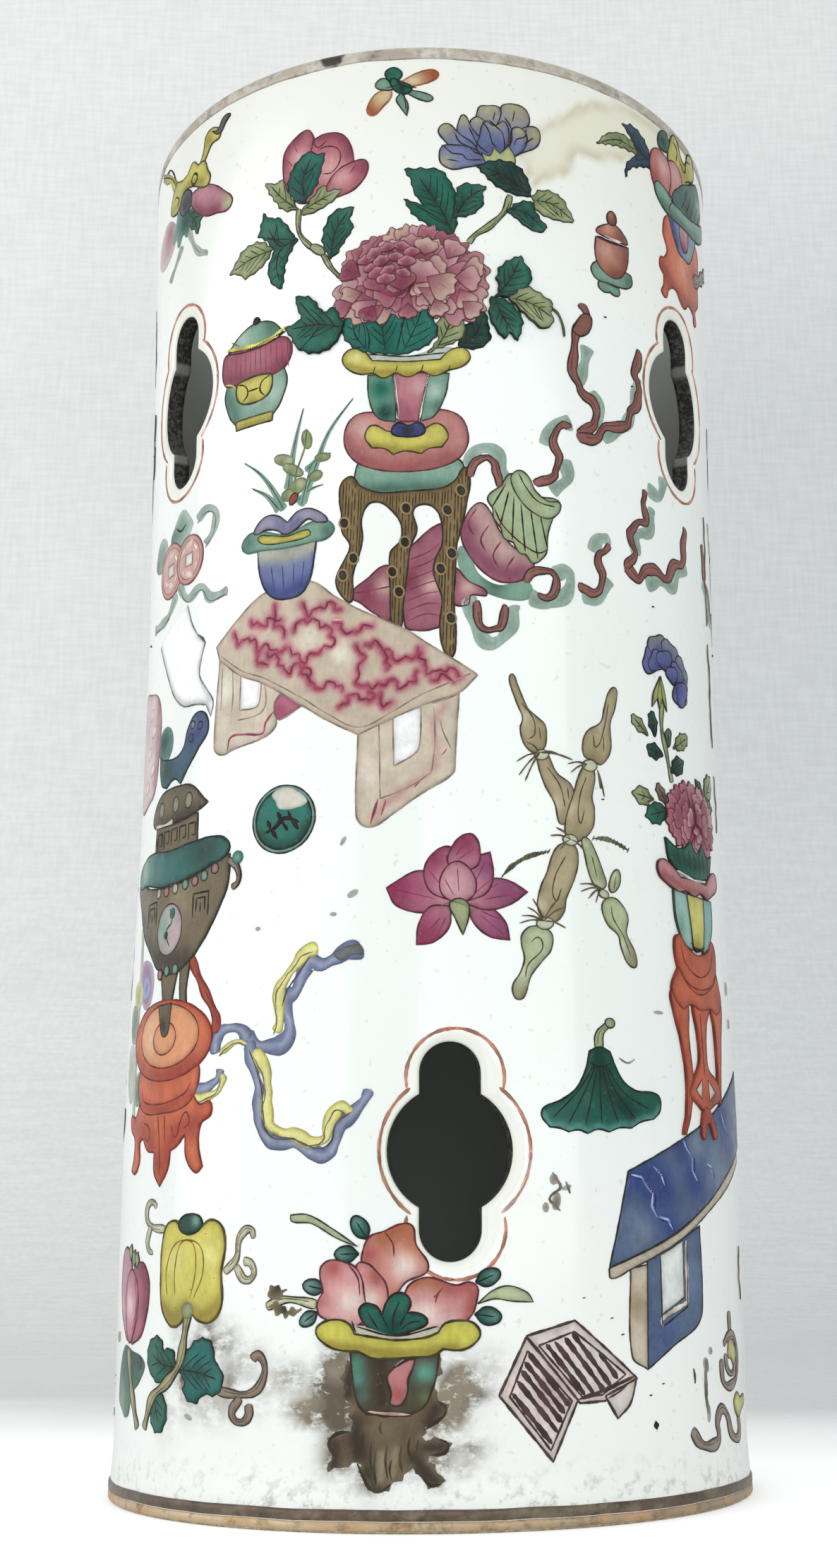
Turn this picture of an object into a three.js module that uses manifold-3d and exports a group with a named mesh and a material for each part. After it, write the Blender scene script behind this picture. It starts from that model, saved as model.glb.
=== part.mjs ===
// A porcelain hat stand: a tall open tube luted together from two thrown sections,
// with a base disc let into its foot, three shaped openings cut through each section,
// gilding on the lip, two bands round the foot and a red line round every opening.
// Lengths are in millimetres and +Z is up. The foot stands on z = 0.
// An angle of 0 faces -Y and grows towards +X.
import * as THREE from 'three';
import { mergeVertices } from 'three/addons/utils/BufferGeometryUtils.js';
import Module from 'manifold-3d';

const wasm = await Module();
wasm.setup();

// the tube, whose outside departs a little from its radius on the way up
const overall_height = 280;
const tube_radius = 61.9;
const belly_swell = 0.3;
const waist_draw = 1;
const shoulder_draw = 0.6;
const rim_flare = 0.7;
const wall = 4;

// the foot ring and the base disc that rests on its ledge
const foot_recess = 5;
const ledge_width = 2.5;
const foot_edge = 0.6;
const base_thickness = 5;
const base_clearance = 0.3;

// the half-lap where the two sections meet, with a ring of slip between them
const joint_height = 140;
const tongue_thickness = 2;
const tongue_height = 5;
const lap_clearance = 0.3;
const slip_thickness = 1;

// the gilding that is folded over the lip
const lip_band_height = 3.2;
const lip_fold_height = 2;
const lip_round = 1.3;
const gilding_thickness = 0.4;
const layer_gap = 0.1;

// the brown band and the gilding under it, both standing proud of the foot
const foot_band_top = 5.2;
const foot_gilding_top = 2.6;
const foot_gilding_bottom = 0.4;
const foot_band_relief = 0.75;
const foot_band_edge = 0.3;

// the openings: a round hole with a narrower lobe above and below it
const lower_aperture_height = 62.3;
const upper_aperture_drop = 64;
const lower_aperture_angles = [3, 123, 243];
const upper_aperture_angles = [-57, 57, 180];
const aperture_radius = 11.1;
const aperture_lobe_radius = 5.45;
const aperture_half_height = 18.8;
const bevel_depth = 1.4;
const bevel_width = 1.7;
const lobe_bevel_width = 2.6;

// the red line round each opening
const line_width = 0.9;
const line_thickness = 0.25;

// how far a cutter runs past what it cuts
const overrun = 5;

// how finely the round shapes are stepped
const around_steps = 60;
const tube_steps = 12;
const corner_steps = 2;
const circle_steps = 7;
const lobe_steps = 6;

const glaze_white = new THREE.MeshStandardMaterial({ color: 0xf1f4f2, roughness: 0.12, metalness: 0 });
const unglazed_white = new THREE.MeshStandardMaterial({ color: 0xe6e1d6, roughness: 0.75, metalness: 0 });
const slip_white = new THREE.MeshStandardMaterial({ color: 0xe9e8e2, roughness: 0.3, metalness: 0 });
const worn_gold = new THREE.MeshStandardMaterial({ color: 0xb9a48c, roughness: 0.45, metalness: 0.3 });
const foot_gold = new THREE.MeshStandardMaterial({ color: 0xc39a5e, roughness: 0.4, metalness: 0.5 });
const foot_brown = new THREE.MeshStandardMaterial({ color: 0x5c5043, roughness: 0.5, metalness: 0 });
const iron_red = new THREE.MeshStandardMaterial({ color: 0xa5674f, roughness: 0.35, metalness: 0 });

// Next, the outside of the tube.
// its radius at the foot, the belly, the waist, the shoulder and the rim, evenly spaced
const stations = [0, belly_swell, -waist_draw, -shoulder_draw, rim_flare].map((step) => tube_radius + step);
const row_height = overall_height / tube_steps;

// a smooth curve through those radii
function smooth_radius(z) {
  const spans = stations.length - 1;
  const place = THREE.MathUtils.clamp(z / overall_height, 0, 1) * spans;
  const i = Math.min(Math.floor(place), spans - 1);
  const t = place - i;
  const a = stations[i];
  const b = stations[i + 1];
  const before = i > 0 ? stations[i - 1] : a + a - b;
  const after = i < spans - 1 ? stations[i + 2] : b + b - a;
  const start_slope = (b - before) / 2;
  const end_slope = (after - a) / 2;
  const rise = b - a;
  return a + t * (start_slope + t * (3 * rise - 2 * start_slope - end_slope
    + t * (start_slope + end_slope - 2 * rise)));
}

// the same curve as the wall really has it, straight from one row to the next
function outer_radius(z) {
  const row = THREE.MathUtils.clamp(Math.floor(z / row_height), 0, tube_steps - 1);
  const low = smooth_radius(row * row_height);
  const high = smooth_radius((row + 1) * row_height);
  return THREE.MathUtils.lerp(low, high, z / row_height - row);
}

function bore_radius(z) {
  return outer_radius(z) - wall;
}

// outline points up the tube between two heights, at a given depth under the surface
function up_the_tube(from, to, depth) {
  const heights = [from];
  for (let row = Math.floor(from / row_height) + 1; row * row_height < to; row++) {
    heights.push(row * row_height);
  }
  heights.push(to);
  return heights.map((z) => new THREE.Vector2(outer_radius(z) - depth, z));
}

// a quarter round between two angles, in degrees, as outline points
function corner(centre_radius, centre_z, size, from, to) {
  const points = [];
  for (let i = 0; i <= corner_steps; i++) {
    const angle = THREE.MathUtils.degToRad(THREE.MathUtils.lerp(from, to, i / corner_steps));
    const out = new THREE.Vector2(Math.cos(angle), Math.sin(angle)).multiplyScalar(size);
    points.push(out.add(new THREE.Vector2(centre_radius, centre_z)));
  }
  return points;
}

// a body turned from a closed outline, with its axis upright
function turned(points) {
  const ring = points[0].x > 0 ? [...points, points[0].clone()] : points;
  return new THREE.LatheGeometry(ring, around_steps).rotateX(Math.PI / 2);
}

// Next, joining and cutting.
function solid_of(geometry) {
  const bare = geometry.clone();
  bare.deleteAttribute('normal');
  bare.deleteAttribute('uv');
  const merged = mergeVertices(bare);
  return new wasm.Manifold(new wasm.Mesh({
    numProp: 3,
    vertProperties: new Float32Array(merged.attributes.position.array),
    triVerts: new Uint32Array(merged.index.array),
  }));
}

function geometry_of(solid) {
  const mesh = solid.getMesh();
  const geometry = new THREE.BufferGeometry();
  geometry.setAttribute('position', new THREE.BufferAttribute(new Float32Array(mesh.vertProperties), 3));
  geometry.setIndex(new THREE.BufferAttribute(new Uint32Array(mesh.triVerts), 1));
  geometry.computeVertexNormals();
  return geometry;
}

// Next, the shape of an opening.
const upper_aperture_height = overall_height - upper_aperture_drop;

// Points are measured along the surface from the opening's centre: across, then up.
function aperture_outline(grow, lobe_grow) {
  const radius = aperture_radius + grow;
  const lobe = aperture_lobe_radius + lobe_grow;
  const lobe_centre = aperture_half_height - aperture_lobe_radius;
  const cusp = Math.acos(lobe / radius);
  const points = [];
  for (const side of [0, 1]) {
    const half_turn = side * Math.PI;
    for (let i = 0; i <= circle_steps; i++) {
      const angle = half_turn + THREE.MathUtils.lerp(-cusp, cusp, i / circle_steps);
      points.push(new THREE.Vector2(radius * Math.cos(angle), radius * Math.sin(angle)));
    }
    for (let i = 0; i <= lobe_steps; i++) {
      const angle = half_turn + Math.PI * i / lobe_steps;
      const centre = side ? -lobe_centre : lobe_centre;
      points.push(new THREE.Vector2(lobe * Math.cos(angle), centre + lobe * Math.sin(angle)));
    }
  }
  return points;
}

// the same outline bent round the tube, at a height above or below its surface
function bent(outline, facing, height, lift) {
  return outline.map((point) => {
    const z = height + point.y;
    const angle = THREE.MathUtils.degToRad(facing) + point.x / outer_radius(height);
    const radius = outer_radius(z) + lift;
    return new THREE.Vector3(radius * Math.sin(angle), -radius * Math.cos(angle), z);
  });
}

// a closed surface through a row of rings, with flat ends or joined round on itself
function lofted(rings, ends) {
  const size = rings[0].length;
  const positions = rings.flat().flatMap((point) => point.toArray());
  const index = [];
  const joins = ends ? rings.length - 1 : rings.length;
  for (let k = 0; k < joins; k++) {
    const low = k * size;
    const high = ((k + 1) % rings.length) * size;
    for (let i = 0; i < size; i++) {
      const next = (i + 1) % size;
      index.push(low + i, low + next, high + next, low + i, high + next, high + i);
    }
  }
  if (ends) {
    const last = (rings.length - 1) * size;
    for (const [a, b, c] of THREE.ShapeUtils.triangulateShape(ends, [])) {
      index.push(c, b, a, last + a, last + b, last + c);
    }
  }
  const geometry = new THREE.BufferGeometry();
  geometry.setAttribute('position', new THREE.Float32BufferAttribute(positions, 3));
  geometry.setIndex(index);
  geometry.computeVertexNormals();
  return geometry;
}

// what is cut away: a straight hole through the wall that opens out in a bevel
function aperture_cutter(facing, height) {
  const hole = aperture_outline(0, 0);
  const widening = (bevel_depth + line_width) / bevel_depth;
  const mouth = aperture_outline(bevel_width * widening, lobe_bevel_width * widening);
  return lofted([
    bent(hole, facing, height, -wall - overrun),
    bent(hole, facing, height, -bevel_depth),
    bent(mouth, facing, height, line_width),
    bent(mouth, facing, height, overrun),
  ], hole);
}

// the red line, lying on the surface along the edge of the bevel
function aperture_line(facing, height) {
  const edge = layer_gap + line_width;
  const inner = aperture_outline(bevel_width + layer_gap, lobe_bevel_width + layer_gap);
  const outer = aperture_outline(bevel_width + edge, lobe_bevel_width + edge);
  const underside = layer_gap;
  const face = layer_gap + line_thickness;
  return lofted([
    bent(inner, facing, height, underside),
    bent(outer, facing, height, underside),
    bent(outer, facing, height, face),
    bent(inner, facing, height, face),
  ], null);
}

function cut_with_apertures(tube, angles, height) {
  let solid = solid_of(tube);
  for (const facing of angles) {
    solid = solid.subtract(solid_of(aperture_cutter(facing, height)));
  }
  return geometry_of(solid);
}

// Next, the lower section, from the foot to the tongue of the joint.
function lower_tube_outline() {
  const ring_radius = bore_radius(0) - ledge_width;
  const joint_bore = bore_radius(joint_height);
  return [
    new THREE.Vector2(ring_radius, 0),
    ...corner(outer_radius(foot_edge) - foot_edge, foot_edge, foot_edge, -90, 0),
    ...up_the_tube(foot_edge, joint_height, 0).slice(1),
    new THREE.Vector2(joint_bore + tongue_thickness, joint_height),
    new THREE.Vector2(joint_bore + tongue_thickness, joint_height + tongue_height),
    new THREE.Vector2(joint_bore, joint_height + tongue_height),
    ...up_the_tube(foot_recess, joint_height, wall).reverse(),
    new THREE.Vector2(ring_radius, foot_recess),
  ];
}

// Next, the upper section, from the rebate over the tongue to the lip.
const upper_start = joint_height + slip_thickness;
const rebate_top = joint_height + tongue_height + lap_clearance;
const rebate_radius = bore_radius(joint_height) + tongue_thickness + lap_clearance;

// the way over the lip from outside to inside, at a depth under the gilded surface
function over_the_lip(depth) {
  const round = lip_round - depth;
  const top = overall_height - lip_round;
  const band_foot = overall_height - lip_band_height;
  const fold_foot = overall_height - lip_fold_height;
  return [
    new THREE.Vector2(outer_radius(band_foot) - depth, band_foot),
    ...corner(outer_radius(top) - lip_round, top, round, 0, 90),
    ...corner(bore_radius(top) + lip_round, top, round, 90, 180),
    new THREE.Vector2(bore_radius(fold_foot) + depth, fold_foot),
  ];
}

function upper_tube_outline() {
  const band_foot = overall_height - lip_band_height - layer_gap;
  const fold_foot = overall_height - lip_fold_height - layer_gap;
  const lip = over_the_lip(gilding_thickness + layer_gap);
  lip[0].y = band_foot;
  lip[lip.length - 1].y = fold_foot;
  return [
    new THREE.Vector2(rebate_radius, upper_start),
    ...up_the_tube(upper_start, band_foot, 0),
    ...lip,
    ...up_the_tube(rebate_top, fold_foot, wall).reverse(),
    new THREE.Vector2(rebate_radius, rebate_top),
  ];
}

// Next, the small pieces.
function slip_outline() {
  return [
    new THREE.Vector2(rebate_radius, joint_height),
    new THREE.Vector2(outer_radius(joint_height), joint_height),
    new THREE.Vector2(outer_radius(upper_start), upper_start),
    new THREE.Vector2(rebate_radius, upper_start),
  ];
}

function base_outline() {
  const radius = bore_radius(foot_recess) - base_clearance;
  const top = foot_recess + base_thickness;
  return [
    new THREE.Vector2(0, foot_recess),
    new THREE.Vector2(radius, foot_recess),
    new THREE.Vector2(radius, top),
    new THREE.Vector2(0, top),
  ];
}

function lip_gilding_outline() {
  return [...over_the_lip(0), ...over_the_lip(gilding_thickness).reverse()];
}

// a band round the foot between two heights, with one rounded edge
function foot_band_outline(bottom, top, rounded_top) {
  const edge = outer_radius(foot_gilding_top) + foot_band_relief;
  const inset = edge - foot_band_edge;
  return [
    new THREE.Vector2(outer_radius(bottom) + layer_gap, bottom),
    ...(rounded_top
      ? [new THREE.Vector2(edge, bottom), ...corner(inset, top - foot_band_edge, foot_band_edge, 0, 90)]
      : [...corner(inset, bottom + foot_band_edge, foot_band_edge, -90, 0), new THREE.Vector2(edge, top)]),
    new THREE.Vector2(outer_radius(top) + layer_gap, top),
  ];
}

// Next, the whole stand.
const group = new THREE.Group();

function add(name, geometry, material) {
  const mesh = new THREE.Mesh(geometry, material);
  mesh.name = name;
  group.add(mesh);
}

const lower_tube = turned(lower_tube_outline());
const upper_tube = turned(upper_tube_outline());
add('lower_tube_section',
  cut_with_apertures(lower_tube, lower_aperture_angles, lower_aperture_height), glaze_white);
add('upper_tube_section',
  cut_with_apertures(upper_tube, upper_aperture_angles, upper_aperture_height), glaze_white);
add('luting_slip_ring', turned(slip_outline()), slip_white);
add('base_disc', turned(base_outline()), unglazed_white);
add('lip_gilding', turned(lip_gilding_outline()), worn_gold);
add('foot_brown_band', turned(foot_band_outline(foot_gilding_top, foot_band_top, true)), foot_brown);
add('foot_gilding', turned(foot_band_outline(foot_gilding_bottom, foot_gilding_top, false)), foot_gold);
lower_aperture_angles.forEach((facing, i) => {
  add(`lower_aperture_line_${i + 1}`, aperture_line(facing, lower_aperture_height), iron_red);
});
upper_aperture_angles.forEach((facing, i) => {
  add(`upper_aperture_line_${i + 1}`, aperture_line(facing, upper_aperture_height), iron_red);
});

export default group;
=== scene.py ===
import math
import random

import bpy
import numpy as np
from mathutils import Matrix, Vector
from mathutils.geometry import delaunay_2d_cdt


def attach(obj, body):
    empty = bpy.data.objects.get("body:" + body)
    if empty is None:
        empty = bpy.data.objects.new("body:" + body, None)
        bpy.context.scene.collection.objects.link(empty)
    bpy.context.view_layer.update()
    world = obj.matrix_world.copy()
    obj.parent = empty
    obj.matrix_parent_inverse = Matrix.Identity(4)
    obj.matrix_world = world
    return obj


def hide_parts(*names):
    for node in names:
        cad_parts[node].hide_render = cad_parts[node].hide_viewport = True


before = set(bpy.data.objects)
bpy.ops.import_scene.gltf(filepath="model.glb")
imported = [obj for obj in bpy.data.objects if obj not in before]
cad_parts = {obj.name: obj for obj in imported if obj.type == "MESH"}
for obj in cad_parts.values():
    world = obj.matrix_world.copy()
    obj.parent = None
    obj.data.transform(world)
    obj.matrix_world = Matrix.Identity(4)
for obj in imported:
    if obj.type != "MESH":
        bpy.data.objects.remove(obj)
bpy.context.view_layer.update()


# Camera and light.
# The stand was taken from a little above its foot, close up, looking slightly upwards. The lens
# axis runs a little right of the stand, so the frame is shifted by a twenty-fifth of its height.
PITCH, YAW = math.radians(13.95), math.radians(1.53)
EYE = (0, -0.3941, 0.0447)
LENS, SENSOR = 43.36, 36
SHIFT = (-0.0406, 0.0011)
NEAREST, FARTHEST = 0.01, 20
ahead = Vector((0, math.cos(PITCH), math.sin(PITCH)))
above = Vector((0, -math.sin(PITCH), math.cos(PITCH)))
side = Vector((1, 0, 0))
ahead, side = ahead * math.cos(YAW) + side * math.sin(YAW), side * math.cos(YAW) - ahead * math.sin(YAW)
camera = bpy.data.objects.new("camera", bpy.data.cameras.new("camera"))
camera.data.lens, camera.data.sensor_width = LENS, SENSOR
camera.data.shift_x, camera.data.shift_y = SHIFT
camera.data.clip_start, camera.data.clip_end = NEAREST, FARTHEST
axes = Matrix((side, above, -ahead)).transposed().to_4x4()
camera.matrix_world = Matrix.Translation(EYE) @ axes
scene = bpy.context.scene
scene.collection.objects.link(camera)
scene.camera = camera
scene.view_settings.view_transform = "Standard"


STAND_MIDDLE = Vector((0, 0, 0.14))


def lamp(name, azimuth, elevation, distance, width, height, power, colour=(1, 1, 1)):
    """A soft rectangular lamp that faces the middle of the stand from the given direction."""
    data = bpy.data.lights.new(name, "AREA")
    data.shape, data.size, data.size_y = "RECTANGLE", width, height
    data.energy, data.color = power, colour
    lit = bpy.data.objects.new(name, data)
    a, e = math.radians(azimuth), math.radians(elevation)
    away = Vector((math.sin(a) * math.cos(e), -math.cos(a) * math.cos(e), math.sin(e)))
    lit.location = STAND_MIDDLE + away * distance
    lit.rotation_euler = away.to_track_quat("Z", "Y").to_euler()
    scene.collection.objects.link(lit)


lamp("window", -66, 6, 1.5, 2.2, 1.6, 15)
lamp("front_bounce", 24, 0, 1.5, 1.6, 1.6, 12.5, (0.97, 1, 0.98))
lamp("ceiling", 0, 88, 1.9, 2.0, 2.0, 7)
scene.world = bpy.data.worlds.new("room")
scene.world.use_nodes = True
sky = scene.world.node_tree.nodes["Background"].inputs
sky["Color"].default_value = (0.76, 0.79, 0.78, 1)
sky["Strength"].default_value = 0.72


# The floor and the backdrop: one off-white woven cloth, mottled in broad grey patches, that lies loose under
# the stand and rises behind it in a curve. Painted light and shade are laid into its colour. The ways to build a
# material come first.
class Nodes:
    """A node tree, of a material or a group, whose sockets are set or joined by name."""

    def __init__(self, name, kind="material"):
        if kind == "material":
            self.owner = bpy.data.materials.new(name)
            self.owner.use_nodes = True
            self.tree = self.owner.node_tree
            self.shader = self.tree.nodes["Principled BSDF"]
        else:
            self.tree = self.owner = bpy.data.node_groups.new(name, kind)

    def add(self, kind, **values):
        """A new node, with its settings and inputs given by name."""
        node = self.tree.nodes.new(kind)
        for key, value in values.items():
            if hasattr(node, key):
                setattr(node, key, value)
            else:
                self.put(node.inputs[key.replace("_", " ").title()], value)
        return node

    def put(self, socket, value):
        """Sets a socket, or joins it to a node or to another socket."""
        if isinstance(value, bpy.types.NodeSocket):
            self.tree.links.new(value, socket)
        elif isinstance(value, bpy.types.Node):
            self.tree.links.new(value.outputs[0], socket)
        else:
            socket.default_value = value

    def mix(self, share, first, second, blend="MIX"):
        node = self.add("ShaderNodeMix", data_type="RGBA", blend_type=blend)
        for i, value in ((0, share), (6, first), (7, second)):
            self.put(node.inputs[i], value)
        return node.outputs[2]

    def maths(self, what, *values):
        node = self.add("ShaderNodeMath", operation=what)
        for i, value in enumerate(values):
            self.put(node.inputs[i], value)
        return node.outputs[0]

    def ramp(self, value, *stops):
        """A ramp of greys through (place, shade) stops."""
        node = self.add("ShaderNodeValToRGB")
        elements = node.color_ramp.elements
        while len(elements) < len(stops):
            elements.new(0.5)
        for element, (place, shade) in zip(elements, stops):
            element.position = place
            element.color = even(shade)
        self.put(node.inputs[0], value)
        return node.outputs[0]

    def use(self, tree, **values):
        """A shared group placed in this tree, with values for its named inputs; gives its output."""
        node = self.add("ShaderNodeGroup", node_tree=tree)
        for key, value in values.items():
            self.put(node.inputs[key], value)
        return node.outputs[0]

    def patches(self, scale, start, full, detail=3, roughness=0.5, stretch=(1, 1, 1)):
        return self.use(PATCHES, Scale=scale, Start=start, Full=full, Detail=detail, Roughness=roughness,
                        Stretch=stretch)

    def relief(self, scale, detail, strength, distance):
        return self.use(RELIEF, Scale=scale, Detail=detail, Strength=strength, Distance=distance)

    def here(self):
        """The object's own coordinates, in metres."""
        return self.add("ShaderNodeTexCoord").outputs["Object"]

    def axis(self, number):
        """One of the object's own coordinates."""
        node = self.add("ShaderNodeSeparateXYZ")
        self.put(node.inputs[0], self.here())
        return node.outputs[number]

    def set(self, **values):
        for key, value in values.items():
            self.put(self.shader.inputs[key.replace("_", " ")], value)
        return self.owner


def rgb(*colour):
    """A colour as the eye reads it, from 0 to 1, turned into light."""
    return (*(v / 12.92 if v <= 0.04045 else ((v + 0.055) / 1.055) ** 2.4 for v in colour), 1)


def even(value):
    """The same value on all three channels."""
    return (value, value, value, 1)


def group(name, kind, inputs, outputs):
    """An empty node group with named sockets, each given as its name, kind and value at rest."""
    nodes = Nodes(name, kind)
    for way, sockets in (("INPUT", inputs), ("OUTPUT", outputs)):
        for title, sort, *value in sockets:
            socket = nodes.tree.interface.new_socket(title, in_out=way, socket_type="NodeSocket" + sort)
            if value:
                socket.default_value = value[0]
    nodes.given = nodes.add("NodeGroupInput").outputs
    nodes.result = nodes.add("NodeGroupOutput").inputs
    return nodes


def shared_noise(g):
    """The noise that the groups start from, over the object's own coordinates."""
    mapping = g.add("ShaderNodeMapping")
    g.put(mapping.inputs["Vector"], g.here())
    if "Stretch" in g.given:
        g.put(mapping.inputs["Scale"], g.given["Stretch"])
    noise = g.add("ShaderNodeTexNoise", roughness=0.5)
    g.put(noise.inputs["Vector"], mapping)
    for name in ("Scale", "Detail", "Roughness"):
        if name in g.given:
            g.put(noise.inputs[name], g.given[name])
    return noise.outputs[0]


def patches_group():
    """Soft-edged patches over the surface: what mottles, streaks, pits, soils and wears it."""
    g = group("patches", "ShaderNodeTree",
              [("Scale", "Float", 100), ("Detail", "Float", 3), ("Roughness", "Float", 0.5),
               ("Stretch", "Vector", (1, 1, 1)), ("Start", "Float", 0.4), ("Full", "Float", 0.7)], [("Mask", "Float")])
    edge = g.add("ShaderNodeMapRange")
    g.put(edge.inputs["Value"], shared_noise(g))
    g.put(edge.inputs["From Min"], g.given["Start"])
    g.put(edge.inputs["From Max"], g.given["Full"])
    g.put(g.result["Mask"], edge)
    return g.tree


PATCHES = patches_group()


def soil_group():
    """Dirt of one colour laid over another colour in patches."""
    g = group("soil", "ShaderNodeTree",
              [("Colour", "Color", (0.8, 0.8, 0.8, 1)), ("Dirt", "Color", (0.2, 0.2, 0.2, 1)), ("Amount", "Float", 0.3),
               ("Scale", "Float", 100), ("Start", "Float", 0.4), ("Full", "Float", 0.7)], [("Colour", "Color")])
    mask = g.use(PATCHES, Scale=g.given["Scale"], Start=g.given["Start"], Full=g.given["Full"], Detail=5,
                 Roughness=0.72)
    g.put(g.result["Colour"], g.mix(g.maths("MULTIPLY", mask, g.given["Amount"]), g.given["Colour"], g.given["Dirt"]))
    return g.tree


SOIL = soil_group()


FLOOR_FRONT, FLOOR_BACK = -1.6, 0.5
CLOTH_CURVE, CLOTH_TOP, CLOTH_HALF_WIDTH = 0.5, 1.8, 2.2


def cloth():
    """The cloth's strip, from the front of the floor over the curve to its top."""
    bends = [t * math.pi / 16 for t in range(1, 9)]
    profile = [(FLOOR_FRONT, 0), (FLOOR_BACK, 0)]
    profile += [(FLOOR_BACK + CLOTH_CURVE * math.sin(t), CLOTH_CURVE - CLOTH_CURVE * math.cos(t)) for t in bends]
    profile += [(FLOOR_BACK + CLOTH_CURVE, CLOTH_TOP)]
    verts = [(x, y, z) for x in (-CLOTH_HALF_WIDTH, CLOTH_HALF_WIDTH) for y, z in profile]
    n = len(profile)
    faces = [(i, i + n, i + n + 1, i + 1) for i in range(n - 1)]
    mesh = bpy.data.meshes.new("cloth")
    mesh.from_pydata(verts, [], faces)
    mesh.polygons.foreach_set("use_smooth", [True] * len(mesh.polygons))
    mat = Nodes("cloth")
    # Painted shade: the cloth greys from left to right, away from the window lamp.
    across = mat.maths("ADD", mat.maths("MULTIPLY", mat.axis(0), 0.9), 0.5)
    base = mat.mix(mat.ramp(across, (0.2, 0), (0.72, 1)), rgb(0.95, 0.95, 0.945), rgb(0.86, 0.87, 0.88))
    base = mat.use(SOIL, Colour=base, Dirt=rgb(0.88, 0.88, 0.88), Amount=0.6, Scale=4, Start=0.3, Full=0.8)
    # Painted light: the upper part of the backdrop is whitened, as if more brightly lit there.
    base = mat.mix(mat.ramp(mat.axis(2), (0.7, 0), (1.0, 0.7)), base, rgb(0.97, 0.97, 0.97))
    weave = mat.mix(0.5, mat.patches(300, 0.35, 0.65, 2, 0.5, (1, 1, 0.12)),
                    mat.patches(300, 0.35, 0.65, 2, 0.5, (0.12, 1, 1)))
    base = mat.mix(weave, mat.mix(1.0, base, even(0.9), "MULTIPLY"), base)
    base = mat.mix(mat.ramp(mat.axis(1), (0.55, 1), (0.75, 0)), base, mat.mix(1.0, base, even(0.95), "MULTIPLY"))
    # Painted light: the floor in front of the stand is whitened and, for camera rays only, made to glow, a pool of
    # light painted on the cloth.
    x_axis = mat.axis(0)
    towards = mat.maths("MULTIPLY_ADD", x_axis, 0.25,
                        mat.maths("MULTIPLY_ADD", mat.patches(6, 0.3, 0.7), 0.05, mat.axis(1)))
    low = mat.ramp(towards, (0.08, 1), (0.25, 0))
    base = mat.mix(low, base, rgb(0.985, 0.985, 0.985))
    seen = mat.add("ShaderNodeLightPath").outputs["Is Camera Ray"]
    mesh.materials.append(mat.set(Base_Color=base, Roughness=0.95, Emission_Color=(1, 1, 1, 1),
                                  Emission_Strength=mat.maths("MULTIPLY", mat.maths("MULTIPLY", seen, low), 0.3)))
    floor = bpy.data.objects.new("cloth", mesh)
    scene.collection.objects.link(floor)


cloth()


# The porcelain tube: both thrown sections and the slip between them under one glaze.
# Places on it are given in millimetres as across (measured round the outside from the front
# line, to the right) and up; a depth is measured inwards from the glaze.
MM = 0.001
TURN = 61.8
TALL = 280
WALL = 4
# The outside radius at five heights, evenly spaced from the foot to the lip.
STATIONS = (61.9, 62.2, 60.9, 61.3, 62.6)
GLAZE_DEPTH = 0.06
LIP_ROUND = 1.3
# Each opening: the way it faces in degrees, its height, and how far its mouth lies off its middle.
OPENINGS = [(3, 62.3, 0.9), (123, 62.3, 0.3), (243, 62.3, -0.2), (-57, 216, 0.2), (57, 216, -0.4), (180, 216, 0)]
# The radii of an opening's round middle and of its lobes, at the cut edge and at the glaze.
HOLE = (11.1, 5.45)
MOUTH = (12.35, 7.2)
LOBE_CENTRE = 13.35
BEVEL_DEPTH = 0.7
COLUMNS = 240
BEVEL_STEPS, LIP_STEPS = 8, 12
# Half the width and half the height of the part of the skin that is fitted round an opening.
WINDOW = (18, 25)
# The way under the foot from inside to outside, as depths and heights.
FOOT_RING = ((6.5, 5), (6.5, 0), (0.6, 0), (0.2, 0.2))


def tube_radius(up):
    """The outside radius at a height: a smooth curve through the five stations, flared at the foot."""
    place = np.clip(np.asarray(up, float) / TALL, 0, 1) * 4
    i = np.minimum(place.astype(int), 3)
    t = place - i
    s = np.array([2 * STATIONS[0] - STATIONS[1], *STATIONS, 2 * STATIONS[4] - STATIONS[3]])
    before, a, b, after = s[i], s[i + 1], s[i + 2], s[i + 3]
    start, end, rise = (b - before) / 2, (after - a) / 2, b - a
    flare = 0.6 * np.exp(-(np.asarray(up, float) / 7) ** 2)
    return flare + a + t * (start + t * (3 * rise - 2 * start - end + t * (start + end - 2 * rise)))


def from_front(facing):
    """How far an opening's middle lies across, from the direction in degrees that it faces."""
    return math.radians(facing if facing < 180 else facing - 360) * TURN


def on_tube(across, up, lift=0):
    """Points in metres from places on the tube, at a height above its glaze."""
    angle = np.asarray(across, float) / TURN
    r = tube_radius(up) + lift
    return np.stack([r * np.sin(angle), -r * np.cos(angle), np.asarray(up, float) + 0 * r], -1) * MM


def opening_outline(round_radius, lobe_radius, steps=26):
    """The outline of an opening, anticlockwise from its lower right cusp, centred on zero."""
    cusp = math.acos(lobe_radius / round_radius)
    points = []
    for half in (0, math.pi):
        for i in range(steps):
            t = half - cusp + 2 * cusp * i / steps
            points.append((round_radius * math.cos(t), round_radius * math.sin(t)))
        centre = LOBE_CENTRE if half == 0 else -LOBE_CENTRE
        edge = round_radius * math.sin(cusp) * (1 if half == 0 else -1)
        x = lobe_radius * (1 if half == 0 else -1)
        points += [(x, edge), (x, (edge + centre) / 2)]
        for i in range(steps + 1):
            t = half + math.pi * i / steps
            points.append((lobe_radius * math.cos(t), centre + lobe_radius * math.sin(t)))
        points.append((-x, (edge + centre) / 2))
    return np.array(points)


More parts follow.
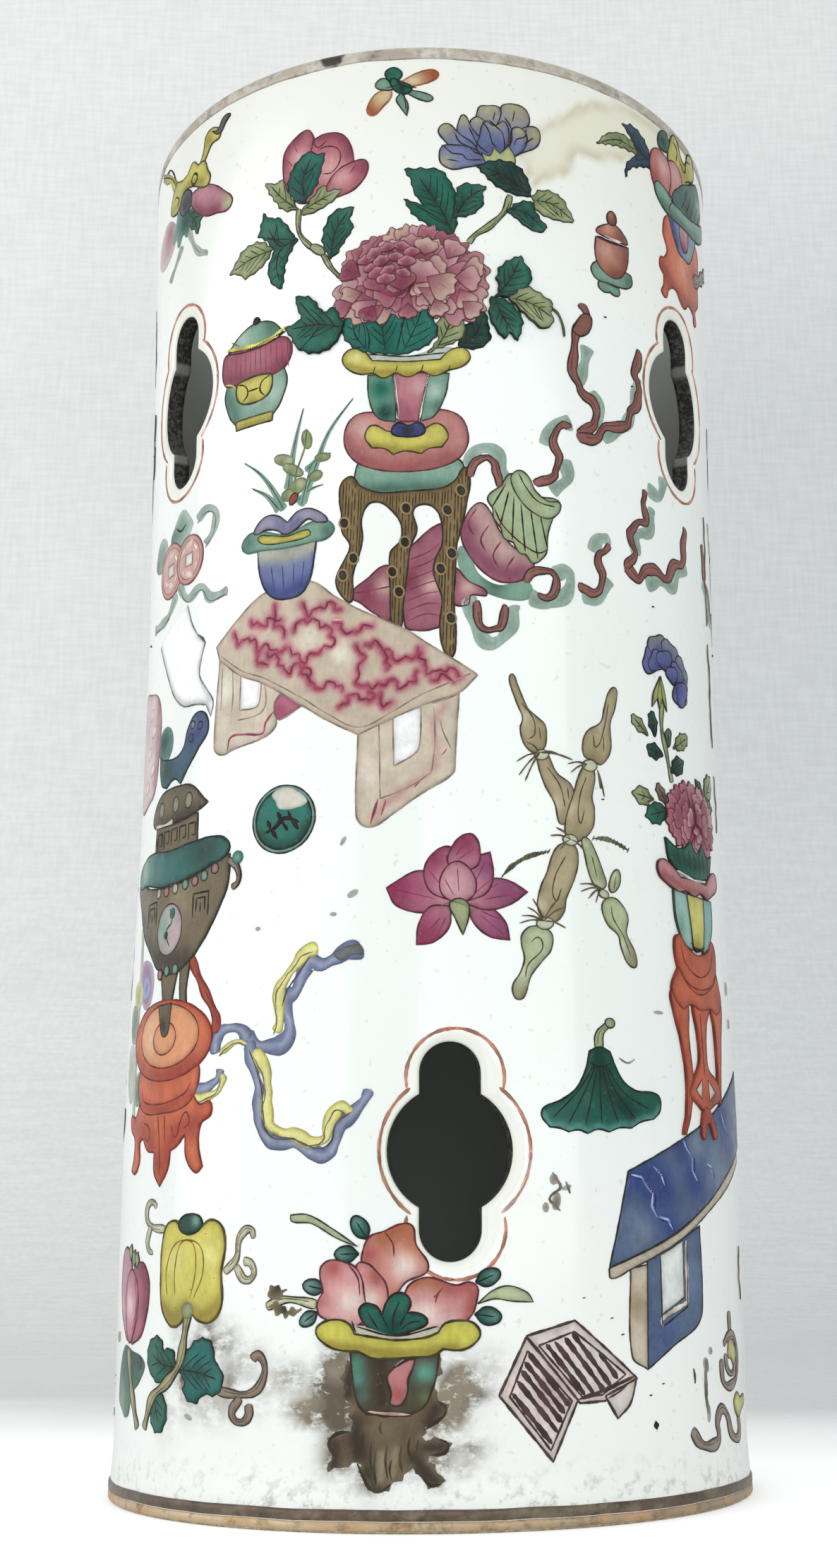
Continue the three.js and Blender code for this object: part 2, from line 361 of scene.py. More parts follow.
def finish(name, verts, faces, materials, slots):
    """A piece of the stand from points in metres, riding with the stand."""
    mesh = bpy.data.meshes.new(name)
    mesh.from_pydata([tuple(v) for v in verts], [], [tuple(f) for f in faces])
    for material in materials:
        mesh.materials.append(material)
    mesh.polygons.foreach_set("material_index", slots)
    mesh.polygons.foreach_set("use_smooth", [True] * len(mesh.polygons))
    mesh.update()
    piece = bpy.data.objects.new(name, mesh)
    scene.collection.objects.link(piece)
    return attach(piece, "root")


class Shell:
    """The tube's skin while it is put together: places with a depth, and faces with a material."""

    def __init__(self):
        self.places, self.faces, self.slots = [], [], []

    def point(self, across, up, depth):
        self.places.append((across, up, depth))
        return len(self.places) - 1

    def face(self, corners, slot, inwards=False):
        self.faces.append(tuple(reversed(corners)) if inwards else tuple(corners))
        self.slots.append(slot)

    def strip(self, low, high, slot):
        """A closed ring of faces between two rings of points."""
        for i in range(len(low)):
            j = (i + 1) % len(low)
            self.face((low[i], low[j], high[j], high[i]), slot)


def skin(shell, rows, depth, outlines, slot, inwards):
    """One cylinder wall of the shell, with a triangulated window round every opening."""
    step = 2 * math.pi * TURN / COLUMNS
    ids = [[shell.point(j * step, up, depth) for j in range(COLUMNS)] for up in rows]
    covered = set()
    for (centre, up, outline, loop) in outlines:
        j0, j1 = math.floor((centre - WINDOW[0]) / step), math.ceil((centre + WINDOW[0]) / step)
        i0 = max(i for i, r in enumerate(rows) if r <= up - WINDOW[1])
        i1 = min(i for i, r in enumerate(rows) if r >= up + WINDOW[1])
        inside = outline + (centre, up)
        points, owner = [], []
        for i in range(i0, i1 + 1):
            for j in range(j0, j1 + 1):
                place = np.array((j * step, rows[i]))
                edge = i in (i0, i1) or j in (j0, j1)
                if not edge and (enclosed(place[None], inside)[0] or np.hypot(*(inside - place).T).min() < step * 0.6):
                    continue
                points.append(tuple(place))
                owner.append(ids[i][j % COLUMNS])
        count = len(points)
        points += [tuple(p) for p in inside]
        owner += loop
        ring = [(count + k, count + (k + 1) % len(loop)) for k in range(len(loop))]
        out = delaunay_2d_cdt([Vector(p) for p in points], ring, [], 0, 1e-5)
        for triangle in out[2]:
            corners = [owner[out[3][v][0]] for v in triangle]
            flat = [out[0][v] for v in triangle]
            middle = np.array(sum(flat, Vector((0, 0))) / 3)
            if not enclosed(middle[None], inside)[0]:
                shell.face(corners, slot, inwards)
        covered |= {(i, j % COLUMNS) for i in range(i0, i1) for j in range(j0, j1)}
    for i in range(len(rows) - 1):
        for j in range(COLUMNS):
            if (i, j) not in covered:
                k = (j + 1) % COLUMNS
                shell.face((ids[i][j], ids[i][k], ids[i + 1][k], ids[i + 1][j]), slot, inwards)
    return ids[0], ids[-1]


def spline(points, closed=False, step=0.6):
    """A curve through the points, with a corner wherever a point has a third number."""
    given = []
    for p in points:
        given += [tuple(p[:2])] * (2 if len(p) > 2 else 1)
    q, n, out = np.array(given, float), len(given), []
    before = np.roll(q, 1, 0) if closed else q[[0, *range(n - 1)]]
    after = np.roll(q, -1, 0) if closed else q[[*range(1, n), n - 1]]
    heading = after - before
    heading /= np.hypot(*heading.T)[:, None] + 1e-9
    for i in range(n if closed else n - 1):
        a, b = q[i], q[(i + 1) % n]
        length = math.hypot(*(b - a))
        if length < 1e-6:
            continue
        t = (np.arange(max(1, round(length / step))) / max(1, round(length / step)))[:, None]
        start, end = heading[i] * length, heading[(i + 1) % n] * length
        out.append(a + t * (start + t * (3 * (b - a) - 2 * start - end + t * (start + end - 2 * (b - a)))))
    if not closed:
        out.append(q[-1:])
    return np.concatenate(out)


def enclosed(places, ring):
    """Which places lie inside a closed ring."""
    x, y = places[:, 0, None], places[:, 1, None]
    a, b = ring, np.roll(ring, -1, 0)
    rise = np.where(np.abs(b[:, 1] - a[:, 1]) < 1e-12, 1e-12, b[:, 1] - a[:, 1])
    spans = (a[:, 1] > y) != (b[:, 1] > y)
    return (spans & (x < a[:, 0] + (y - a[:, 1]) * (b[:, 0] - a[:, 0]) / rise)).sum(1) % 2 == 1


def gap(places, path):
    """How far each place is from the nearest point of a path."""
    return np.sqrt(((places[:, None] - path[None]) ** 2).sum(2).min(1))


# Where tea has run under the lip at the right of the front, and where soot and brown enamel have
# smeared round the painted stands near the foot: spots as across, up, the two radii and strength.
TEA = [(18, 258), (20.5, 251.3, 1), (24.5, 254.2), (28, 255.6), (29.8, 260.6), (35.6, 261.6), (41.5, 263.6),
       (50, 266.6), (61, 270), (62, 277), (54, 276.2), (44.6, 275.7), (37.6, 274.5), (32, 272.1), (26.8, 267.7),
       (22, 264)]
SOOT = [(-16.4, 22.5, 2.6, 6.5, 2.4), (-20.6, 18.8, 3.4, 2, 1.3), (3.8, 20.8, 2.6, 4, 1.7), (6.4, 22.8, 2.6, 2, 1.2),
        (-43, 29.8, 4.2, 1.8, 1.3), (-48.4, 23.6, 1.8, 3, 1.2), (-16, 24, 2.8, 6, 1.3), (-18.5, 22.5, 3, 2.6, 1.2),
        (-21.5, 19.8, 4.2, 2, 1.1), (-25, 24.4, 4.6, 2.6, 0.7), (-30.5, 22.5, 3, 4, 0.4), (-14.6, 29, 2.4, 2.4, 1),
        (-33, 27.6, 3.4, 2.6, 0.6), (-37, 23, 3, 5, 0.7), (-41, 19.5, 5, 3, 0.55), (-42.2, 33.6, 2.2, 5, 0.8),
        (-38, 30, 3, 3, 0.7), (-47, 22, 4, 5, 0.5), (-54, 20, 3.4, 6, 0.45), (-50, 32, 3, 5, 0.3),
        (4.8, 25, 2.6, 2.4, 1.2), (6.8, 22.3, 3.6, 1.7, 1.1), (3.6, 19, 2.8, 2, 0.9), (6.5, 12.8, 2.8, 1.4, 1),
        (4.4, 10.4, 2.4, 1.1, 0.8), (9.5, 26.6, 3, 2.6, 0.4), (2, 30.6, 3, 2.4, 0.5), (-15.6, 12.4, 3.2, 3, 1.3),
        (1.2, 13.6, 2.6, 3.6, 1.3), (-10.2, 9, 2.6, 2.2, 1.2), (0.8, 9, 1.8, 1.8, 1.2), (-13.8, 20, 1.8, 5, 1.4),
        (1.4, 20, 1.8, 5, 1.3), (-4.6, 11, 3, 1.6, 1.2)]


def relief_group():
    """A fine unevenness of the surface."""
    g = group("relief", "ShaderNodeTree",
              [("Scale", "Float", 100), ("Detail", "Float", 3), ("Strength", "Float", 0.3),
               ("Distance", "Float", 0.0003)], [("Normal", "Vector")])
    bump = g.add("ShaderNodeBump")
    g.put(bump.inputs["Height"], shared_noise(g))
    for name in ("Strength", "Distance"):
        g.put(bump.inputs[name], g.given[name])
    g.put(g.result["Normal"], bump)
    return g.tree


RELIEF = relief_group()


def glaze_material():
    """Cool white glaze, with mottling, fine pits and specks, painted shade greying its top, grime at the foot, tea and
    soot.
    """
    mat = Nodes("glaze")
    up = mat.axis(2)
    white = mat.mix(mat.patches(9, 0.35, 0.65), rgb(0.925, 0.945, 0.935), rgb(0.95, 0.955, 0.95))
    # Painted shade: the top of the tube is greyed and warmed, where less light falls on it.
    white = mat.mix(mat.ramp(up, (0.225, 0), (0.28, 1)), white, rgb(0.905, 0.905, 0.875))
    white = mat.use(SOIL, Colour=white, Dirt=rgb(0.76, 0.75, 0.68), Amount=0.22, Scale=60, Start=0.60, Full=0.86)
    foot = mat.maths("MULTIPLY", mat.ramp(up, (0.004, 1), (0.012, 0)), mat.patches(420, 0.52, 0.66, 5, 0.7))
    white = mat.mix(mat.maths("MULTIPLY", foot, 0.5), white, rgb(0.42, 0.36, 0.30))
    white = mat.mix(mat.maths("MULTIPLY", mat.patches(700, 0.70, 0.76, 1), 0.18), white, rgb(0.55, 0.54, 0.50))
    stain = mat.add("ShaderNodeSeparateColor")
    mat.put(stain.inputs[0], mat.add("ShaderNodeAttribute", attribute_name="stain").outputs["Color"])
    tea = mat.maths("MULTIPLY", stain.outputs[0],
                    mat.maths("ADD", 0.75, mat.maths("MULTIPLY", mat.patches(90, 0.3, 0.7, 4), 0.35)))
    white = mat.mix(tea, white, mat.mix(stain.outputs[2], rgb(0.875, 0.865, 0.79), rgb(0.78, 0.74, 0.64)))
    smear = mat.maths("ADD", 0.26, mat.patches(230, 0.38, 0.54, 5, 0.75, (1, 1, 1.7)))
    brown = mat.mix(mat.patches(150, 0.4, 0.6), rgb(0.33, 0.29, 0.22), rgb(0.52, 0.48, 0.41))
    white = mat.mix(mat.maths("MULTIPLY", stain.outputs[1], smear), white, brown)
    return mat.set(Base_Color=white, Roughness=mat.mix(mat.patches(160, 0.3, 0.8, 2), even(0.10), even(0.2)),
                   Normal=mat.relief(110, 3, 0.12, 0.0006), Coat_Weight=0.3, Coat_Roughness=0.04, IOR=1.5)


def stains(places):
    """How much tea, soot and tea edge there is at each place of the glaze, as a colour; the tea channel also carries
    painted shade in the bevel of every opening.
    """
    across, up = places[:, 0].copy(), places[:, 1]
    across[across > math.pi * TURN] -= 2 * math.pi * TURN
    flat, ring = np.stack([across, up], 1), spline(TEA, True)
    near = (abs(across - 38) < 32) & (up > 245)
    tea, edge = np.zeros(len(flat)), np.zeros(len(flat))
    away = gap(flat[near], ring)
    within = enclosed(flat[near], ring)
    tea[near] = np.where(within, 0.9, 0.9 * np.exp(-(away / 0.7) ** 2))
    edge[near] = np.exp(-(away / 1.3) ** 2)
    soot = np.zeros(len(flat))
    for x, y, wide, tall, much in SOOT:
        soot = np.maximum(soot, much * np.exp(-((across - x) / wide) ** 2 - ((up - y) / tall) ** 2))
    # Painted shade: the bevel round every opening is tinted cream through the tea channel, for the shade in its hollow;
    # it is no tea stain.
    for facing, height, shift in OPENINGS:
        centre = from_front(facing)
        around = np.flatnonzero((abs(across - centre) < 16) & (abs(up - height) < 24))
        bevel = around[enclosed(flat[around], opening_outline(*MOUTH) + (centre + shift, height))]
        tea[bevel] = 0.45
    return np.stack([tea, soot, edge, np.ones(len(flat))], 1)


# The height of the upper row of openings, and how far a cusp lies above and below it, in metres.
UPPER_ROW, CUSP = 0.2159, 0.0102


def bare_material(name, colour, dark, glaze_in_shade=None):
    """Rough fired body, speckled in a second tone; at the cusps of the upper openings glaze has run over it, coloured a
    painted shade of grey.
    """
    mat = Nodes(name)
    colour = mat.use(SOIL, Colour=dark, Dirt=colour, Amount=1, Scale=1100, Start=0.45, Full=0.62)
    if glaze_in_shade:
        # Painted shade: the glaze over the cusps is given a mid grey, the white glaze as it looks in the shade inside
        # the opening.
        apart = mat.maths("ABSOLUTE", mat.maths("SUBTRACT", mat.axis(2), UPPER_ROW))
        away = mat.maths("ABSOLUTE", mat.maths("SUBTRACT", apart, CUSP))
        colour = mat.mix(mat.ramp(mat.maths("MULTIPLY", away, 100), (0.07, 1), (0.14, 0)), colour, glaze_in_shade)
    return mat.set(Base_Color=colour, Roughness=0.85, Normal=mat.relief(900, 4, 0.6, 0.0004))


def inside_material():
    """The glaze inside the tube, greyed all over as painted shade, a little darker and warmer towards the top, with
    paler yellowish patches.
    """
    mat = Nodes("inside_glaze")
    # Painted shade: white glaze given a mid grey for the dim inside of the tube.
    shade = mat.mix(mat.ramp(mat.maths("MULTIPLY", mat.axis(2), 3.6), (0.1, 0), (0.8, 1)), rgb(0.61, 0.63, 0.62),
                    rgb(0.58, 0.59, 0.57))
    shade = mat.use(SOIL, Colour=shade, Dirt=rgb(0.72, 0.70, 0.64), Amount=0.25, Scale=45, Start=0.4, Full=0.75)
    return mat.set(Base_Color=shade, Roughness=0.45)


def tube():
    """Both skins, the openings with their bevels and cut edges, the lip and the foot ring."""
    shell = Shell()
    outer_rows = [0.6, *np.linspace(5.6, 275.6, 136), TALL - LIP_ROUND]
    inner_rows = [5, *np.linspace(10, 274, 67), TALL - LIP_ROUND]
    outer_windows, inner_windows = [], []
    for facing, up, shift in OPENINGS:
        centre = math.radians(facing % 360) * TURN
        hole, mouth = opening_outline(*HOLE), opening_outline(*MOUTH) + (shift, 0)
        rings = []
        for k in range(BEVEL_STEPS + 1):
            share = k / BEVEL_STEPS
            depth = BEVEL_DEPTH * (1 - math.sqrt(1 - share ** 1.6)) if share < 1 else BEVEL_DEPTH
            ring = mouth + (hole - mouth) * share
            rings.append([shell.point(centre + x, up + y, depth) for x, y in ring])
        for depth in np.linspace(BEVEL_DEPTH, WALL, 5)[1:]:
            rings.append([shell.point(centre + x, up + y, depth) for x, y in hole])
        for k, (near, far) in enumerate(zip(rings, rings[1:])):
            shell.strip(near, far, 0 if k < BEVEL_STEPS else 1)
        outer_windows.append((centre, up, mouth, rings[0]))
        inner_windows.append((centre, up, hole, rings[-1]))
    outer_low, outer_high = skin(shell, outer_rows, 0, outer_windows, 0, False)
    inner_low, inner_high = skin(shell, inner_rows, WALL, inner_windows, 2, True)
    step, rims = 2 * math.pi * TURN / COLUMNS, [outer_high]
    for k in range(1, LIP_STEPS):
        t = math.pi * k / LIP_STEPS
        rise = TALL - GLAZE_DEPTH - LIP_ROUND + LIP_ROUND * math.sin(t)
        outside, within = LIP_ROUND * (1 - math.cos(t)), WALL - LIP_ROUND * (1 + math.cos(t))
        if 2 * k == LIP_STEPS:
            depths = (LIP_ROUND, WALL - LIP_ROUND)
        else:
            depths = (outside,) if 2 * k < LIP_STEPS else (within,)
        rims += [[shell.point(j * step, rise, depth) for j in range(COLUMNS)] for depth in depths]
    rims.append(inner_high)
    for near, far in zip(rims, rims[1:]):
        shell.strip(near, far, 0)
    foot = [inner_low]
    for depth, up in FOOT_RING:
        foot.append([shell.point(j * step, up, depth) for j in range(COLUMNS)])
    foot.append(outer_low)
    for near, far in zip(foot, foot[1:]):
        shell.strip(near, far, 3)
    used = sorted({v for face in shell.faces for v in face})
    number = {v: i for i, v in enumerate(used)}
    faces = [[number[v] for v in face] for face in shell.faces]
    places = np.array(shell.places)[used]
    verts = on_tube(places[:, 0], places[:, 1], -places[:, 2] - GLAZE_DEPTH)
    materials = [glaze_material(),
                 # The cut edge: near black with grey specks, and at the upper cusps a grey that is painted shade on
                 # white glaze.
                 bare_material("cut_edge", rgb(0.34, 0.33, 0.31), rgb(0.09, 0.09, 0.09), rgb(0.46, 0.47, 0.46)),
                 inside_material(), bare_material("foot_ring", rgb(0.83, 0.79, 0.71), rgb(0.66, 0.6, 0.5))]
    piece = finish("porcelain_tube", verts, faces, materials, shell.slots)
    piece.data.attributes.new("stain", "FLOAT_COLOR", "POINT").data.foreach_set("color", stains(places).ravel())
    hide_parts("lower_tube_section", "upper_tube_section", "luting_slip_ring")


tube()


# The base disc, let into the foot: bare fired clay with wheel marks, seen only from below and
# as the grey floor far down inside.
def turning_tree():
    """Turns a closed profile, drawn in the plane of x and z, into a ring about the upright axis."""
    g = group("turning", "GeometryNodeTree",
              [("Profile", "Geometry"), ("Turning Radius", "Float", 0.06), ("Steps", "Int", 240),
               ("Waver", "Float", 0.0), ("Steady Above", "Float", 1.0), ("Seed", "Float", 0.0),
               ("Material", "Material")], [("Piece", "Geometry")])
    at = g.add("ShaderNodeSeparateXYZ")
    g.put(at.inputs[0], g.add("GeometryNodeInputPosition"))
    flat = g.add("ShaderNodeCombineXYZ")
    g.put(flat.inputs["X"], g.maths("SUBTRACT", at.outputs["X"], g.given["Turning Radius"]))
    g.put(flat.inputs["Y"], g.maths("MULTIPLY", at.outputs["Z"], -1))
    outline = g.add("GeometryNodeMeshToCurve")
    g.put(outline.inputs[0], g.given["Profile"])
    laid = g.add("GeometryNodeSetPosition")
    g.put(laid.inputs["Geometry"], outline)
    g.put(laid.inputs["Position"], flat)
    ring = g.add("GeometryNodeCurvePrimitiveCircle")
    g.put(ring.inputs["Resolution"], g.given["Steps"])
    g.put(ring.inputs["Radius"], g.given["Turning Radius"])
    upright = g.add("GeometryNodeSetCurveNormal", mode="Z_UP")
    g.put(upright.inputs["Curve"], ring)
    turned = g.add("GeometryNodeCurveToMesh")
    g.put(turned.inputs["Curve"], upright)
    g.put(turned.inputs["Profile Curve"], laid)
    noise = g.add("ShaderNodeTexNoise", noise_dimensions="4D", scale=90, detail=2)
    g.put(noise.inputs["W"], g.given["Seed"])
    steady = g.add("ShaderNodeMapRange")
    g.put(steady.inputs["Value"], g.maths("SUBTRACT", g.given["Steady Above"], at.outputs["Z"]))
    steady.inputs["From Max"].default_value = 0.0015
    rise = g.add("ShaderNodeCombineXYZ")
    waver = g.maths("MULTIPLY", g.maths("SUBTRACT", noise.outputs[0], 0.5), g.given["Waver"])
    g.put(rise.inputs["Z"], g.maths("MULTIPLY", waver, steady.outputs[0]))
    uneven = g.add("GeometryNodeSetPosition")
    g.put(uneven.inputs["Geometry"], turned)
    g.put(uneven.inputs["Offset"], rise)
    soft = g.add("GeometryNodeSetShadeSmooth")
    g.put(soft.inputs["Geometry"], uneven)
    whole = g.add("GeometryNodeRealizeInstances")
    g.put(whole.inputs["Geometry"], soft)
    dressed = g.add("GeometryNodeSetMaterial")
    g.put(dressed.inputs["Geometry"], whole)
    g.put(dressed.inputs["Material"], g.given["Material"])
    g.put(g.result["Piece"], dressed)
    return g.tree


def grown(name, start, tree, **values):
    """The plain mesh that a Geometry Nodes tree makes from a starting mesh, with named inputs set."""
    seed = bpy.data.objects.new(name + "_start", start)
    scene.collection.objects.link(seed)
    modifier = seed.modifiers.new("tree", "NODES")
    modifier.node_group = tree
    for item in tree.interface.items_tree:
        if item.in_out == "INPUT" and item.name.replace(" ", "_") in values:
            modifier[item.identifier] = values[item.name.replace(" ", "_")]
    depsgraph = bpy.context.evaluated_depsgraph_get()
    mesh = bpy.data.meshes.new_from_object(seed.evaluated_get(depsgraph), preserve_all_data_layers=True,
                                           depsgraph=depsgraph)
    seed.modifiers.clear()
    bpy.data.objects.remove(seed)
    mesh.name = name
    piece = bpy.data.objects.new(name, mesh)
    scene.collection.objects.link(piece)
    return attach(piece, "root")


TURNING = turning_tree()


def turned_piece(name, profile, material, steps=240, waver=0.0, steady=1.0, seed=0.0):
    """A ring or disc turned about the stand's axis from (radius, up) points, closed on itself."""
    mesh = bpy.data.meshes.new(name + "_profile")
    mesh.from_pydata([(r * MM, 0, up * MM) for r, up in profile],
                     [(i, (i + 1) % len(profile)) for i in range(len(profile))], [])
    middle = sum(r for r, up in profile) / len(profile) * MM
    piece = grown(name, mesh, TURNING, Turning_Radius=middle, Steps=steps, Waver=waver * MM, Steady_Above=steady,
                  Seed=seed, Material=material)
    corners = np.array([v.co for v in piece.data.vertices])
    loops = np.array([p.vertices for p in piece.data.polygons])
    a, b, c, d = (corners[loops[:, k]] for k in range(4))
    if (np.einsum("ij,ij->i", a, np.cross(b, c)) + np.einsum("ij,ij->i", a, np.cross(c, d))).sum() < 0:
        piece.data.flip_normals()
    return piece


def disc_material():
    mat = Nodes("base_clay")
    rings = mat.add("ShaderNodeTexWave", wave_type="RINGS", rings_direction="Z", scale=95, distortion=1.2)
    mat.put(rings.inputs["Vector"], mat.here())
    bump = mat.add("ShaderNodeBump", strength=0.3, distance=0.0003)
    mat.put(bump.inputs["Height"], rings.outputs[0])
    colour = mat.use(SOIL, Colour=rgb(0.55, 0.52, 0.46), Dirt=rgb(0.72, 0.68, 0.6), Amount=1, Scale=70, Start=0.35,
                     Full=0.7)
    return mat.set(Base_Color=colour, Roughness=0.8, Normal=bump)


def base_disc():
    """The disc, slightly dished on both faces, with a hair's breadth of radius on its edge."""
    top, bottom, edge, round_off = 10.3, 5.3, 59.0, 0.6
    middle, dish, dished = 0.4, 0.35, 57
    rings = [(middle, top - dish),
             *[(r, top - dish * (1 - (r / dished) ** 2)) for r in range(6, dished, 6)], (58.4, top)]
    rings += [(edge, top - round_off), (edge, bottom + round_off), (58.4, bottom)]
    rings += [(r, bottom + dish * (1 - (r / dished) ** 2)) for r in range(54, 5, -6)] + [(middle, bottom + dish)]
    piece = turned_piece("base_disc_clay", rings[::-1], disc_material())
    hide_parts("base_disc")


base_disc()


# The lip: gilding folded over it, rubbed down to a pinkish grey, with brown left along its
# lower edge and a dark chip on the left of the front.
def worn_gold(name, gold, under, dirt, rubbed, seed, right=None, marks=None):
    """Old gilding: gold where it is left, the ground where it has been rubbed off, and dirt. The gold
    may darken into another colour towards the right, a painted shade away from the lamp, and further marks may be laid
    over it."""
    mat = Nodes(name)
    wear = mat.patches(170 + seed, rubbed - 0.1, rubbed + 0.1, 6, 0.7, (1, 1, 1.6))
    # Painted shade: the gold darkens towards the right of the front, away from the window lamp.
    if right:
        gold = mat.mix(mat.ramp(mat.maths("MULTIPLY_ADD", mat.axis(0), 8, 0.5), (0.35, 0), (0.85, 1)), gold, right)
    colour = mat.use(SOIL, Colour=mat.mix(wear, under, gold), Dirt=dirt, Amount=0.8, Scale=320 + seed, Start=0.5,
                     Full=0.72)
    if marks:
        colour = marks(mat, colour, dirt)
    bump = mat.add("ShaderNodeBump", strength=0.35, distance=0.0002)
    mat.put(bump.inputs["Height"], wear)
    rough = mat.mix(wear, even(0.55), even(0.35))
    return mat.set(Base_Color=colour, Roughness=rough, Metallic=mat.maths("MULTIPLY", wear, 0.3), Normal=bump)


def lip_marks(mat, colour, dirt):
    """Brown left along the lower edge of the band, and the dark chip."""
    edge = mat.maths("MULTIPLY", mat.ramp(mat.maths("MULTIPLY_ADD", mat.axis(2), 500, -138), (0.25, 1), (0.6, 0)),
                     mat.patches(260, 0.3, 0.55, 5))
    colour = mat.mix(mat.maths("MULTIPLY", edge, 0.75), colour, dirt)
    away = mat.add("ShaderNodeVectorMath", operation="DISTANCE")
    mat.put(away.inputs[0], mat.here())
    away.inputs[1].default_value = tuple(on_tube(-20.2, 279.8))
    chip = mat.maths("ADD", mat.maths("MULTIPLY", away.outputs["Value"], 220),
                     mat.maths("MULTIPLY", mat.patches(500, 0.3, 0.7), 0.2))
    return mat.mix(mat.ramp(chip, (0.6, 1), (0.8, 0)), colour, rgb(0.22, 0.19, 0.16))


def lip_profile(inset):
    """The way over the lip from outside to inside, as (radius, up)."""
    out, up = float(tube_radius(TALL - LIP_ROUND)), TALL - LIP_ROUND
    points = [(float(tube_radius(z)) - inset, z) for z in (276.8, 277.6, 278.3)]
    for k in range(9):
        t = math.pi / 2 * k / 8
        points.append((out - LIP_ROUND + (LIP_ROUND - inset) * math.cos(t), up + (LIP_ROUND - inset) * math.sin(t)))
    for k in range(9):
        t = math.pi / 2 * (1 + k / 8)
        points.append((out - WALL + LIP_ROUND + (LIP_ROUND - inset) * math.cos(t),
                       up + (LIP_ROUND - inset) * math.sin(t)))
    return points + [(out - WALL + inset, 278)]


def lip():
    """The band over the lip, 0.3 mm thick, wavering along its lower edge."""
    gold = worn_gold("lip_gilding", rgb(0.69, 0.65, 0.60), rgb(0.79, 0.77, 0.74), rgb(0.38, 0.31, 0.25), 0.46, 0,
                     marks=lip_marks)
    piece = turned_piece("lip_gilding_band", (lip_profile(0) + lip_profile(0.3)[::-1])[::-1], gold, 240, 1.0, 0.2785, 4)
    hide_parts("lip_gilding")


lip()


# The foot: a band of brown enamel over a band of gilding, both brushed on over the glaze while the
# stand turned on its wheel. They were fired on, stand a little proud, and are worn to the ground.
BAND_INSIDE, BAND_EDGE = 61.5, 62.63


def band(name, node, bottom, top, material):
    profile = [(BAND_INSIDE, bottom), (BAND_EDGE - 0.15, bottom), (BAND_EDGE, bottom + 0.2), (BAND_EDGE, top - 0.5),
               (BAND_EDGE - 0.12, top - 0.2), (BAND_EDGE - 0.45, top), (BAND_INSIDE, top)]
    piece = turned_piece(name, profile, material, 240, 0.5, 1, 7)
    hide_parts(node)


band("foot_brown_enamel", "foot_brown_band", 2.0, 3.85,
     worn_gold("foot_brown", rgb(0.38, 0.32, 0.27), rgb(0.50, 0.45, 0.38), rgb(0.20, 0.17, 0.14), 0.42, 5))
# The foot gilding's second, darker gold is painted shade over its right side.
band("foot_gilt_band", "foot_gilding", 0.4, 1.99,
     worn_gold("foot_gold", rgb(0.78, 0.70, 0.57), rgb(0.76, 0.61, 0.45), rgb(0.35, 0.27, 0.18), 0.46, 9,
               rgb(0.62, 0.55, 0.46)))


# The painting. Every motif is a piece of its own, and every colour in it is a thin pad of
# enamel with its own thickness over the glaze, drawn from the painter's outline in
# millimetres across and up. Brush lines are laid over the pads, thinning at their ends.
INK, TEAL, ROSE_INK = (0.15, 0.12, 0.10), (0.11, 0.40, 0.33), (0.36, 0.14, 0.20)


def enamel_material(name, gloss, relief, spread, coat):
    """Enamel that takes its colour from the pad, mottled, streaked, pitted and a little rubbed."""
    mat = Nodes(name)
    tint = mat.add("ShaderNodeAttribute", attribute_name="tint").outputs["Color"]
    pooled = mat.mix(mat.patches(230, 0.3, 0.62, 4, 0.7), even(0.74), even(1))
    streak = mat.mix(mat.patches(1300, 0.3, 0.7, 2, 0.5, (1, 1, 0.35)), even(0.90), even(1))
    colour = mat.mix(1.0, mat.mix(spread, tint, mat.mix(1.0, tint, pooled, "MULTIPLY")), streak, "MULTIPLY")
    colour = mat.use(SOIL, Colour=colour, Dirt=rgb(0.86, 0.86, 0.82), Amount=0.05 * spread, Scale=310, Start=0.52,
                     Full=0.80)
    colour = mat.use(SOIL, Colour=colour, Dirt=rgb(0.80, 0.80, 0.77), Amount=0.15 * spread, Scale=950, Start=0.63,
                     Full=0.70)
    rough = mat.mix(mat.patches(240, 0.3, 0.75), even(gloss), even(gloss + 0.2))
    return mat.set(Base_Color=colour, Roughness=rough, Normal=mat.relief(600, 3, relief, 0.0003), Coat_Weight=coat,
                   Coat_Roughness=0.15, Specular_IOR_Level=0.2)


ENAMELS = [enamel_material("enamel", 0.24, 0.35, 1, 0.08), enamel_material("ink", 0.5, 0.2, 0.3, 0)]


def darker(colour, share=0.6):
    return tuple(c * share for c in colour[:3])


def blend(first, second, share=0.5):
    return tuple(a + (b - a) * share for a, b in zip(first, second))


def paler(colour, share=0.3):
    return blend(colour, (1, 1, 1), share)


def leftwards(path):
    """Steps of length one to the left of a path, one for each of its points."""
    along = np.gradient(path, axis=0)
    along /= np.hypot(*along.T)[:, None] + 1e-9
    return np.stack([-along[:, 1], along[:, 0]], 1)


def swollen(middle, amount):
    """A width that swells and thins by an amount along a path."""
    return (1 + amount * np.sin(np.arange(len(middle)) * 0.55))[:, None]


def ragged(outline, amount, every=3):
    """The outline with small teeth along it, pointing outwards."""
    ring = spline(outline, True, 0.75)
    along = np.roll(ring, -1, 0) - np.roll(ring, 1, 0)
    along /= np.hypot(*along.T)[:, None] + 1e-9
    side = np.sign(np.sum(ring[:, 0] * np.roll(ring[:, 1], -1) - np.roll(ring[:, 0], -1) * ring[:, 1]))
    teeth = np.where(np.arange(len(ring)) % every == 0, 1.5, -0.5) + 0.5 * np.sin(np.arange(len(ring)) * 2.3)
    return [tuple(v) for v in ring + np.stack([along[:, 1], -along[:, 0]], 1) * (side * amount * teeth)[:, None]]


# How far each pad and each line stands over what lies below it, and how deep their undersides
# are sunk in the glaze, so that they stay closed bodies on the curve of the tube.
COAT, STROKE = 0.006, 0.003
PAD_ROOT, STROKE_ROOT = -0.12, -0.1
RIB = 0.27


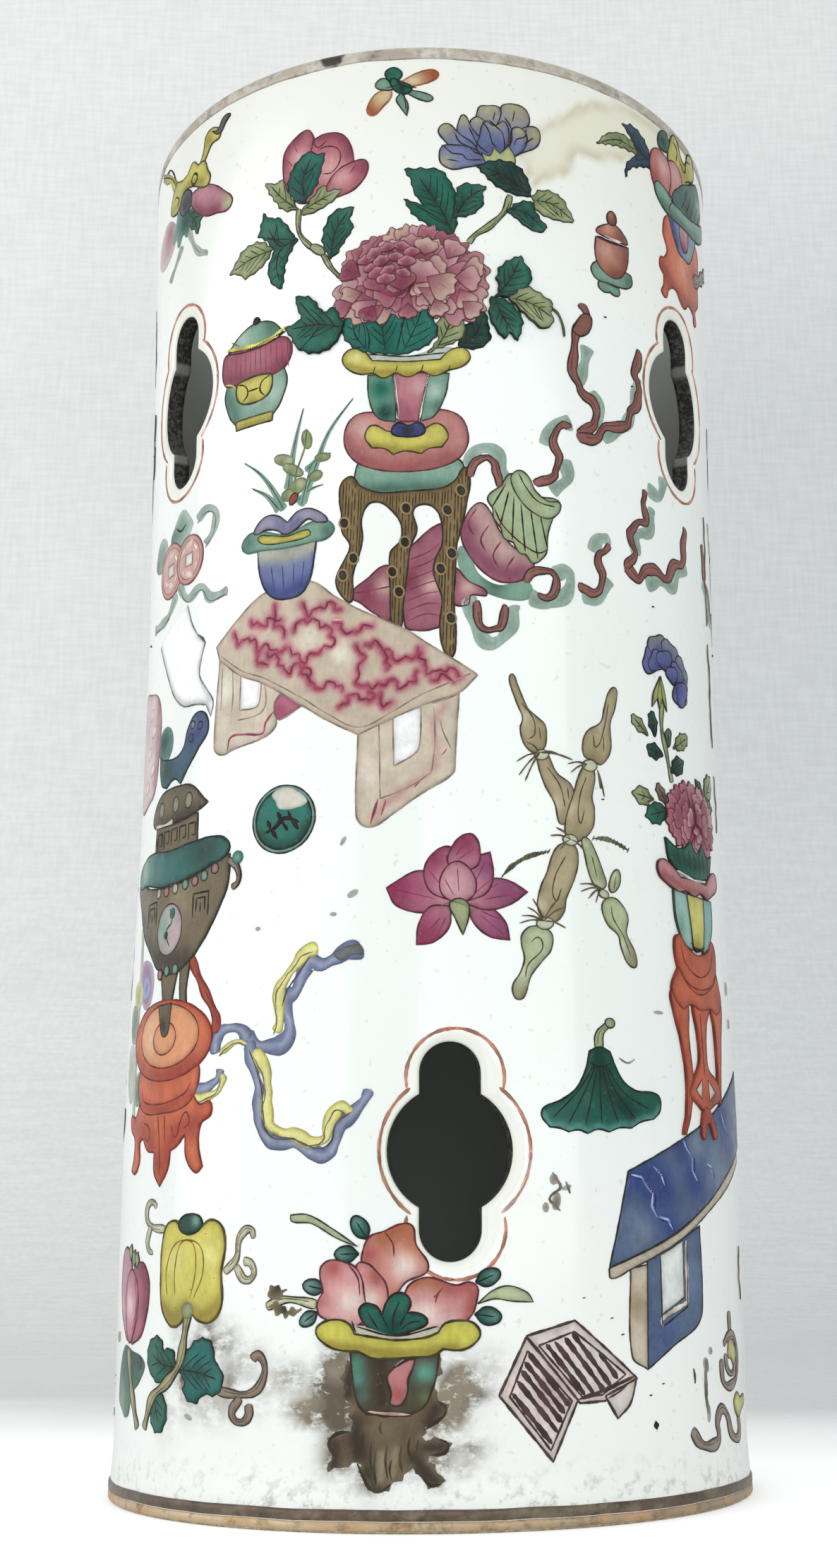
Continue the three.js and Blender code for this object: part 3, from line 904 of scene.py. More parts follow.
class Picture:
    """One painted motif, built up pad over pad and line over line."""

    def __init__(self, seed, across=0):
        self.across = across
        self.verts, self.faces, self.slots, self.tints = [], [], [], []
        self.count, self.level = 0, 0.03
        self.luck = random.Random(seed)

    def lay(self, flat, lifts, faces, tints, slot):
        """Add a small closed body, given flat with the lift of each point over the glaze."""
        self.verts.append(on_tube(self.across + flat[:, 0], flat[:, 1], lifts))
        self.faces += [tuple(self.count + v for v in face) for face in faces]
        self.slots += [slot] * len(faces)
        self.tints.append(tints)
        self.count += len(flat)

    def fill(self, outline, colour, *touches, edge=None, reach=0.7, grain=0.8, slot=0):
        """A pad of enamel inside an outline. A touch is another colour that is worked in: at a
        spot (across, up, radius), along a gradient (from and to), or along a stroke (points, width)."""
        ring = spline(outline, True, min(grain, 0.7))
        low, high = ring.min(0), ring.max(0)
        across, up = np.meshgrid(np.arange(*(low[0], high[0]), grain), np.arange(low[1], high[1], grain * 0.87))
        across = across + (np.arange(len(up)) % 2)[:, None] * grain / 2
        grid = np.stack([across.ravel(), up.ravel()], 1)
        grid = grid[enclosed(grid, ring)]
        grid = grid[gap(grid, ring) > grain * 0.5] if len(grid) else grid
        n = len(ring)
        points = [Vector(p) for p in np.concatenate([ring, grid]).tolist()]
        out = delaunay_2d_cdt(points, [(k, (k + 1) % n) for k in range(n)], [], 0, 1e-4)
        flat, faces = np.array([tuple(v) for v in out[0]]), np.array(out[2])
        faces = faces[enclosed(flat[faces].mean(1), ring)]
        used, faces = np.unique(faces, return_inverse=True)
        flat, faces = flat[used], faces.reshape(-1, 3)
        m = len(flat)
        sides = {tuple(e) for e in np.concatenate([faces[:, [0, 1]], faces[:, [1, 2]], faces[:, [2, 0]]]).tolist()}
        body = faces.tolist() + (faces[:, ::-1] + m).tolist()
        body += [(b, a, a + m, b + m) for a, b in sorted(sides) if (b, a) not in sides]
        tint = np.tile(np.array(colour[:3], float), (m, 1))
        if edge is not None:
            tint += (np.array(edge) - tint) * np.exp(-(gap(flat, ring) / reach) ** 2)[:, None] * 0.8
        for hue, *where in touches:
            if len(where) == 3:
                share = np.exp(-((flat - where[:2]) ** 2).sum(1) / where[2] ** 2)
            elif len(where) == 4:
                start, way = np.array(where[:2]), np.array(where[2:]) - where[:2]
                share = np.clip((flat - start) @ way / (way @ way), 0, 1)
            else:
                share = np.exp(-(gap(flat, spline(where[0])) / where[1]) ** 2)
            share = share * (hue[3] if len(hue) > 3 else 1)
            tint += (np.array(hue[:3]) - tint) * share[:, None]
        self.level += COAT
        lifts = np.concatenate([np.full(m, self.level), np.full(m, PAD_ROOT)])
        self.lay(np.concatenate([flat, flat]), lifts, body, np.concatenate([tint, tint]), slot)

    def line(self, points, width=0.42, colour=INK, closed=False, ends=3.0):
        """A brush line, thinning over its ends and trembling a little in width and tone."""
        path = spline(points, closed, 0.55)
        if closed:
            path = np.concatenate([path, path[:1]])
        away = leftwards(path)
        run = np.concatenate([[0], np.cumsum(np.hypot(*np.diff(path, axis=0).T))])
        phase = self.luck.uniform(0, 6)
        half = width / 2 * (1 + 0.2 * np.sin(run * 1.3 + phase) + 0.12 * np.sin(run * 3.7 + 2 * phase))
        if not closed:
            half = half * np.clip(np.minimum(run, run[-1] - run) / (ends * width) + 0.25, 0.25, 1)
        n = len(path)
        flat = np.concatenate([path + away * (half * k)[:, None] for k in (-1, -0.85, 0.85, 1)])
        lifts = np.repeat([STROKE_ROOT, self.level + STROKE, self.level + STROKE, STROKE_ROOT], n)
        faces = []
        for k in range(4):
            j = (k + 1) % 4
            faces += [(k * n + i, k * n + i + 1, j * n + i + 1, j * n + i) for i in range(n - 1)]
        faces += [(0, n, 2 * n, 3 * n), (4 * n - 1, 3 * n - 1, 2 * n - 1, n - 1)]
        tone = 1 + 0.16 * np.sin(run * 0.9 + 3 * phase)
        tint = np.clip(np.array(colour[:3])[None] * tone[:, None], 0, 1)
        self.lay(flat, lifts, faces, np.tile(tint, (4, 1)), 1)

    def shape(self, outline, colour, *touches, edge=None, ink=None, width=0.32, **more):
        """A pad with a brush line round it."""
        self.fill(outline, colour, *touches, edge=darker(colour, 0.8) if edge is None else edge, **more)
        self.line(outline, width, ink or blend(darker(colour, 0.45), INK, 0.55), True)

    def leaf(self, outline, spine, colour=TEAL, deep=None, pairs=3):
        """A leaf inside an outline, darker along its spine, with a midrib and pairs of veins."""
        deep = deep or darker(colour, 0.6)
        tip, outline = spine[-1], ragged(outline, 0.13)
        self.fill(outline, colour, (deep + (0.75,), spine, 1.3), (paler(colour, 0.25) + (0.5,), *tip[:2], 2.2),
                  edge=deep, reach=0.6)
        self.line(outline, RIB * 0.85, blend(darker(colour, 0.4), INK, 0.4), True)
        self.ribs(outline, spine, pairs)

    def ribs(self, outline, spine, pairs):
        """A midrib with pairs of veins that stop short of the outline."""
        self.line(spine, RIB)
        ring, rib = spline(outline, True), spline(spine)
        for k in range(pairs):
            i = min(int(len(rib) * (0.12 + 0.72 * k / pairs)), len(rib) - 2)
            heading = math.atan2(*(rib[i + 1] - rib[i])[::-1])
            for turn in (-0.75, 0.75):
                ray = [rib[i]]
                for j in range(14):
                    bend = heading + turn * (1 - 0.04 * j)
                    ray.append(ray[-1] + (0.5 * math.cos(bend), 0.5 * math.sin(bend)))
                inside = enclosed(np.array(ray), ring)
                reach = next((j for j in range(1, 15) if not inside[j]), 15)
                if reach > 2:
                    self.line([tuple(p) for p in ray[:max(2, int(reach * 0.85))]], RIB * 0.8)

    def fan(self, x, y, heading, length, spread, colour, deep, bumps=3, ink=ROSE_INK, rays=3, tip=None):
        """A petal that opens from a point like a fan, with a scalloped edge and fine rays."""
        turn, outline = math.radians(heading), [(x, y, 1)]
        spread = math.radians(spread)
        for k in range(2 * bumps + 1):
            u = k / bumps - 1
            r = length * (0.88 + (0.1 if k % 2 else 0) - 0.1 * u * u + self.luck.uniform(-0.03, 0.03))
            outline.append((x + r * math.cos(turn - u * spread), y + r * math.sin(turn - u * spread)))
        self.fill(outline, colour, (deep, x, y, length * 0.72), edge=tip or blend(colour, deep, 0.35),
                  reach=min(0.6, length * 0.16))
        self.line(outline, 0.2 if tip else 0.26, ink, True)
        for k in range(rays):
            a = turn + spread * (1.2 * (k + 0.5) / rays - 0.6)
            near, far = length * 0.3, length * self.luck.uniform(0.6, 0.8)
            self.line([(x + near * math.cos(a), y + near * math.sin(a)),
                       (x + far * math.cos(a), y + far * math.sin(a))], 0.18, blend(deep, colour, 0.35))

    def ribbon(self, path, width, colour, deep=None, ink=INK):
        """A silk ribbon: a band of even width with inked edges and a fold line off its middle."""
        middle = spline(path)
        away, half = leftwards(middle), width / 2 * swollen(middle, 0.25)
        left, right = (middle + away * half)[::2], (middle - away * half)[::2]
        deep = deep or darker(colour, 0.72)
        self.fill([*map(tuple, left), *map(tuple, right[::-1])], colour, edge=deep, reach=width * 0.22, grain=0.6)
        for side in (left, right):
            self.line([tuple(v) for v in side], 0.24, ink)
        self.line([tuple(v) for v in (middle + away * half * 0.25)[2:-2:2]], 0.2, blend(deep, ink, 0.4))

    def dots(self, places, size):
        """Dabs of ink."""
        for x, y in places:
            self.line([(x - size * 0.35, y), (x + size * 0.35, y + size * 0.1)], size, ends=0.4)

    def finish(self, name):
        piece = finish(name, np.concatenate(self.verts), self.faces, ENAMELS, self.slots)
        tints = np.concatenate(self.tints)
        light = np.where(tints <= 0.04045, tints / 12.92, ((tints + 0.055) / 1.055) ** 2.4)
        attribute = piece.data.attributes.new("tint", "FLOAT_COLOR", "POINT")
        attribute.data.foreach_set("color", np.concatenate([light, np.ones((len(light), 1))], 1).ravel())
        return piece


def carrying_tree():
    """Carries a motif round the tube, mirrored if its side is -1, and shifts it unevenly by hand."""
    g = group("carrying", "GeometryNodeTree",
              [("Motif", "Geometry"), ("Turn", "Float", 0.0), ("Side", "Float", 1.0), ("Unevenness", "Float", 0.001),
               ("Seed", "Float", 0.0), ("Enamel", "Material"), ("Ink", "Material")], [("Piece", "Geometry")])
    scale = g.add("ShaderNodeCombineXYZ")
    g.put(scale.inputs["X"], g.given["Side"])
    scale.inputs["Y"].default_value = scale.inputs["Z"].default_value = 1
    turn = g.add("ShaderNodeCombineXYZ")
    g.put(turn.inputs["Z"], g.given["Turn"])
    mirrored = g.add("GeometryNodeTransform")
    g.put(mirrored.inputs["Geometry"], g.given["Motif"])
    g.put(mirrored.inputs["Scale"], scale)
    faces = g.add("GeometryNodeFlipFaces")
    g.put(faces.inputs["Mesh"], mirrored)
    g.put(faces.inputs["Selection"], g.maths("LESS_THAN", g.given["Side"], 0))
    turned = g.add("GeometryNodeTransform")
    g.put(turned.inputs["Geometry"], faces)
    g.put(turned.inputs["Rotation"], turn)
    at = g.add("ShaderNodeSeparateXYZ")
    g.put(at.inputs[0], g.add("GeometryNodeInputPosition"))
    noise = g.add("ShaderNodeTexNoise", noise_dimensions="4D", scale=22, detail=1)
    g.put(noise.inputs["W"], g.given["Seed"])
    drift = g.add("ShaderNodeSeparateXYZ")
    g.put(drift.inputs[0], noise.outputs[1])
    sideways, upwards = (g.maths("MULTIPLY", g.maths("SUBTRACT", drift.outputs[k], 0.5),
                                 g.given["Unevenness"]) for k in (0, 1))
    around = g.maths("DIVIDE", sideways, TURN * MM)
    shift = g.add("ShaderNodeCombineXYZ")
    g.put(shift.inputs["X"], g.maths("MULTIPLY", g.maths("MULTIPLY", at.outputs["Y"], -1), around))
    g.put(shift.inputs["Y"], g.maths("MULTIPLY", at.outputs["X"], around))
    g.put(shift.inputs["Z"], upwards)
    uneven = g.add("GeometryNodeSetPosition")
    g.put(uneven.inputs["Geometry"], turned)
    g.put(uneven.inputs["Offset"], shift)
    whole = g.add("GeometryNodeRealizeInstances")
    g.put(whole.inputs["Geometry"], uneven)
    inked = g.maths("GREATER_THAN", g.add("GeometryNodeInputMaterialIndex").outputs[0], 0.5)
    for title, chosen in (("Enamel", g.maths("SUBTRACT", 1, inked)), ("Ink", inked)):
        dressed = g.add("GeometryNodeSetMaterial")
        g.put(dressed.inputs["Geometry"], whole)
        g.put(dressed.inputs["Selection"], chosen)
        g.put(dressed.inputs["Material"], g.given[title])
        whole = dressed
    g.put(g.result["Piece"], whole)
    return g.tree


CARRYING = carrying_tree()


def paint(name, draw, *places):
    """Draw a motif on the front, and carry copies of it round the tube to the other places, each
    given as how far it is moved across and whether it is mirrored first."""
    picture = Picture(f"{name} 0")
    draw(picture)
    first = picture.finish(f"{name}_1")
    for i, (across, mirrored) in enumerate(places):
        grown(f"{name}_{i + 2}", first.data.copy(), CARRYING, Turn=across / TURN, Side=-1.0 if mirrored else 1.0,
              Unevenness=0.0026, Seed=3.0 + 1.7 * i + len(name), Enamel=ENAMELS[0], Ink=ENAMELS[1])


# The insect under the lip: a teal body, two rust-tipped wings and two smaller celadon ones.
# Thin enamels, dabbed on the fired glaze with a fine brush and melted on in a second firing.
DARK_TEAL, CELADON, RUST = (0.03, 0.24, 0.20), (0.50, 0.64, 0.57), (0.62, 0.33, 0.20)
CREAM = (0.86, 0.78, 0.62)
# Where copies are carried to: how far across, and whether they are mirrored.
RIGHT, LEFT = (135.9, True), (258.9, False)


def insect(p):
    p.shape([(-6.5, 271.5, 1), (-3, 273.6), (0.4, 274.4), (1.4, 273.2), (-0.5, 271.6), (-4, 270.8)], CREAM,
            (RUST, -3.2, 272, 0.2, 273.2), ink=RUST, width=0.3)
    p.shape([(-8, 270.6, 1), (-11.3, 269.3), (-12.9, 266), (-11.6, 264.7), (-9.6, 266.6), (-8, 268.6)], CREAM,
            (RUST, -9.6, 268, -12, 265.6), ink=RUST, width=0.3)
    p.shape([(-5, 270, 1), (-1.5, 269.2), (0.3, 268), (-1, 267.3), (-4.6, 269)], CELADON, width=0.3)
    p.shape([(-7.4, 270.4, 1), (-9.5, 272.8), (-11.2, 271.2), (-8.6, 270)], CELADON, width=0.3)
    p.shape([(-6, 269.4, 1), (-4.7, 266.8), (-4.9, 264.2, 1), (-6.3, 266.4), (-7, 268)], CELADON, width=0.3)
    p.shape([(-9.2, 274.2), (-7.6, 275.1), (-6, 274), (-6.2, 272.6), (-8, 272), (-9, 273)], TEAL, width=0.3)
    p.shape([(-8, 272.6), (-6.4, 272), (-4, 270.6), (-4.6, 269.2), (-6.6, 269.4), (-8, 271)], TEAL,
            (DARK_TEAL, -6, 270.6, 1.2), width=0.35)
    p.line([(-7, 272.5), (-6, 271), (-3, 270.4)], 0.5)
    p.line([(-6.2, 271), (-5.4, 268.4), (-5, 265.4)], 0.3)
    p.line([(-6.6, 271), (-9, 270.6)], 0.35)


paint("insect", insect, RIGHT, LEFT)


# The rose bud on its bent stem, with the leaves below it on the left. The rose enamel is wiped
# thin towards the middle of each petal, and the leaves are washed over their ink.
OLIVE, DARK_OLIVE, DEEP_ROSE = (0.63, 0.67, 0.50), (0.42, 0.47, 0.30), (0.50, 0.21, 0.30)


def bud(p):
    stem, petal, inner = (0.66, 0.66, 0.52), (0.66, 0.38, 0.42), (0.82, 0.62, 0.62)
    p.ribbon([(-27.3, 247), (-27.2, 242), (-25, 238.6), (-22, 236), (-20.3, 233), (-18.2, 230.4)], 0.9, stem,
             DARK_OLIVE)
    p.shape([(-24.6, 238.4), (-22, 237.6), (-21.6, 236), (-23.4, 236.4)], OLIVE, width=0.28)
    p.leaf([(-27.6, 240.3, 1), (-30, 236.4), (-31, 230.6, 1), (-33.2, 232), (-34.4, 235.4), (-33, 239.4, 1),
            (-34.8, 242), (-36.9, 243.6, 1), (-35.6, 248.2, 1), (-33.6, 246.5), (-32.2, 246.4, 1), (-30.4, 244.6),
            (-29, 242.4)], [(-27.8, 240.5), (-31.5, 240), (-34.4, 244.5)], pairs=4)
    p.line([(-31.2, 240), (-32.4, 236), (-31.6, 232.4)], 0.3)
    for u in (238, 236, 234):
        p.line([(-31.9, u), (-33.6, u - 1.2)], 0.24)
        p.line([(-31.9, u), (-30.6, u - 1.4)], 0.24)
    p.leaf([(-33.4, 240, 1), (-36.6, 242.3), (-41, 241.8), (-42.6, 240.2, 1), (-44.7, 237.8, 1), (-42.2, 237),
            (-40.4, 235.4, 1), (-36.6, 236.4), (-34.4, 238.2)], [(-33.6, 239.6), (-38.5, 239.3), (-43.4, 238.2)], OLIVE,
           DARK_OLIVE, 4)
    p.leaf([(-20.5, 234.8, 1), (-22, 239), (-21, 243), (-19.4, 244.9), (-15.4, 245.2, 1), (-16.4, 242.8, 1),
            (-15.5, 240.8, 1), (-17.6, 237.8), (-19.2, 235.4)], [(-20.2, 235.2), (-19.4, 240), (-16.8, 244.2)], pairs=4)
    p.shape([(-24, 261.5, 1), (-21.5, 262.3), (-18, 261.5), (-16.3, 259), (-15.6, 255), (-17, 249), (-23, 248),
             (-28, 249), (-27.4, 256)], petal, (inner, -20.2, 254.6, 3.4),
            (DEEP_ROSE + (0.7,), [(-23, 262), (-18, 261), (-16.4, 257)], 1.3), ink=ROSE_INK, width=0.3)
    p.shape([(-31, 256.4), (-30.5, 260.5), (-28, 263), (-25.3, 264), (-24, 262, 1), (-24.6, 259), (-25.6, 255),
             (-27.4, 251.6), (-30, 252)], petal, (inner, -27.6, 258, 2.6),
            (DEEP_ROSE + (0.7,), [(-31, 257), (-30, 260.6), (-27, 263.2)], 1.1), ink=ROSE_INK, width=0.3)
    p.shape([(-16, 255, 1), (-13.5, 255.3), (-12.6, 254), (-13.5, 251), (-16.5, 248.5), (-21.4, 248.4), (-20.4, 252),
             (-18.4, 254)], petal, (inner, -17.8, 252, 2.2), (DEEP_ROSE + (0.6,), -13.8, 253.6, 1.8), ink=ROSE_INK,
            width=0.3)
    p.line([(-23, 259), (-21, 259.4), (-18.8, 258.4), (-18.3, 256), (-20, 253.5), (-22, 253.5)], 0.3, ROSE_INK)
    p.line([(-24.2, 261.8), (-23.2, 259.6), (-21, 260.8)], 0.3, ROSE_INK)
    for ray in ([(-19, 261), (-18.2, 259)], [(-28.6, 262), (-27.6, 259.4)], [(-30, 258.4), (-28.6, 256.6)],
                [(-15, 254.4), (-16.4, 252.4)]):
        p.line(ray, 0.22, DEEP_ROSE)
    p.leaf([(-26, 248, 1), (-28.5, 249.5), (-29.8, 252.5), (-28.8, 256), (-27, 258), (-25.3, 259), (-23, 258, 1),
            (-21.5, 258, 1), (-22.5, 254), (-23.5, 251)], [(-26, 249), (-26.4, 253), (-24.6, 257.6)],
           (0.10, 0.38, 0.33), DARK_TEAL, 3)
    p.leaf([(-27.5, 247, 1), (-30.5, 247.5), (-33, 250.5), (-34.5, 253), (-35.3, 255, 1), (-33, 254), (-31, 254.5, 1),
            (-29.8, 251.5)], [(-28, 247.4), (-31, 250.2), (-34, 254)], (0.68, 0.71, 0.54), DARK_OLIVE, 3)
    p.leaf([(-26, 247, 1), (-23, 250), (-22, 251), (-21, 249.5, 1), (-18, 249.5, 1), (-19.5, 247.5), (-24, 245.5),
            (-26.8, 245.8)], [(-26, 246.6), (-23.2, 247.6), (-19.4, 249)], OLIVE, DARK_OLIVE, 3)


paint("rose_bud", bud, RIGHT, LEFT)


# The lidded jar on the left: celadon, with a magenta shoulder and a yellow coin on its front.
# Enamel on the glaze; the fluting of the shoulder is fine strokes of rose over a lighter wash.
DARK_CELADON, YELLOW, DARK_YELLOW = (0.30, 0.44, 0.39), (0.80, 0.76, 0.38), (0.60, 0.54, 0.22)
ROSE = (0.68, 0.43, 0.47)


def pot(axis, *profile):
    """The outline of a pot from its left half, given as (half width, up) from top to bottom."""
    return [(axis - p[0], *p[1:]) for p in profile] + [(axis + p[0], *p[1:]) for p in profile[::-1]]


def jar(p):
    p.shape(pot(-37.6, (6.6, 215, 1), (8, 211), (6.6, 206.5), (5, 204.4, 1)), CELADON,
            (DARK_CELADON, [(-45, 211), (-42, 205.5)], 1.6), (paler(CELADON), -33, 209, 3))
    p.shape(pot(-37.6, (4.8, 204.9, 1), (4.6, 203, 1)), YELLOW, (DARK_YELLOW, [(-42, 203.4), (-33, 203.4)], 0.6))
    p.shape([(-45.4, 220.2), (-46.5, 217), (-45.6, 213.6), (-43, 212.8), (-37, 212.2), (-31, 213.2), (-28.8, 215.6),
             (-28.8, 218.4), (-30.6, 220.2), (-37.6, 219.4)], (0.60, 0.30, 0.38), (ROSE, -37, 217, 4),
            (DEEP_ROSE, [(-46, 215), (-37, 213), (-29.4, 215)], 1.2), ink=ROSE_INK)
    for k in range(13):
        x = -45 + k * 1.28
        p.line([(x, 219.4), (x + (x + 37.6) * 0.04, 213.6)], 0.24, blend(DEEP_ROSE, ROSE, 0.3))
    p.shape([(-44.9, 220.6, 1), (-41, 223.6), (-37, 224.8), (-33, 223.8), (-30.6, 221.2, 1), (-37.6, 219.8)], CELADON,
            (DARK_CELADON, -33, 223, 3), (paler(CELADON, 0.4), -41, 222.4, 2))
    p.line([(-45.2, 221.2), (-40, 220.2), (-34, 220.4), (-30, 222.2)], 0.9, YELLOW)
    p.line([(-45.4, 220.2), (-40, 219.3), (-34, 219.6), (-29.8, 221.4)], 0.3)
    p.line([(-44, 222.6), (-41.6, 221)], 0.5, DARK_YELLOW)
    p.shape([(-38, 224.8), (-37.2, 226), (-36.4, 224.8)], INK, width=0.3)
    p.shape([(-42.4, 211.4), (-41.6, 213), (-33.6, 213), (-33, 211), (-34.2, 208.6), (-38, 207.8), (-41.4, 208.8)],
            YELLOW, (DARK_YELLOW, -38, 208, 1.6), width=0.45)
    p.line([(-41.9, 212.8), (-39.8, 211.8), (-39.2, 210), (-40.6, 208.6)], 0.4)
    p.line([(-33.4, 212.8), (-35.6, 211.8), (-36, 210), (-34.8, 208.6)], 0.4)
    p.line([(-39.3, 210.6), (-36, 210.6)], 0.4)
    p.line([(-45.6, 213.8), (-43.4, 213), (-42.2, 211.6)], 0.4, YELLOW)


paint("lidded_jar", jar, LEFT)


# The great peony in its leaves, over the yellow rim of the flower bowl. Its petals are opaque
# rose enamel, laid one over another from the rim inwards, each with a pale scalloped edge.
def blossom(p, x, y, rim, colour, deep, pale, cream, ink=ROSE_INK):
    """A full flower: rings of scalloped petals from the tips on its rim inwards to its heart."""
    p.fill([(x + (a - x) * 0.9, y + (b - y) * 0.9) for a, b in rim], deep)
    for ring, (reach, spread, every) in enumerate(((1.0, 21, 1), (0.80, 30, 2), (0.58, 36, 3), (0.36, 44, 5))):
        for k, (a, b) in list(enumerate(rim))[ring % 2::every]:
            after = rim[(k + 1) % len(rim)]
            a, b = blend((a, b), after, 0.5 * (ring % 2))
            a, b = a - x, b - y
            t, length = math.atan2(b, a) + p.luck.uniform(-0.08, 0.08), math.hypot(a, b) * reach
            share = (0.30, 0.36, 0.3, 0.1)[ring]
            light = p.luck.random() < (0.7 if a > 0 else 0.3)
            if light:
                shades = (cream, pale, blend(colour, pale, 0.6))
            else:
                shades = (colour, blend(colour, pale, 0.4), blend(colour, deep, 0.5))
            shade = p.luck.choice(shades)
            p.fan(x + length * share * math.cos(t), y + length * share * math.sin(t), math.degrees(t),
                  length * (1 - share) * 1.02, spread + p.luck.uniform(0, 8), shade,
                  blend(deep, colour, p.luck.uniform(0, 0.4)), ink=ink, rays=1, tip=blend(shade, cream, 0.5))


def great_peony(p):
    p.leaf([(3.4, 238.4, 1), (0, 240), (-3.4, 242.4), (-5.5, 246, 1), (-3, 245), (-1.5, 244.5, 1), (-3.5, 247.5),
            (-4, 250), (-5.5, 252.5, 1), (-3, 252.5), (-0.5, 252.5), (2, 252), (4.5, 248, 1), (5, 243), (4.6, 239.4)],
           [(4, 239), (1.6, 244), (-2.4, 250.4)], pairs=5)
    p.line([(3.4, 240.4), (0, 242.6), (-3.6, 244.8)], 0.3)
    p.leaf([(4.4, 242, 1), (4.6, 246.4), (5.5, 249), (7, 249.5), (10.8, 249.3, 1), (10, 247.6, 1), (10.3, 245.5, 1),
            (8, 243)], [(4.8, 242.6), (6.8, 246), (10, 248.6)], pairs=3)
    rose, deep, pale = (0.66, 0.41, 0.46), (0.48, 0.20, 0.29), (0.84, 0.70, 0.69)
    cream, ink = (0.83, 0.76, 0.67), (0.40, 0.20, 0.24)
    rim = [(-19.4, 222.8), (-18.6, 228.3), (-18.4, 232.3), (-16.2, 234.8), (-13.6, 237), (-10.8, 238.2), (-8, 239.8),
           (-4.8, 240.6), (-1.8, 240.6), (1.2, 239.8), (4.2, 238.6), (6.8, 237), (7.6, 233.6), (11.4, 231.2),
           (11.2, 227.4), (11, 223.6), (7.6, 220.6), (3, 221.4), (-2.2, 221.6), (-7, 220.6), (-12.6, 220.4), (-17, 221)]
    blossom(p, -3.6, 229.4, rim, rose, deep, pale, cream, ink)
    for x, y, heading, length, spread, colour in ((-14, 230, 150, 4.6, 40, deep), (-13.6, 226.4, 190, 4.6, 36, cream),
                                                  (-10.6, 224.6, 215, 5.6, 34, pale), (3, 226, 350, 4.6, 44, rose),
                                                  (5.4, 226.6, 300, 4.6, 40, cream), (-2.6, 226.8, 330, 6.4, 26, cream),
                                                  (5.6, 230.4, 20, 5, 34, cream), (-1.4, 233.6, 80, 4, 50, cream),
                                                  (3, 233, 60, 4.6, 40, pale), (-3, 227.6, 60, 5.6, 48, pale),
                                                  (-9.4, 226, 120, 5, 40, rose), (-1, 229, 330, 6.4, 40, cream),
                                                  (4.4, 229, 0, 5.4, 40, pale), (-15.6, 224.4, 200, 4, 40, rose),
                                                  (-11.4, 223.4, 240, 3.6, 44, deep), (-4.6, 223.6, 270, 3.6, 40, rose),
                                                  (0.6, 224.4, 290, 4, 40, cream), (6, 224, 320, 4.4, 40, cream),
                                                  (-5.6, 226, 95, 4.6, 50, blend(rose, deep))):
        p.fan(x, y, heading, length, spread, colour, blend(deep, colour, 0.2), rays=1, ink=ink,
              tip=blend(colour, cream, 0.5))
    for x, y in ((-12.6, 233.2), (-10.6, 234.6), (-8.4, 235.6), (-6, 235.6), (-3.8, 234.4), (-11.6, 231.4),
                 (-9.4, 232.8), (-7, 233.4), (-4.8, 232.2), (-10.2, 230), (-8, 230.8), (-5.8, 230), (-8.8, 228.6)):
        p.fan(x, y - 1, p.luck.uniform(60, 130), p.luck.uniform(2.1, 2.9), 66, rose, deep, rays=0, ink=ink,
              tip=(0.88, 0.77, 0.75))
    p.line([(-10.4, 226.6), (-7.6, 225.4), (-4.4, 226.2)], 0.9, deep)
    p.leaf([(12.4, 225.6, 1), (13.3, 227.3), (12.8, 229.7), (13.3, 231.7, 1), (14.7, 233.3), (17.7, 235, 1),
            (18.3, 233.7), (19.7, 232, 1), (19.7, 229.7), (18, 227.7), (15.7, 226.3)],
           [(12.8, 226), (15.4, 229.6), (17.4, 234)], pairs=4)
    p.leaf([(15.4, 225.8, 1), (18.6, 228.4), (21.6, 227.6), (24.4, 226, 1), (24, 224), (24.6, 222.2, 1), (22.4, 220.4),
            (19.6, 222), (17, 224)], [(15.8, 225.6), (20, 225), (24, 223)], OLIVE, DARK_OLIVE, 4)
    p.line([(23.4, 225.4), (25.4, 224.4), (26.6, 222), (27, 219.6)], 0.28, (0.36, 0.36, 0.28))
    p.leaf([(11.7, 225.3, 1), (14.7, 225), (17.7, 222), (17.8, 220), (17, 217, 1), (15.3, 218.5, 1), (14.3, 217, 1),
            (12.7, 218.7), (11.3, 221.7)], [(12.4, 225), (13.8, 221.6), (16.2, 218.2)], pairs=4)
    p.leaf([(-17.5, 220.4, 1), (-19.2, 224, 1), (-21.6, 223.4), (-24.2, 226.8), (-27.6, 227.8, 1), (-27, 225, 1),
            (-26.4, 222.8), (-30, 221.4, 1), (-28.6, 219.6), (-27.4, 217, 1), (-24, 215.2), (-20.4, 215.6),
            (-18.4, 217.6)], [(-18, 219.6), (-22.6, 220.8), (-28.4, 221)], pairs=4)
    p.line([(-22, 220.6), (-24.4, 223.4), (-26.6, 226.4)], 0.3)
    p.line([(-22, 220.6), (-24.4, 218), (-26.4, 216.4)], 0.3)


paint("great_peony", great_peony, RIGHT, LEFT)


# The flower bowl: a teal calyx of leaves in a yellow scalloped rim, a panelled body on a blue
# knob, and the salmon, yellow and celadon dish that it stands in. Flat washes of enamel inside
# inked outlines, with a darker tone worked in along the lower edges.
PALE_ROSE, SALMON, DEEP_SALMON = (0.80, 0.64, 0.64), (0.73, 0.49, 0.47), (0.60, 0.34, 0.34)
DEEP_BLUE = (0.22, 0.26, 0.48)


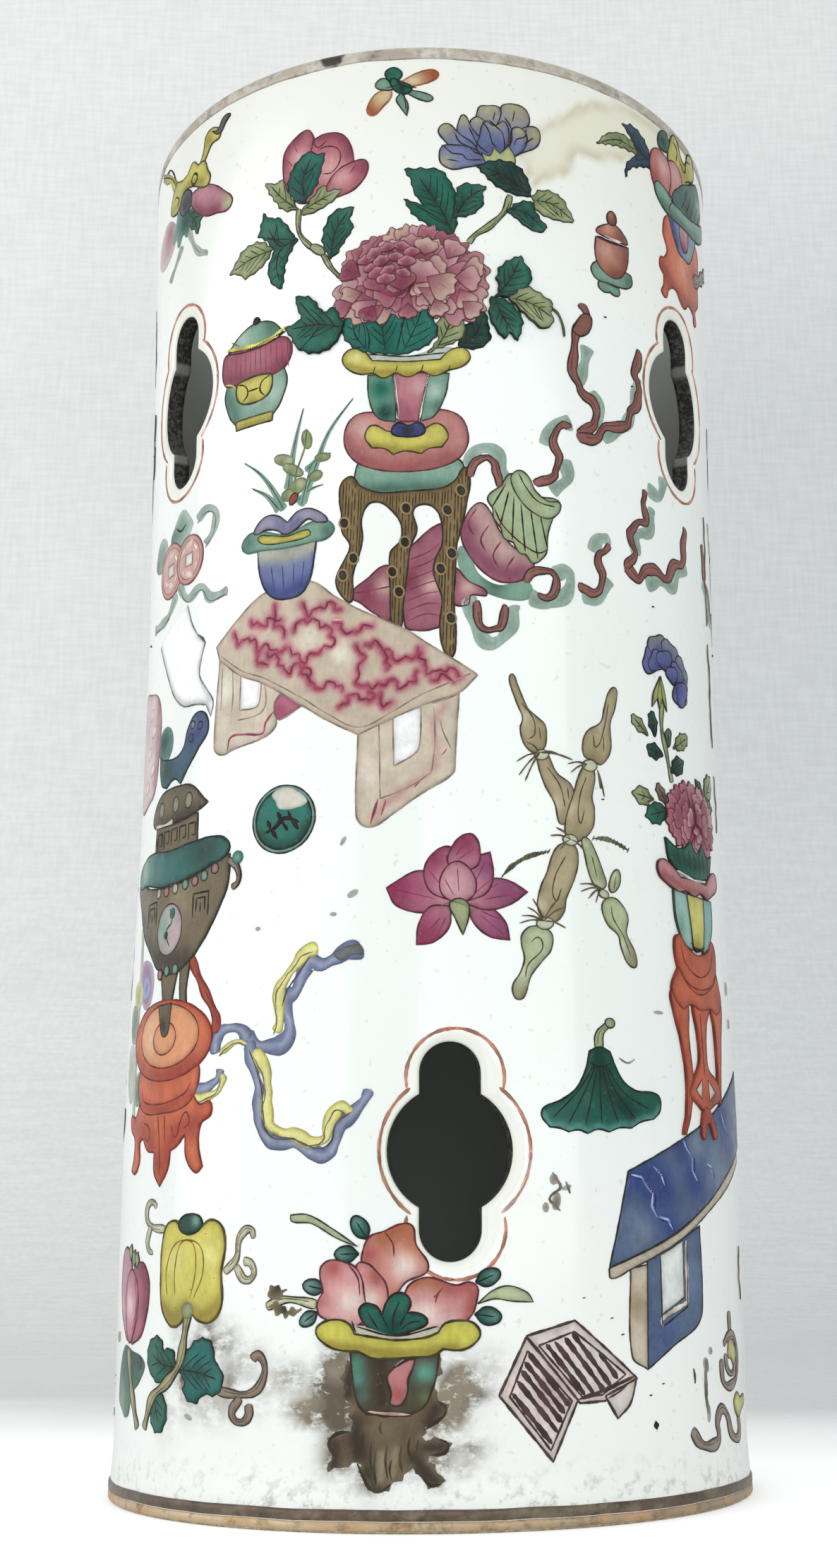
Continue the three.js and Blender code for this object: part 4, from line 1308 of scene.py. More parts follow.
def flower_bowl(p):
    p.shape([(-15.2, 187.4), (-15.6, 184.6, 1), (-9, 183.8), (-1, 183.6), (6.9, 184.8, 1), (6.6, 187.6), (5, 191.4),
             (-13.6, 191.4)], CELADON, (DARK_CELADON, [(-15, 185.4), (6, 185.4)], 1.4), width=0.36)
    p.shape([(-11, 201.2), (-15.4, 200.6), (-17.2, 196.4), (-15.4, 192), (-11, 189.6), (-5, 188.8), (1.4, 189.6),
             (5.6, 192), (7.1, 196), (5.4, 200.2), (1, 201.4), (-5, 199.2)], SALMON,
            (DEEP_SALMON, [(-17, 196), (-13, 191), (-5, 189.4), (4, 191.6)], 1.8), (PALE_ROSE, -13.4, 198.4, 2),
            ink=ROSE_INK)
    p.shape([(-13, 196.4), (-11.6, 198.6), (-8.6, 197.2, 1), (-5, 196.6), (-1.6, 197.4, 1), (1.2, 198.6), (3.2, 196.2),
             (2, 193.8, 1), (-0.6, 193.4), (-2, 192.4, 1), (-5, 193), (-7.4, 192.4, 1), (-9, 193.6), (-11.6, 194, 1)],
            YELLOW, (DARK_YELLOW, [(-12, 194.4), (-5, 193), (2, 194.4)], 0.8), width=0.36)
    p.shape([(-12.5, 209, 1), (-12.2, 204), (-10.4, 200), (-7, 199, 1), (-7, 204), (-7.6, 209, 1)], CELADON,
            (TEAL, -10, 206, 2.4), (DARK_TEAL, -9, 201, 2), width=0.3)
    p.shape([(-0.4, 209, 1), (-1.4, 204), (-2.2, 199, 1), (0.4, 200), (2.6, 204.4), (3.4, 209, 1)], CELADON,
            (paler(CELADON, 0.35), 0.2, 205, 1.6), (DARK_CELADON, 1.6, 202, 1.6), width=0.3)
    p.shape([(-7.5, 209, 1), (-6.9, 204), (-6.4, 199, 1), (-2.6, 199, 1), (-1.7, 204), (-0.5, 209, 1)],
            (0.76, 0.50, 0.54), (DEEP_ROSE + (0.5,), -5, 200.6, 3), (PALE_ROSE, -2.6, 206, 1.6), width=0.3,
            ink=ROSE_INK)
    p.line([(-7.3, 208.6), (-6.8, 204), (-6.4, 199.4)], 0.45, (0.86, 0.87, 0.83))
    p.line([(-0.6, 208.6), (-1.6, 204), (-2.3, 199.6)], 0.45, (0.86, 0.87, 0.83))
    p.shape([(-7.8, 197), (-6.6, 198.8), (-4.4, 198.2), (-2.4, 198.8), (-1.2, 197), (-2.6, 196), (-6.4, 196)],
            DEEP_BLUE, (INK, -4.6, 197, 1), width=0.36)
    p.fill([(-13.4, 214.6), (-5, 212.6), (4, 214.4), (3, 211.4), (-5, 210.4), (-12.6, 211.6)], (0.72, 0.74, 0.70))
    p.shape([(-17.6, 213.2), (-16, 214.8), (-13.4, 214.2), (-11.6, 212, 1), (-5, 211.4), (1.6, 211.8, 1), (3.6, 213.8),
             (6.2, 214.4), (7.5, 212.6), (6, 210.6), (3.2, 209.6, 1), (0.6, 208.4), (-2, 209.4, 1), (-4.6, 208.2),
             (-7, 209.2, 1), (-9.4, 208.2), (-11.4, 209.4, 1), (-14, 209.4), (-16.8, 211)], YELLOW,
            (DARK_YELLOW, [(-17, 211.6), (-11, 209.6), (0, 209), (6, 211)], 0.7), (paler(YELLOW), -14.6, 213, 1.2))
    p.line([(-12.6, 213.4), (-5, 212.5), (2.6, 213.2)], 0.34)
    for x in (-11.4, -7, -2, 3.2):
        p.line([(x, 209.4), (x + 0.4, 210.8)], 0.3)
    p.leaf([(5.3, 215, 1), (5.6, 218), (7.5, 220), (10.3, 222.7, 1), (11, 220.4), (11.3, 218.3, 1), (11.7, 217.3),
            (10, 215), (7.3, 214.3)], [(6, 215), (8.6, 217.6), (10.2, 221.8)], DARK_TEAL, darker(DARK_TEAL), 3)
    p.leaf([(-0.7, 213.3, 1), (1.3, 216.3), (1, 218.6), (1.3, 220, 1), (3.3, 222.7), (4.3, 223.3, 1), (5.3, 221.7),
            (6.3, 220, 1), (6.3, 217.3), (4.7, 215.7)], [(1, 214.2), (3, 218), (4.2, 222.4)], OLIVE, DARK_OLIVE, 4)
    calyx = [(-17.7, 220.7, 1), (-15.7, 223, 1), (-13, 220, 1), (-10.7, 222), (-10.3, 224.3, 1), (-7.7, 224),
             (-6, 222.7), (-5.3, 220.7, 1), (-1.7, 223.3, 1), (-0.3, 221), (0.8, 219.3), (1, 217.3), (-0.7, 215),
             (-3.3, 213.7), (-6, 213), (-12, 213.7), (-14.7, 214.7), (-17, 217), (-17.8, 219)]
    p.leaf(calyx, [(-9, 213.8), (-9.6, 218.6), (-10, 223.4)], (0.12, 0.42, 0.37), (0.06, 0.30, 0.27), 4)
    p.ribs(calyx, [(-12.6, 214.4), (-15, 217.6), (-15.8, 221.8)], 3)
    p.ribs(calyx, [(-5.4, 213.8), (-3.4, 218), (-1.9, 222.2)], 3)
    p.line([(-13, 219.8), (-12.2, 216.8), (-12.4, 214.2)], 0.34)
    p.line([(-5.3, 220.6), (-6, 217.4), (-6.8, 213.8)], 0.34)


paint("flower_bowl", flower_bowl, RIGHT, LEFT)


# The blue peony on the right, with its calyx and the leaves under it. Blue-violet enamel that
# is yellowish at the tips of the petals, with ink lines between them.
def blue_peony(p):
    blue, deep, tip = (0.44, 0.47, 0.63), (0.24, 0.27, 0.46), (0.66, 0.63, 0.51)
    p.ribbon([(15.6, 248), (14.6, 244.6), (11.4, 240.8), (8.6, 238.6), (7, 236.4)], 1.1, (0.62, 0.66, 0.48), DARK_OLIVE)
    for outline, spot in (([(9, 261), (9.3, 266.5), (11, 267.1), (13.5, 267), (14.4, 264), (12, 260)], (11, 267, 3)),
                          ([(13, 261), (13.8, 265.5), (14, 267.5), (16.5, 268.3), (19, 267.5), (19.8, 265), (19, 263.5),
                            (17, 260)], (17, 267.6, 3.6)),
                          ([(5.6, 258), (7.4, 262.6), (7.8, 263.6), (9, 264.4), (10.3, 263.8), (12, 262), (12.4, 257)],
                           (9, 264.4, 2)),
                          ([(17, 262), (19.3, 263.8), (21.5, 263.8), (22, 261.5), (21, 259.5), (18.5, 258),
                            (15.8, 257)], (21.4, 262.4, 2.4)),
                          ([(6, 257), (5, 260.6), (5.3, 263), (6.3, 264.6), (7.8, 262), (10, 258)], (6.3, 264, 1.8)),
                          ([(6, 255.4), (2.6, 258.6), (1.3, 261), (3, 262.5), (5.3, 260.5), (9, 257)], (2.6, 261.8, 2)),
                          ([(11.6, 254.8), (10, 254), (6.5, 253), (4, 252.5), (2, 253.5), (1.5, 255), (2, 257.4),
                            (4.4, 257.8), (8, 257.4)], (2.4, 253.6, 1.6)),
                          ([(12, 255), (14, 257), (15.4, 260), (14.6, 264), (12.4, 262.8), (10.6, 263.6), (9.4, 260),
                            (9, 257)], (12.6, 263.4, 1.4)),
                          ([(14, 255.6), (15.6, 259.4), (16.4, 263), (18.8, 262.6), (19, 259.6), (17, 257)],
                           (17.6, 262.6, 1.4))):
        p.shape(outline, blue, (tip, *spot[:2], spot[2] * 1.35), (deep + (0.6,), 12.6, 256.6, 3.4),
                edge=blend(blue, deep, 0.5), reach=0.4, width=0.3)
    for line in ([(2, 257.8), (4, 256), (6, 255.8), (7, 254.8), (10, 255)],
                 [(4.5, 260.5), (5.5, 258.5), (7.5, 257.5), (8.5, 256.5), (10.5, 256)],
                 [(7.3, 262), (8, 260.5), (9.3, 258), (11.3, 256.5)],
                 [(10, 263.5), (11.3, 261.5), (12, 259), (13, 258)],
                 [(11.3, 264), (13, 262.5), (14, 261.5), (14.5, 259.5), (14.5, 257.5)],
                 [(14.5, 265), (15.8, 263), (16, 260.5), (15.5, 258.5)],
                 [(19, 263.5), (18.8, 261.5), (17, 260.5), (16.5, 259)], [(12.6, 266), (12.2, 264)],
                 [(16.6, 266.8), (16.2, 264.4)], [(20.6, 261.6), (18.4, 259.6)], [(3, 254.6), (5.6, 254.2)]):
        p.line(line, 0.3)
    p.shape([(9.8, 256.6, 1), (11.4, 256), (12.3, 258, 1), (13.6, 256.8, 1), (15.3, 258.7, 1), (16.6, 256.6),
             (16.5, 254.8), (14.4, 253.4), (11, 254.2)], (0.74, 0.77, 0.55), (OLIVE, 14, 255, 1.8), width=0.28)
    p.leaf([(9, 253.5, 1), (12, 255), (15, 255.3), (17.5, 254.5), (19.5, 251.5), (20, 248.5, 1), (17, 248.3),
            (13.5, 249.3), (11.3, 251)], [(18.8, 249.4), (15, 251.6), (10.6, 253.4)], DARK_TEAL, darker(DARK_TEAL), 4)
    p.leaf([(15, 244.5, 1), (17, 246.5), (20, 247.5, 1), (21.5, 244.5), (23.5, 242.5, 1), (22, 241, 1), (19.5, 241.5),
            (16.5, 243.5)], [(15.6, 245), (19, 244.6), (22.6, 242)], pairs=3)
    p.leaf([(20.3, 248.5, 1), (21.5, 250), (24.5, 250.5), (27, 249.5, 1), (29.5, 245.5, 1), (28.5, 244.8),
            (23.5, 244.8), (21, 246)], [(20.6, 247.8), (24.6, 247.8), (28.8, 245.6)], OLIVE, DARK_OLIVE, 4)


paint("blue_peony", blue_peony, RIGHT, LEFT)


# The little terracotta jar with its lid, on a celadon foot. Brown-red enamel, darker on its
# right side, under a thin outline.
def terracotta_jar(p):
    clay, deep = (0.67, 0.46, 0.39), (0.50, 0.30, 0.26)
    p.shape([(33.6, 236.6), (36, 238.6), (42, 238.4), (44.4, 238, 1), (44.6, 236), (42.6, 234.6), (38, 234.2),
             (34.8, 234.4)], CELADON, (DARK_CELADON, 43.6, 236.6, 1.4))
    p.shape([(35.6, 234), (40.8, 234, 1), (41, 232.6), (39.6, 232), (38.4, 232.4, 1), (36.8, 232), (35.4, 232.8)],
            CELADON)
    p.shape([(34.8, 243.6, 1), (34.6, 240), (35.6, 237.4), (38.6, 235.8), (41.6, 236.8), (43.4, 240.4), (43.6, 244, 1),
             (39, 243.4)], clay, (deep, [(43, 243), (42.4, 238), (39, 236.4)], 1.4),
            ((0.80, 0.60, 0.54), 37.4, 241.6, 2.2), ink=ROSE_INK)
    p.shape([(34.9, 245), (36.8, 246.8), (39.6, 247.8), (42.2, 246.6), (43.4, 244.8), (41.8, 244.4), (36.4, 244.4)],
            clay, (deep, 41.8, 245.6, 1.6), ((0.78, 0.56, 0.52), 37.8, 246.4, 1.2), ink=ROSE_INK)
    p.shape([(38.2, 247.6), (37.8, 249.4), (39, 250.6), (40.2, 249.6), (39.9, 247.8)], deep, (clay, 38.6, 249.6, 0.8),
            width=0.32)
    p.line([(37, 244.6), (39.4, 244.3), (41.6, 244.5)], 0.7, (0.86, 0.80, 0.76))
    p.line([(35.2, 243.9), (39, 243.7), (43.2, 244)], 0.4)


paint("terracotta_jar", terracotta_jar, RIGHT, LEFT)


# The moth-like ornament at the top left: curled yellow clouds over a slate knot, with a rose
# blade on each side, teal leaves and two grey strings. The enamels lie wet in wet and have run
# together a little in the kiln; the ink is drawn on top.
BACK = (255.7, False)


def oval(x, y, wide, tall=None, tilt=0, n=12):
    """Points round an oval."""
    tall, turn = tall or wide, math.radians(tilt)
    ring = [(wide * math.cos(2 * math.pi * k / n), tall * math.sin(2 * math.pi * k / n)) for k in range(n)]
    return [(x + a * math.cos(turn) - b * math.sin(turn), y + a * math.sin(turn) + b * math.cos(turn)) for a, b in ring]


def both_sides(middle, away):
    """The outline of a band from its middle line and the way to its left edge."""
    return [*map(tuple, (middle + away)[::2]), *map(tuple, (middle - away)[::-2])]


def stripe(path, width, swell=0.25):
    """The outline of a band of about the given width along a path."""
    middle = spline(path)
    return both_sides(middle, leftwards(middle) * width / 2 * swollen(middle, swell))


def cloud_knot(p):
    for strings in ([(-60, 255), (-57.6, 250), (-55, 247), (-52, 245.8)], [(-62.6, 252), (-66, 249), (-69.6, 246.6)]):
        p.fill(stripe(strings, 1.5), (0.66, 0.71, 0.69))
        p.line(strings, 0.3, (0.5, 0.55, 0.53))
    p.fill([(-66, 258), (-71, 261.6), (-76, 260), (-79, 256.4), (-77, 253), (-72, 252), (-67, 254)], (0.76, 0.66, 0.67),
           ((0.60, 0.42, 0.46), -70, 258, 3), edge=(0.84, 0.80, 0.79), reach=1.4)
    p.leaf([(-60, 258), (-59, 254.6), (-57.6, 253.4, 1), (-55.8, 251.6, 1), (-55, 254, 1), (-53.4, 255.6, 1),
            (-55.4, 258.4)], [(-59.6, 258), (-57.6, 255.6), (-55.8, 252.4)], TEAL)
    p.fill([(-64, 262), (-66.4, 258), (-68, 254.6), (-65.6, 255, 1), (-64.6, 252.4), (-62.4, 254.4), (-60.4, 253),
            (-59, 258)], (0.42, 0.54, 0.54), (DARK_TEAL, -61, 257, 3), edge=CELADON)
    p.shape([(-60, 262, 1), (-55, 262), (-50.6, 260.6), (-46.6, 257.4), (-44.3, 254.8), (-45.4, 252.9), (-49, 253.4),
             (-53.4, 254.6), (-57.6, 258)], (0.72, 0.50, 0.55), (DEEP_ROSE, [(-58, 258), (-53, 255), (-49, 254)], 1.8),
            (OLIVE, -45, 254.6, 2.2), ink=ROSE_INK)
    p.shape([(-64, 263.4), (-61.6, 264.2), (-59, 263), (-58.6, 260), (-61.6, 258.6), (-64, 260.4)], (0.36, 0.44, 0.50),
            (INK, -61, 261, 2.2), width=0.3)
    p.fill(stripe([(-66.4, 267.4), (-69.4, 271), (-72.6, 273), (-76.4, 275.4)], 2), YELLOW,
           ((0.4, 0.42, 0.34), -75.6, 274.6, 3), edge=DARK_YELLOW)
    p.line([(-66, 267), (-68, 270), (-70.4, 272), (-76.6, 275.6)], 0.35)
    p.line([(-66, 268), (-68, 271.6), (-70.4, 274), (-73, 274.4)], 0.35)
    p.shape([(-55.4, 266), (-54, 269.6), (-53.2, 272.8), (-51, 273.8), (-48.6, 272.6), (-48.4, 270.6), (-51, 270.2),
             (-53, 268)], YELLOW, (DARK_YELLOW, -52, 271.6, 1.2))
    p.shape([(-51, 273, 1), (-49, 272.6), (-47.4, 274.6), (-45.2, 274.6), (-46.4, 273.4), (-48.4, 271.4)],
            (0.36, 0.36, 0.33), width=0.3)
    p.shape([(-69.4, 263), (-68.4, 266), (-65.6, 268.4, 1), (-63, 267.4), (-60.4, 267.6, 1), (-58, 269.2),
             (-56, 267.6, 1), (-53.6, 267.4), (-52.4, 264.8, 1), (-51.4, 262.8), (-52.6, 261.2), (-55.4, 262.2),
             (-58.4, 263.8), (-62, 264.2), (-64.8, 261.4), (-67.6, 261.4)], YELLOW,
            (DARK_YELLOW, [(-69, 263), (-65, 263), (-60, 265), (-54, 263)], 0.9), (blend(YELLOW, OLIVE), -66, 266, 2))
    p.line(oval(-57.4, 265, 1.2), 0.6, closed=True)
    p.line([(-68, 264.4), (-66, 265), (-64.6, 263.6), (-65.6, 262.4)], 0.35)


paint("cloud_knot", cloud_knot, BACK)


# The fruit bowl at the top right: peaches with dark leaves, a yellow scroll and a green ball in
# a celadon bowl, on a blue and rose vase that stands in a knotted orange stand. Enamels laid
# over one another, at the edge of the tube, where they are seen almost from the side.
def fruit_bowl(p):
    orange, deep = (0.80, 0.45, 0.34), (0.62, 0.28, 0.22)
    p.leaf([(51, 265.4, 1), (48, 264.4), (44.4, 262.4), (43, 259.8, 1), (43.4, 263), (46.4, 267), (44.4, 270),
            (42.4, 271.8, 1), (45.4, 272.6), (49, 271), (51, 268)], [(50.6, 267), (47.6, 267.8), (43.4, 271.6)],
           (0.20, 0.32, 0.36), (0.10, 0.16, 0.26), 3)
    p.leaf([(46.6, 266.6, 1), (41, 266.2), (35.4, 264.8, 1), (38, 267.8), (42, 269.4), (45.6, 268.8, 1)],
           [(46, 267.4), (41, 267.6), (36.4, 265.4)], OLIVE, DARK_OLIVE)
    p.shape([(54.4, 246.6), (54, 244.4), (55.6, 243, 1), (55.4, 240.4), (54.6, 238.8), (56.4, 238), (57.6, 240.4),
             (60.6, 241.6), (63.4, 239.4), (65.4, 239.4), (67.4, 241), (70.4, 240.2), (71, 238.2), (72.6, 239),
             (72, 241.6), (74.6, 244.6), (74.4, 249), (75, 256), (72, 258), (57.4, 257.4), (55.4, 253), (57, 249.4),
             (55.8, 247)], orange, (deep, [(55, 245), (58, 242), (66, 240.6), (73, 243)], 2.4), (deep, 72, 250, 3),
            ((0.86, 0.58, 0.46), 64, 248, 3), edge=deep, ink=(0.5, 0.2, 0.16))
    p.ribbon([(86, 258), (80, 254), (75, 250.6), (71, 248.4)], 2.6, (0.50, 0.46, 0.45))
    p.shape(pot(65, (7.4, 260), (6, 255), (3.6, 251.6), (2, 250.8, 1)), (0.48, 0.54, 0.66),
            (DEEP_BLUE, [(59, 257), (61.6, 252)], 1.6), (CELADON, 68.4, 254, 1.6))
    p.shape([(62.6, 259, 1), (63, 254.4), (65, 252.4), (67.4, 254.6), (67.6, 259, 1)], (0.74, 0.56, 0.60),
            (DEEP_ROSE, 65, 253, 2), width=0.36)
    p.shape([(54, 272.4), (54.4, 275.4), (56.6, 276.8), (58.6, 275), (58, 272.8), (56, 271.9)], (0.34, 0.45, 0.40),
            (DARK_TEAL, 56, 274, 1.4))
    p.shape([(58, 270.6), (58.6, 275), (60.4, 278), (62.6, 277, 1), (64, 274.6), (66.4, 274), (68, 277.4), (71, 277.6),
             (72, 273.6), (69, 271), (66, 268.6), (62, 269)], (0.76, 0.72, 0.42), (DARK_YELLOW, 66, 272, 3), width=0.46)
    for curl in ([(60, 276.4), (62, 275), (61.4, 272)], [(63, 273.4), (66, 272), (67, 275), (69.6, 276)],
                 [(66, 269.6), (69, 271.4), (71.6, 272)]):
        p.line(curl, 0.5)
    peach = (0.74, 0.47, 0.44)
    p.shape([(56.6, 264), (57, 269.4), (60.6, 271.6), (64, 270), (65, 266), (62, 262.6)], peach,
            (PALE_ROSE, 61, 268.6, 2.6), ink=ROSE_INK)
    p.shape([(50.9, 266), (51.6, 270), (54.4, 271.4), (58, 270), (59, 266), (57, 262), (53, 261.6)], peach,
            ((0.60, 0.30, 0.28), 52.4, 263.6, 2.6), (PALE_ROSE, 56, 268, 2.4), ink=ROSE_INK)
    p.shape([(59.6, 262), (63, 267), (69, 270.6), (75, 273), (78, 268), (74, 262.4), (66, 261)], (0.28, 0.42, 0.40),
            (DARK_TEAL, 68, 264, 4), (CELADON, 76, 269, 2))
    for k in range(5):
        p.line([(64 + 2.4 * k, 262.4), (66 + 2.4 * k, 265.4), (67 + 2.6 * k, 268.4)], 0.3)
    p.shape([(52.4, 262), (53.4, 263.6), (57, 263), (59.6, 261.4, 1), (68, 262), (76, 264.6), (80, 266), (79, 262),
             (73, 259), (66, 258), (58, 257.8), (54, 259.4)], CELADON,
            (DARK_CELADON, [(54, 259.4), (66, 258.6), (78, 262)], 1.2))
    p.line([(59.4, 261.6), (58, 259), (59.6, 258)], 0.36)


paint("fruit_bowl", fruit_bowl)


# The stool of burled wood under the flower bowl, with the great magenta leaf behind its legs.
# Brown enamel hatched with darker strokes, and pale rings with dark hearts for the knots.
WOOD, DARK_WOOD = (0.50, 0.42, 0.27), (0.27, 0.20, 0.12)


def knots(p, *places):
    for x, y in places:
        p.fill(oval(x, y, 1.15, 1.35, 20), (0.62, 0.54, 0.38))
        p.fill(oval(x, y, 0.8, 1.0, 20), darker(DARK_WOOD, 0.6), grain=0.4)


def hatch(p, outline, angle, apart, width, colour, broken=0, inset=0.5, ends=3.0):
    """Straight strokes across an outline at an angle, some of them broken off."""
    ring, turn = spline(outline, True), math.radians(angle)
    along, away = np.array((math.cos(turn), math.sin(turn))), np.array((-math.sin(turn), math.cos(turn)))
    span, cross = ring @ along, ring @ away
    places = np.arange(span.min(), span.max(), 0.35)
    for offset in np.arange(cross.min() + apart * 0.6, cross.max(), apart):
        run = []
        shift = p.luck.uniform(-0.15, 0.15) * apart
        dots = places[:, None] * along + (offset + shift) * away
        for dot, inside in zip(dots, enclosed(dots, ring) & (gap(dots, ring) > inset * 0.7)):
            if inside and not (len(run) > 5 and p.luck.random() < broken):
                run.append(tuple(dot))
            else:
                if len(run) > 3:
                    p.line([run[0], run[len(run) // 2], run[-1]], width, colour, ends=ends)
                run = []
        if len(run) > 3:
            p.line([run[0], run[-1]], width, colour, ends=ends)


def wood(p, outline):
    p.shape(outline, WOOD, edge=DARK_WOOD, reach=0.4)
    hatch(p, outline, 88, 0.62, 0.3, DARK_WOOD, 0.05)


def stool(p):
    leaf = (0.61, 0.36, 0.43)
    for outline, spot, ray in (([(-15.6, 164.6), (-12, 168), (-8.6, 170.2), (-7.4, 168), (-8, 159.4), (-10.6, 160.6),
                                 (-13.6, 163)], (-12, 165, 3), (-8, 169)),
                               ([(-5.2, 172), (-2.6, 175), (0, 177.4), (2.2, 178), (2.4, 158.8), (0, 157.4),
                                 (-3, 157.2), (-5, 158)], (-4.4, 167, 2.6), (1, 176)),
                               ([(4, 169.4), (7, 167), (10.6, 164.7), (7.4, 164.2), (7, 162.4), (4.2, 162.6)],
                                (4, 166, 2), (8, 165))):
        p.shape(outline, leaf, (DEEP_ROSE, *spot), ((0.80, 0.66, 0.62), ray[0] - 1, 166, 2), ink=ROSE_INK)
    for k in range(7):
        p.line([(-4.6, 159 + 2 * k), (-1, 160.4 + 2 * k), (1.6, 160 + 2.4 * k)], 0.24, DEEP_ROSE)
    p.line([(-15, 165), (-10, 165.6), (-7.6, 166)], 0.3, DEEP_ROSE)
    wood(p,
         [(-18, 184), (-17.6, 187.4), (-15.6, 188.5), (-13.8, 186.4), (-10, 184.8), (-4, 184.9), (2, 185.5), (4.4, 187),
          (6.6, 189.8), (7.4, 187), (6.6, 182), (5.8, 178), (4.8, 174), (4.5, 168), (4.2, 163), (4.6, 157), (4, 152.2),
          (2.4, 153), (1.5, 158), (1.9, 163.6), (0.4, 168), (0.6, 171), (2, 174.4), (1.7, 179.4), (0, 181.8),
          (-2.4, 182), (-3.6, 180.6), (-2.8, 177), (-4, 173.8), (-4.7, 168), (-5.4, 162), (-5.9, 157.5), (-7.4, 157.8),
          (-7.9, 165), (-7.9, 172.6), (-6, 175), (-5.8, 178), (-7.6, 181), (-10, 182.8), (-12.2, 182.6), (-13.6, 179.4),
          (-13.3, 176), (-14, 172.6), (-15.2, 168.6), (-15.4, 163.4), (-17.4, 164.8), (-18.6, 168), (-17, 171.6),
          (-15.8, 174.6), (-17.4, 177.4), (-17.6, 181)])
    knots(p, (-17, 179.2), (-17.2, 168.8), (-15.1, 172), (-4.9, 181.4), (-5.1, 174.6), (-7.5, 168.8), (-6.2, 164.8),
          (3.8, 172.4), (1.7, 169.3), (3.6, 159.6), (3, 181), (5.6, 185))


paint("burl_stool", stool, RIGHT, LEFT)


# The parasol behind the stool: a ribbed green canopy with a scalloped hem over rose petals.
# Its ribs are single strokes of ink over a thin green wash.
def parasol(p):
    p.fill([(6, 174), (9, 168.6), (13, 166.6), (18.4, 168), (19.6, 165), (15, 163.8), (9, 165.6), (5.2, 169.6)],
           CELADON, (DARK_CELADON, 12, 166, 2))
    p.shape([(7.2, 181), (9.4, 182.8), (11.4, 181), (13, 177.6), (15.6, 174.6), (18.6, 172.8), (20, 171.4),
             (18.6, 168.8), (16, 167.4), (12.6, 167.4), (9.4, 169.4), (6.4, 173.4), (5.6, 177)], (0.74, 0.60, 0.58),
            ((0.52, 0.26, 0.36), [(6.6, 178), (7.4, 174), (10, 171), (14, 168.8), (18, 169.6)], 2.2), ink=ROSE_INK)
    for x, y in ((8.6, 181.6), (11, 178.4), (13.4, 175.4), (16, 172.6)):
        p.line([(x, y), (x - 1.6, y - 3), (x - 0.6, y - 5.4)], 0.4, DEEP_ROSE)
    green = (0.66, 0.73, 0.58)
    p.shape([(10.8, 184), (11.8, 181.8, 1), (12, 179.8), (13.4, 178, 1), (14, 176), (15.8, 175.4, 1), (17, 173.4),
             (18.4, 173.2, 1), (19.6, 171.6), (21, 172, 1), (22.6, 174), (23, 178), (24.4, 182), (25.6, 184.8),
             (21, 185.4), (18, 188), (15.4, 189.2), (13.4, 186.6)], green,
            (OLIVE, [(12, 182), (15, 177), (20, 173.4)], 1.4), (DARK_OLIVE + (0.5,), 22, 182, 2))
    for start, stop in (((14.4, 187), (11.6, 182)), ((15, 185.6), (13.2, 178.4)), ((16, 184.6), (15.6, 175.8)),
                        ((17.4, 183.4), (18.2, 173.6)), ((19.4, 182.2), (20.8, 172.6)), ((21.4, 181.4), (22.8, 175))):
        p.line([start, stop], 0.36)
    p.line([(12, 182), (13.6, 178.8), (16, 176.4), (18.6, 174.6), (21, 173.8), (23, 174.8)], 0.32)
    p.shape([(15.4, 188.4), (17.2, 190.1), (19.2, 188.8), (20.4, 186.4), (23, 184.6), (25.6, 184.6), (25.4, 182.6),
             (23, 181), (19.6, 182), (17, 184.4)], green, (OLIVE, 20, 184, 2))
    p.line([(17, 189.4), (18.6, 186.6), (21, 184.2), (24.6, 183.6)], 0.32)
    p.dots([(17.4, 187.6), (18.4, 186), (19.6, 184.8), (21.4, 183.6), (23.4, 183)], 0.4)


paint("parasol", parasol, RIGHT, LEFT)


# Red-brown silk ribbons, each with a celadon one behind it. Every one is a wavering stroke of
# thin enamel, inked along both edges. Those at the far right are a piece of their own.
RIBBON = (0.56, 0.37, 0.34)


def waved(path, amount, pace, phase=0.0):
    """The path with small waves to both sides of it."""
    middle = spline(path, step=0.4)
    run = np.arange(len(middle)) * 0.4
    wave = amount * (np.sin(run * pace + phase) + 0.5 * np.sin(run * pace * 2.15 + 2 * phase))
    return [tuple(v) for v in (middle + leftwards(middle) * wave[:, None])[::2]]


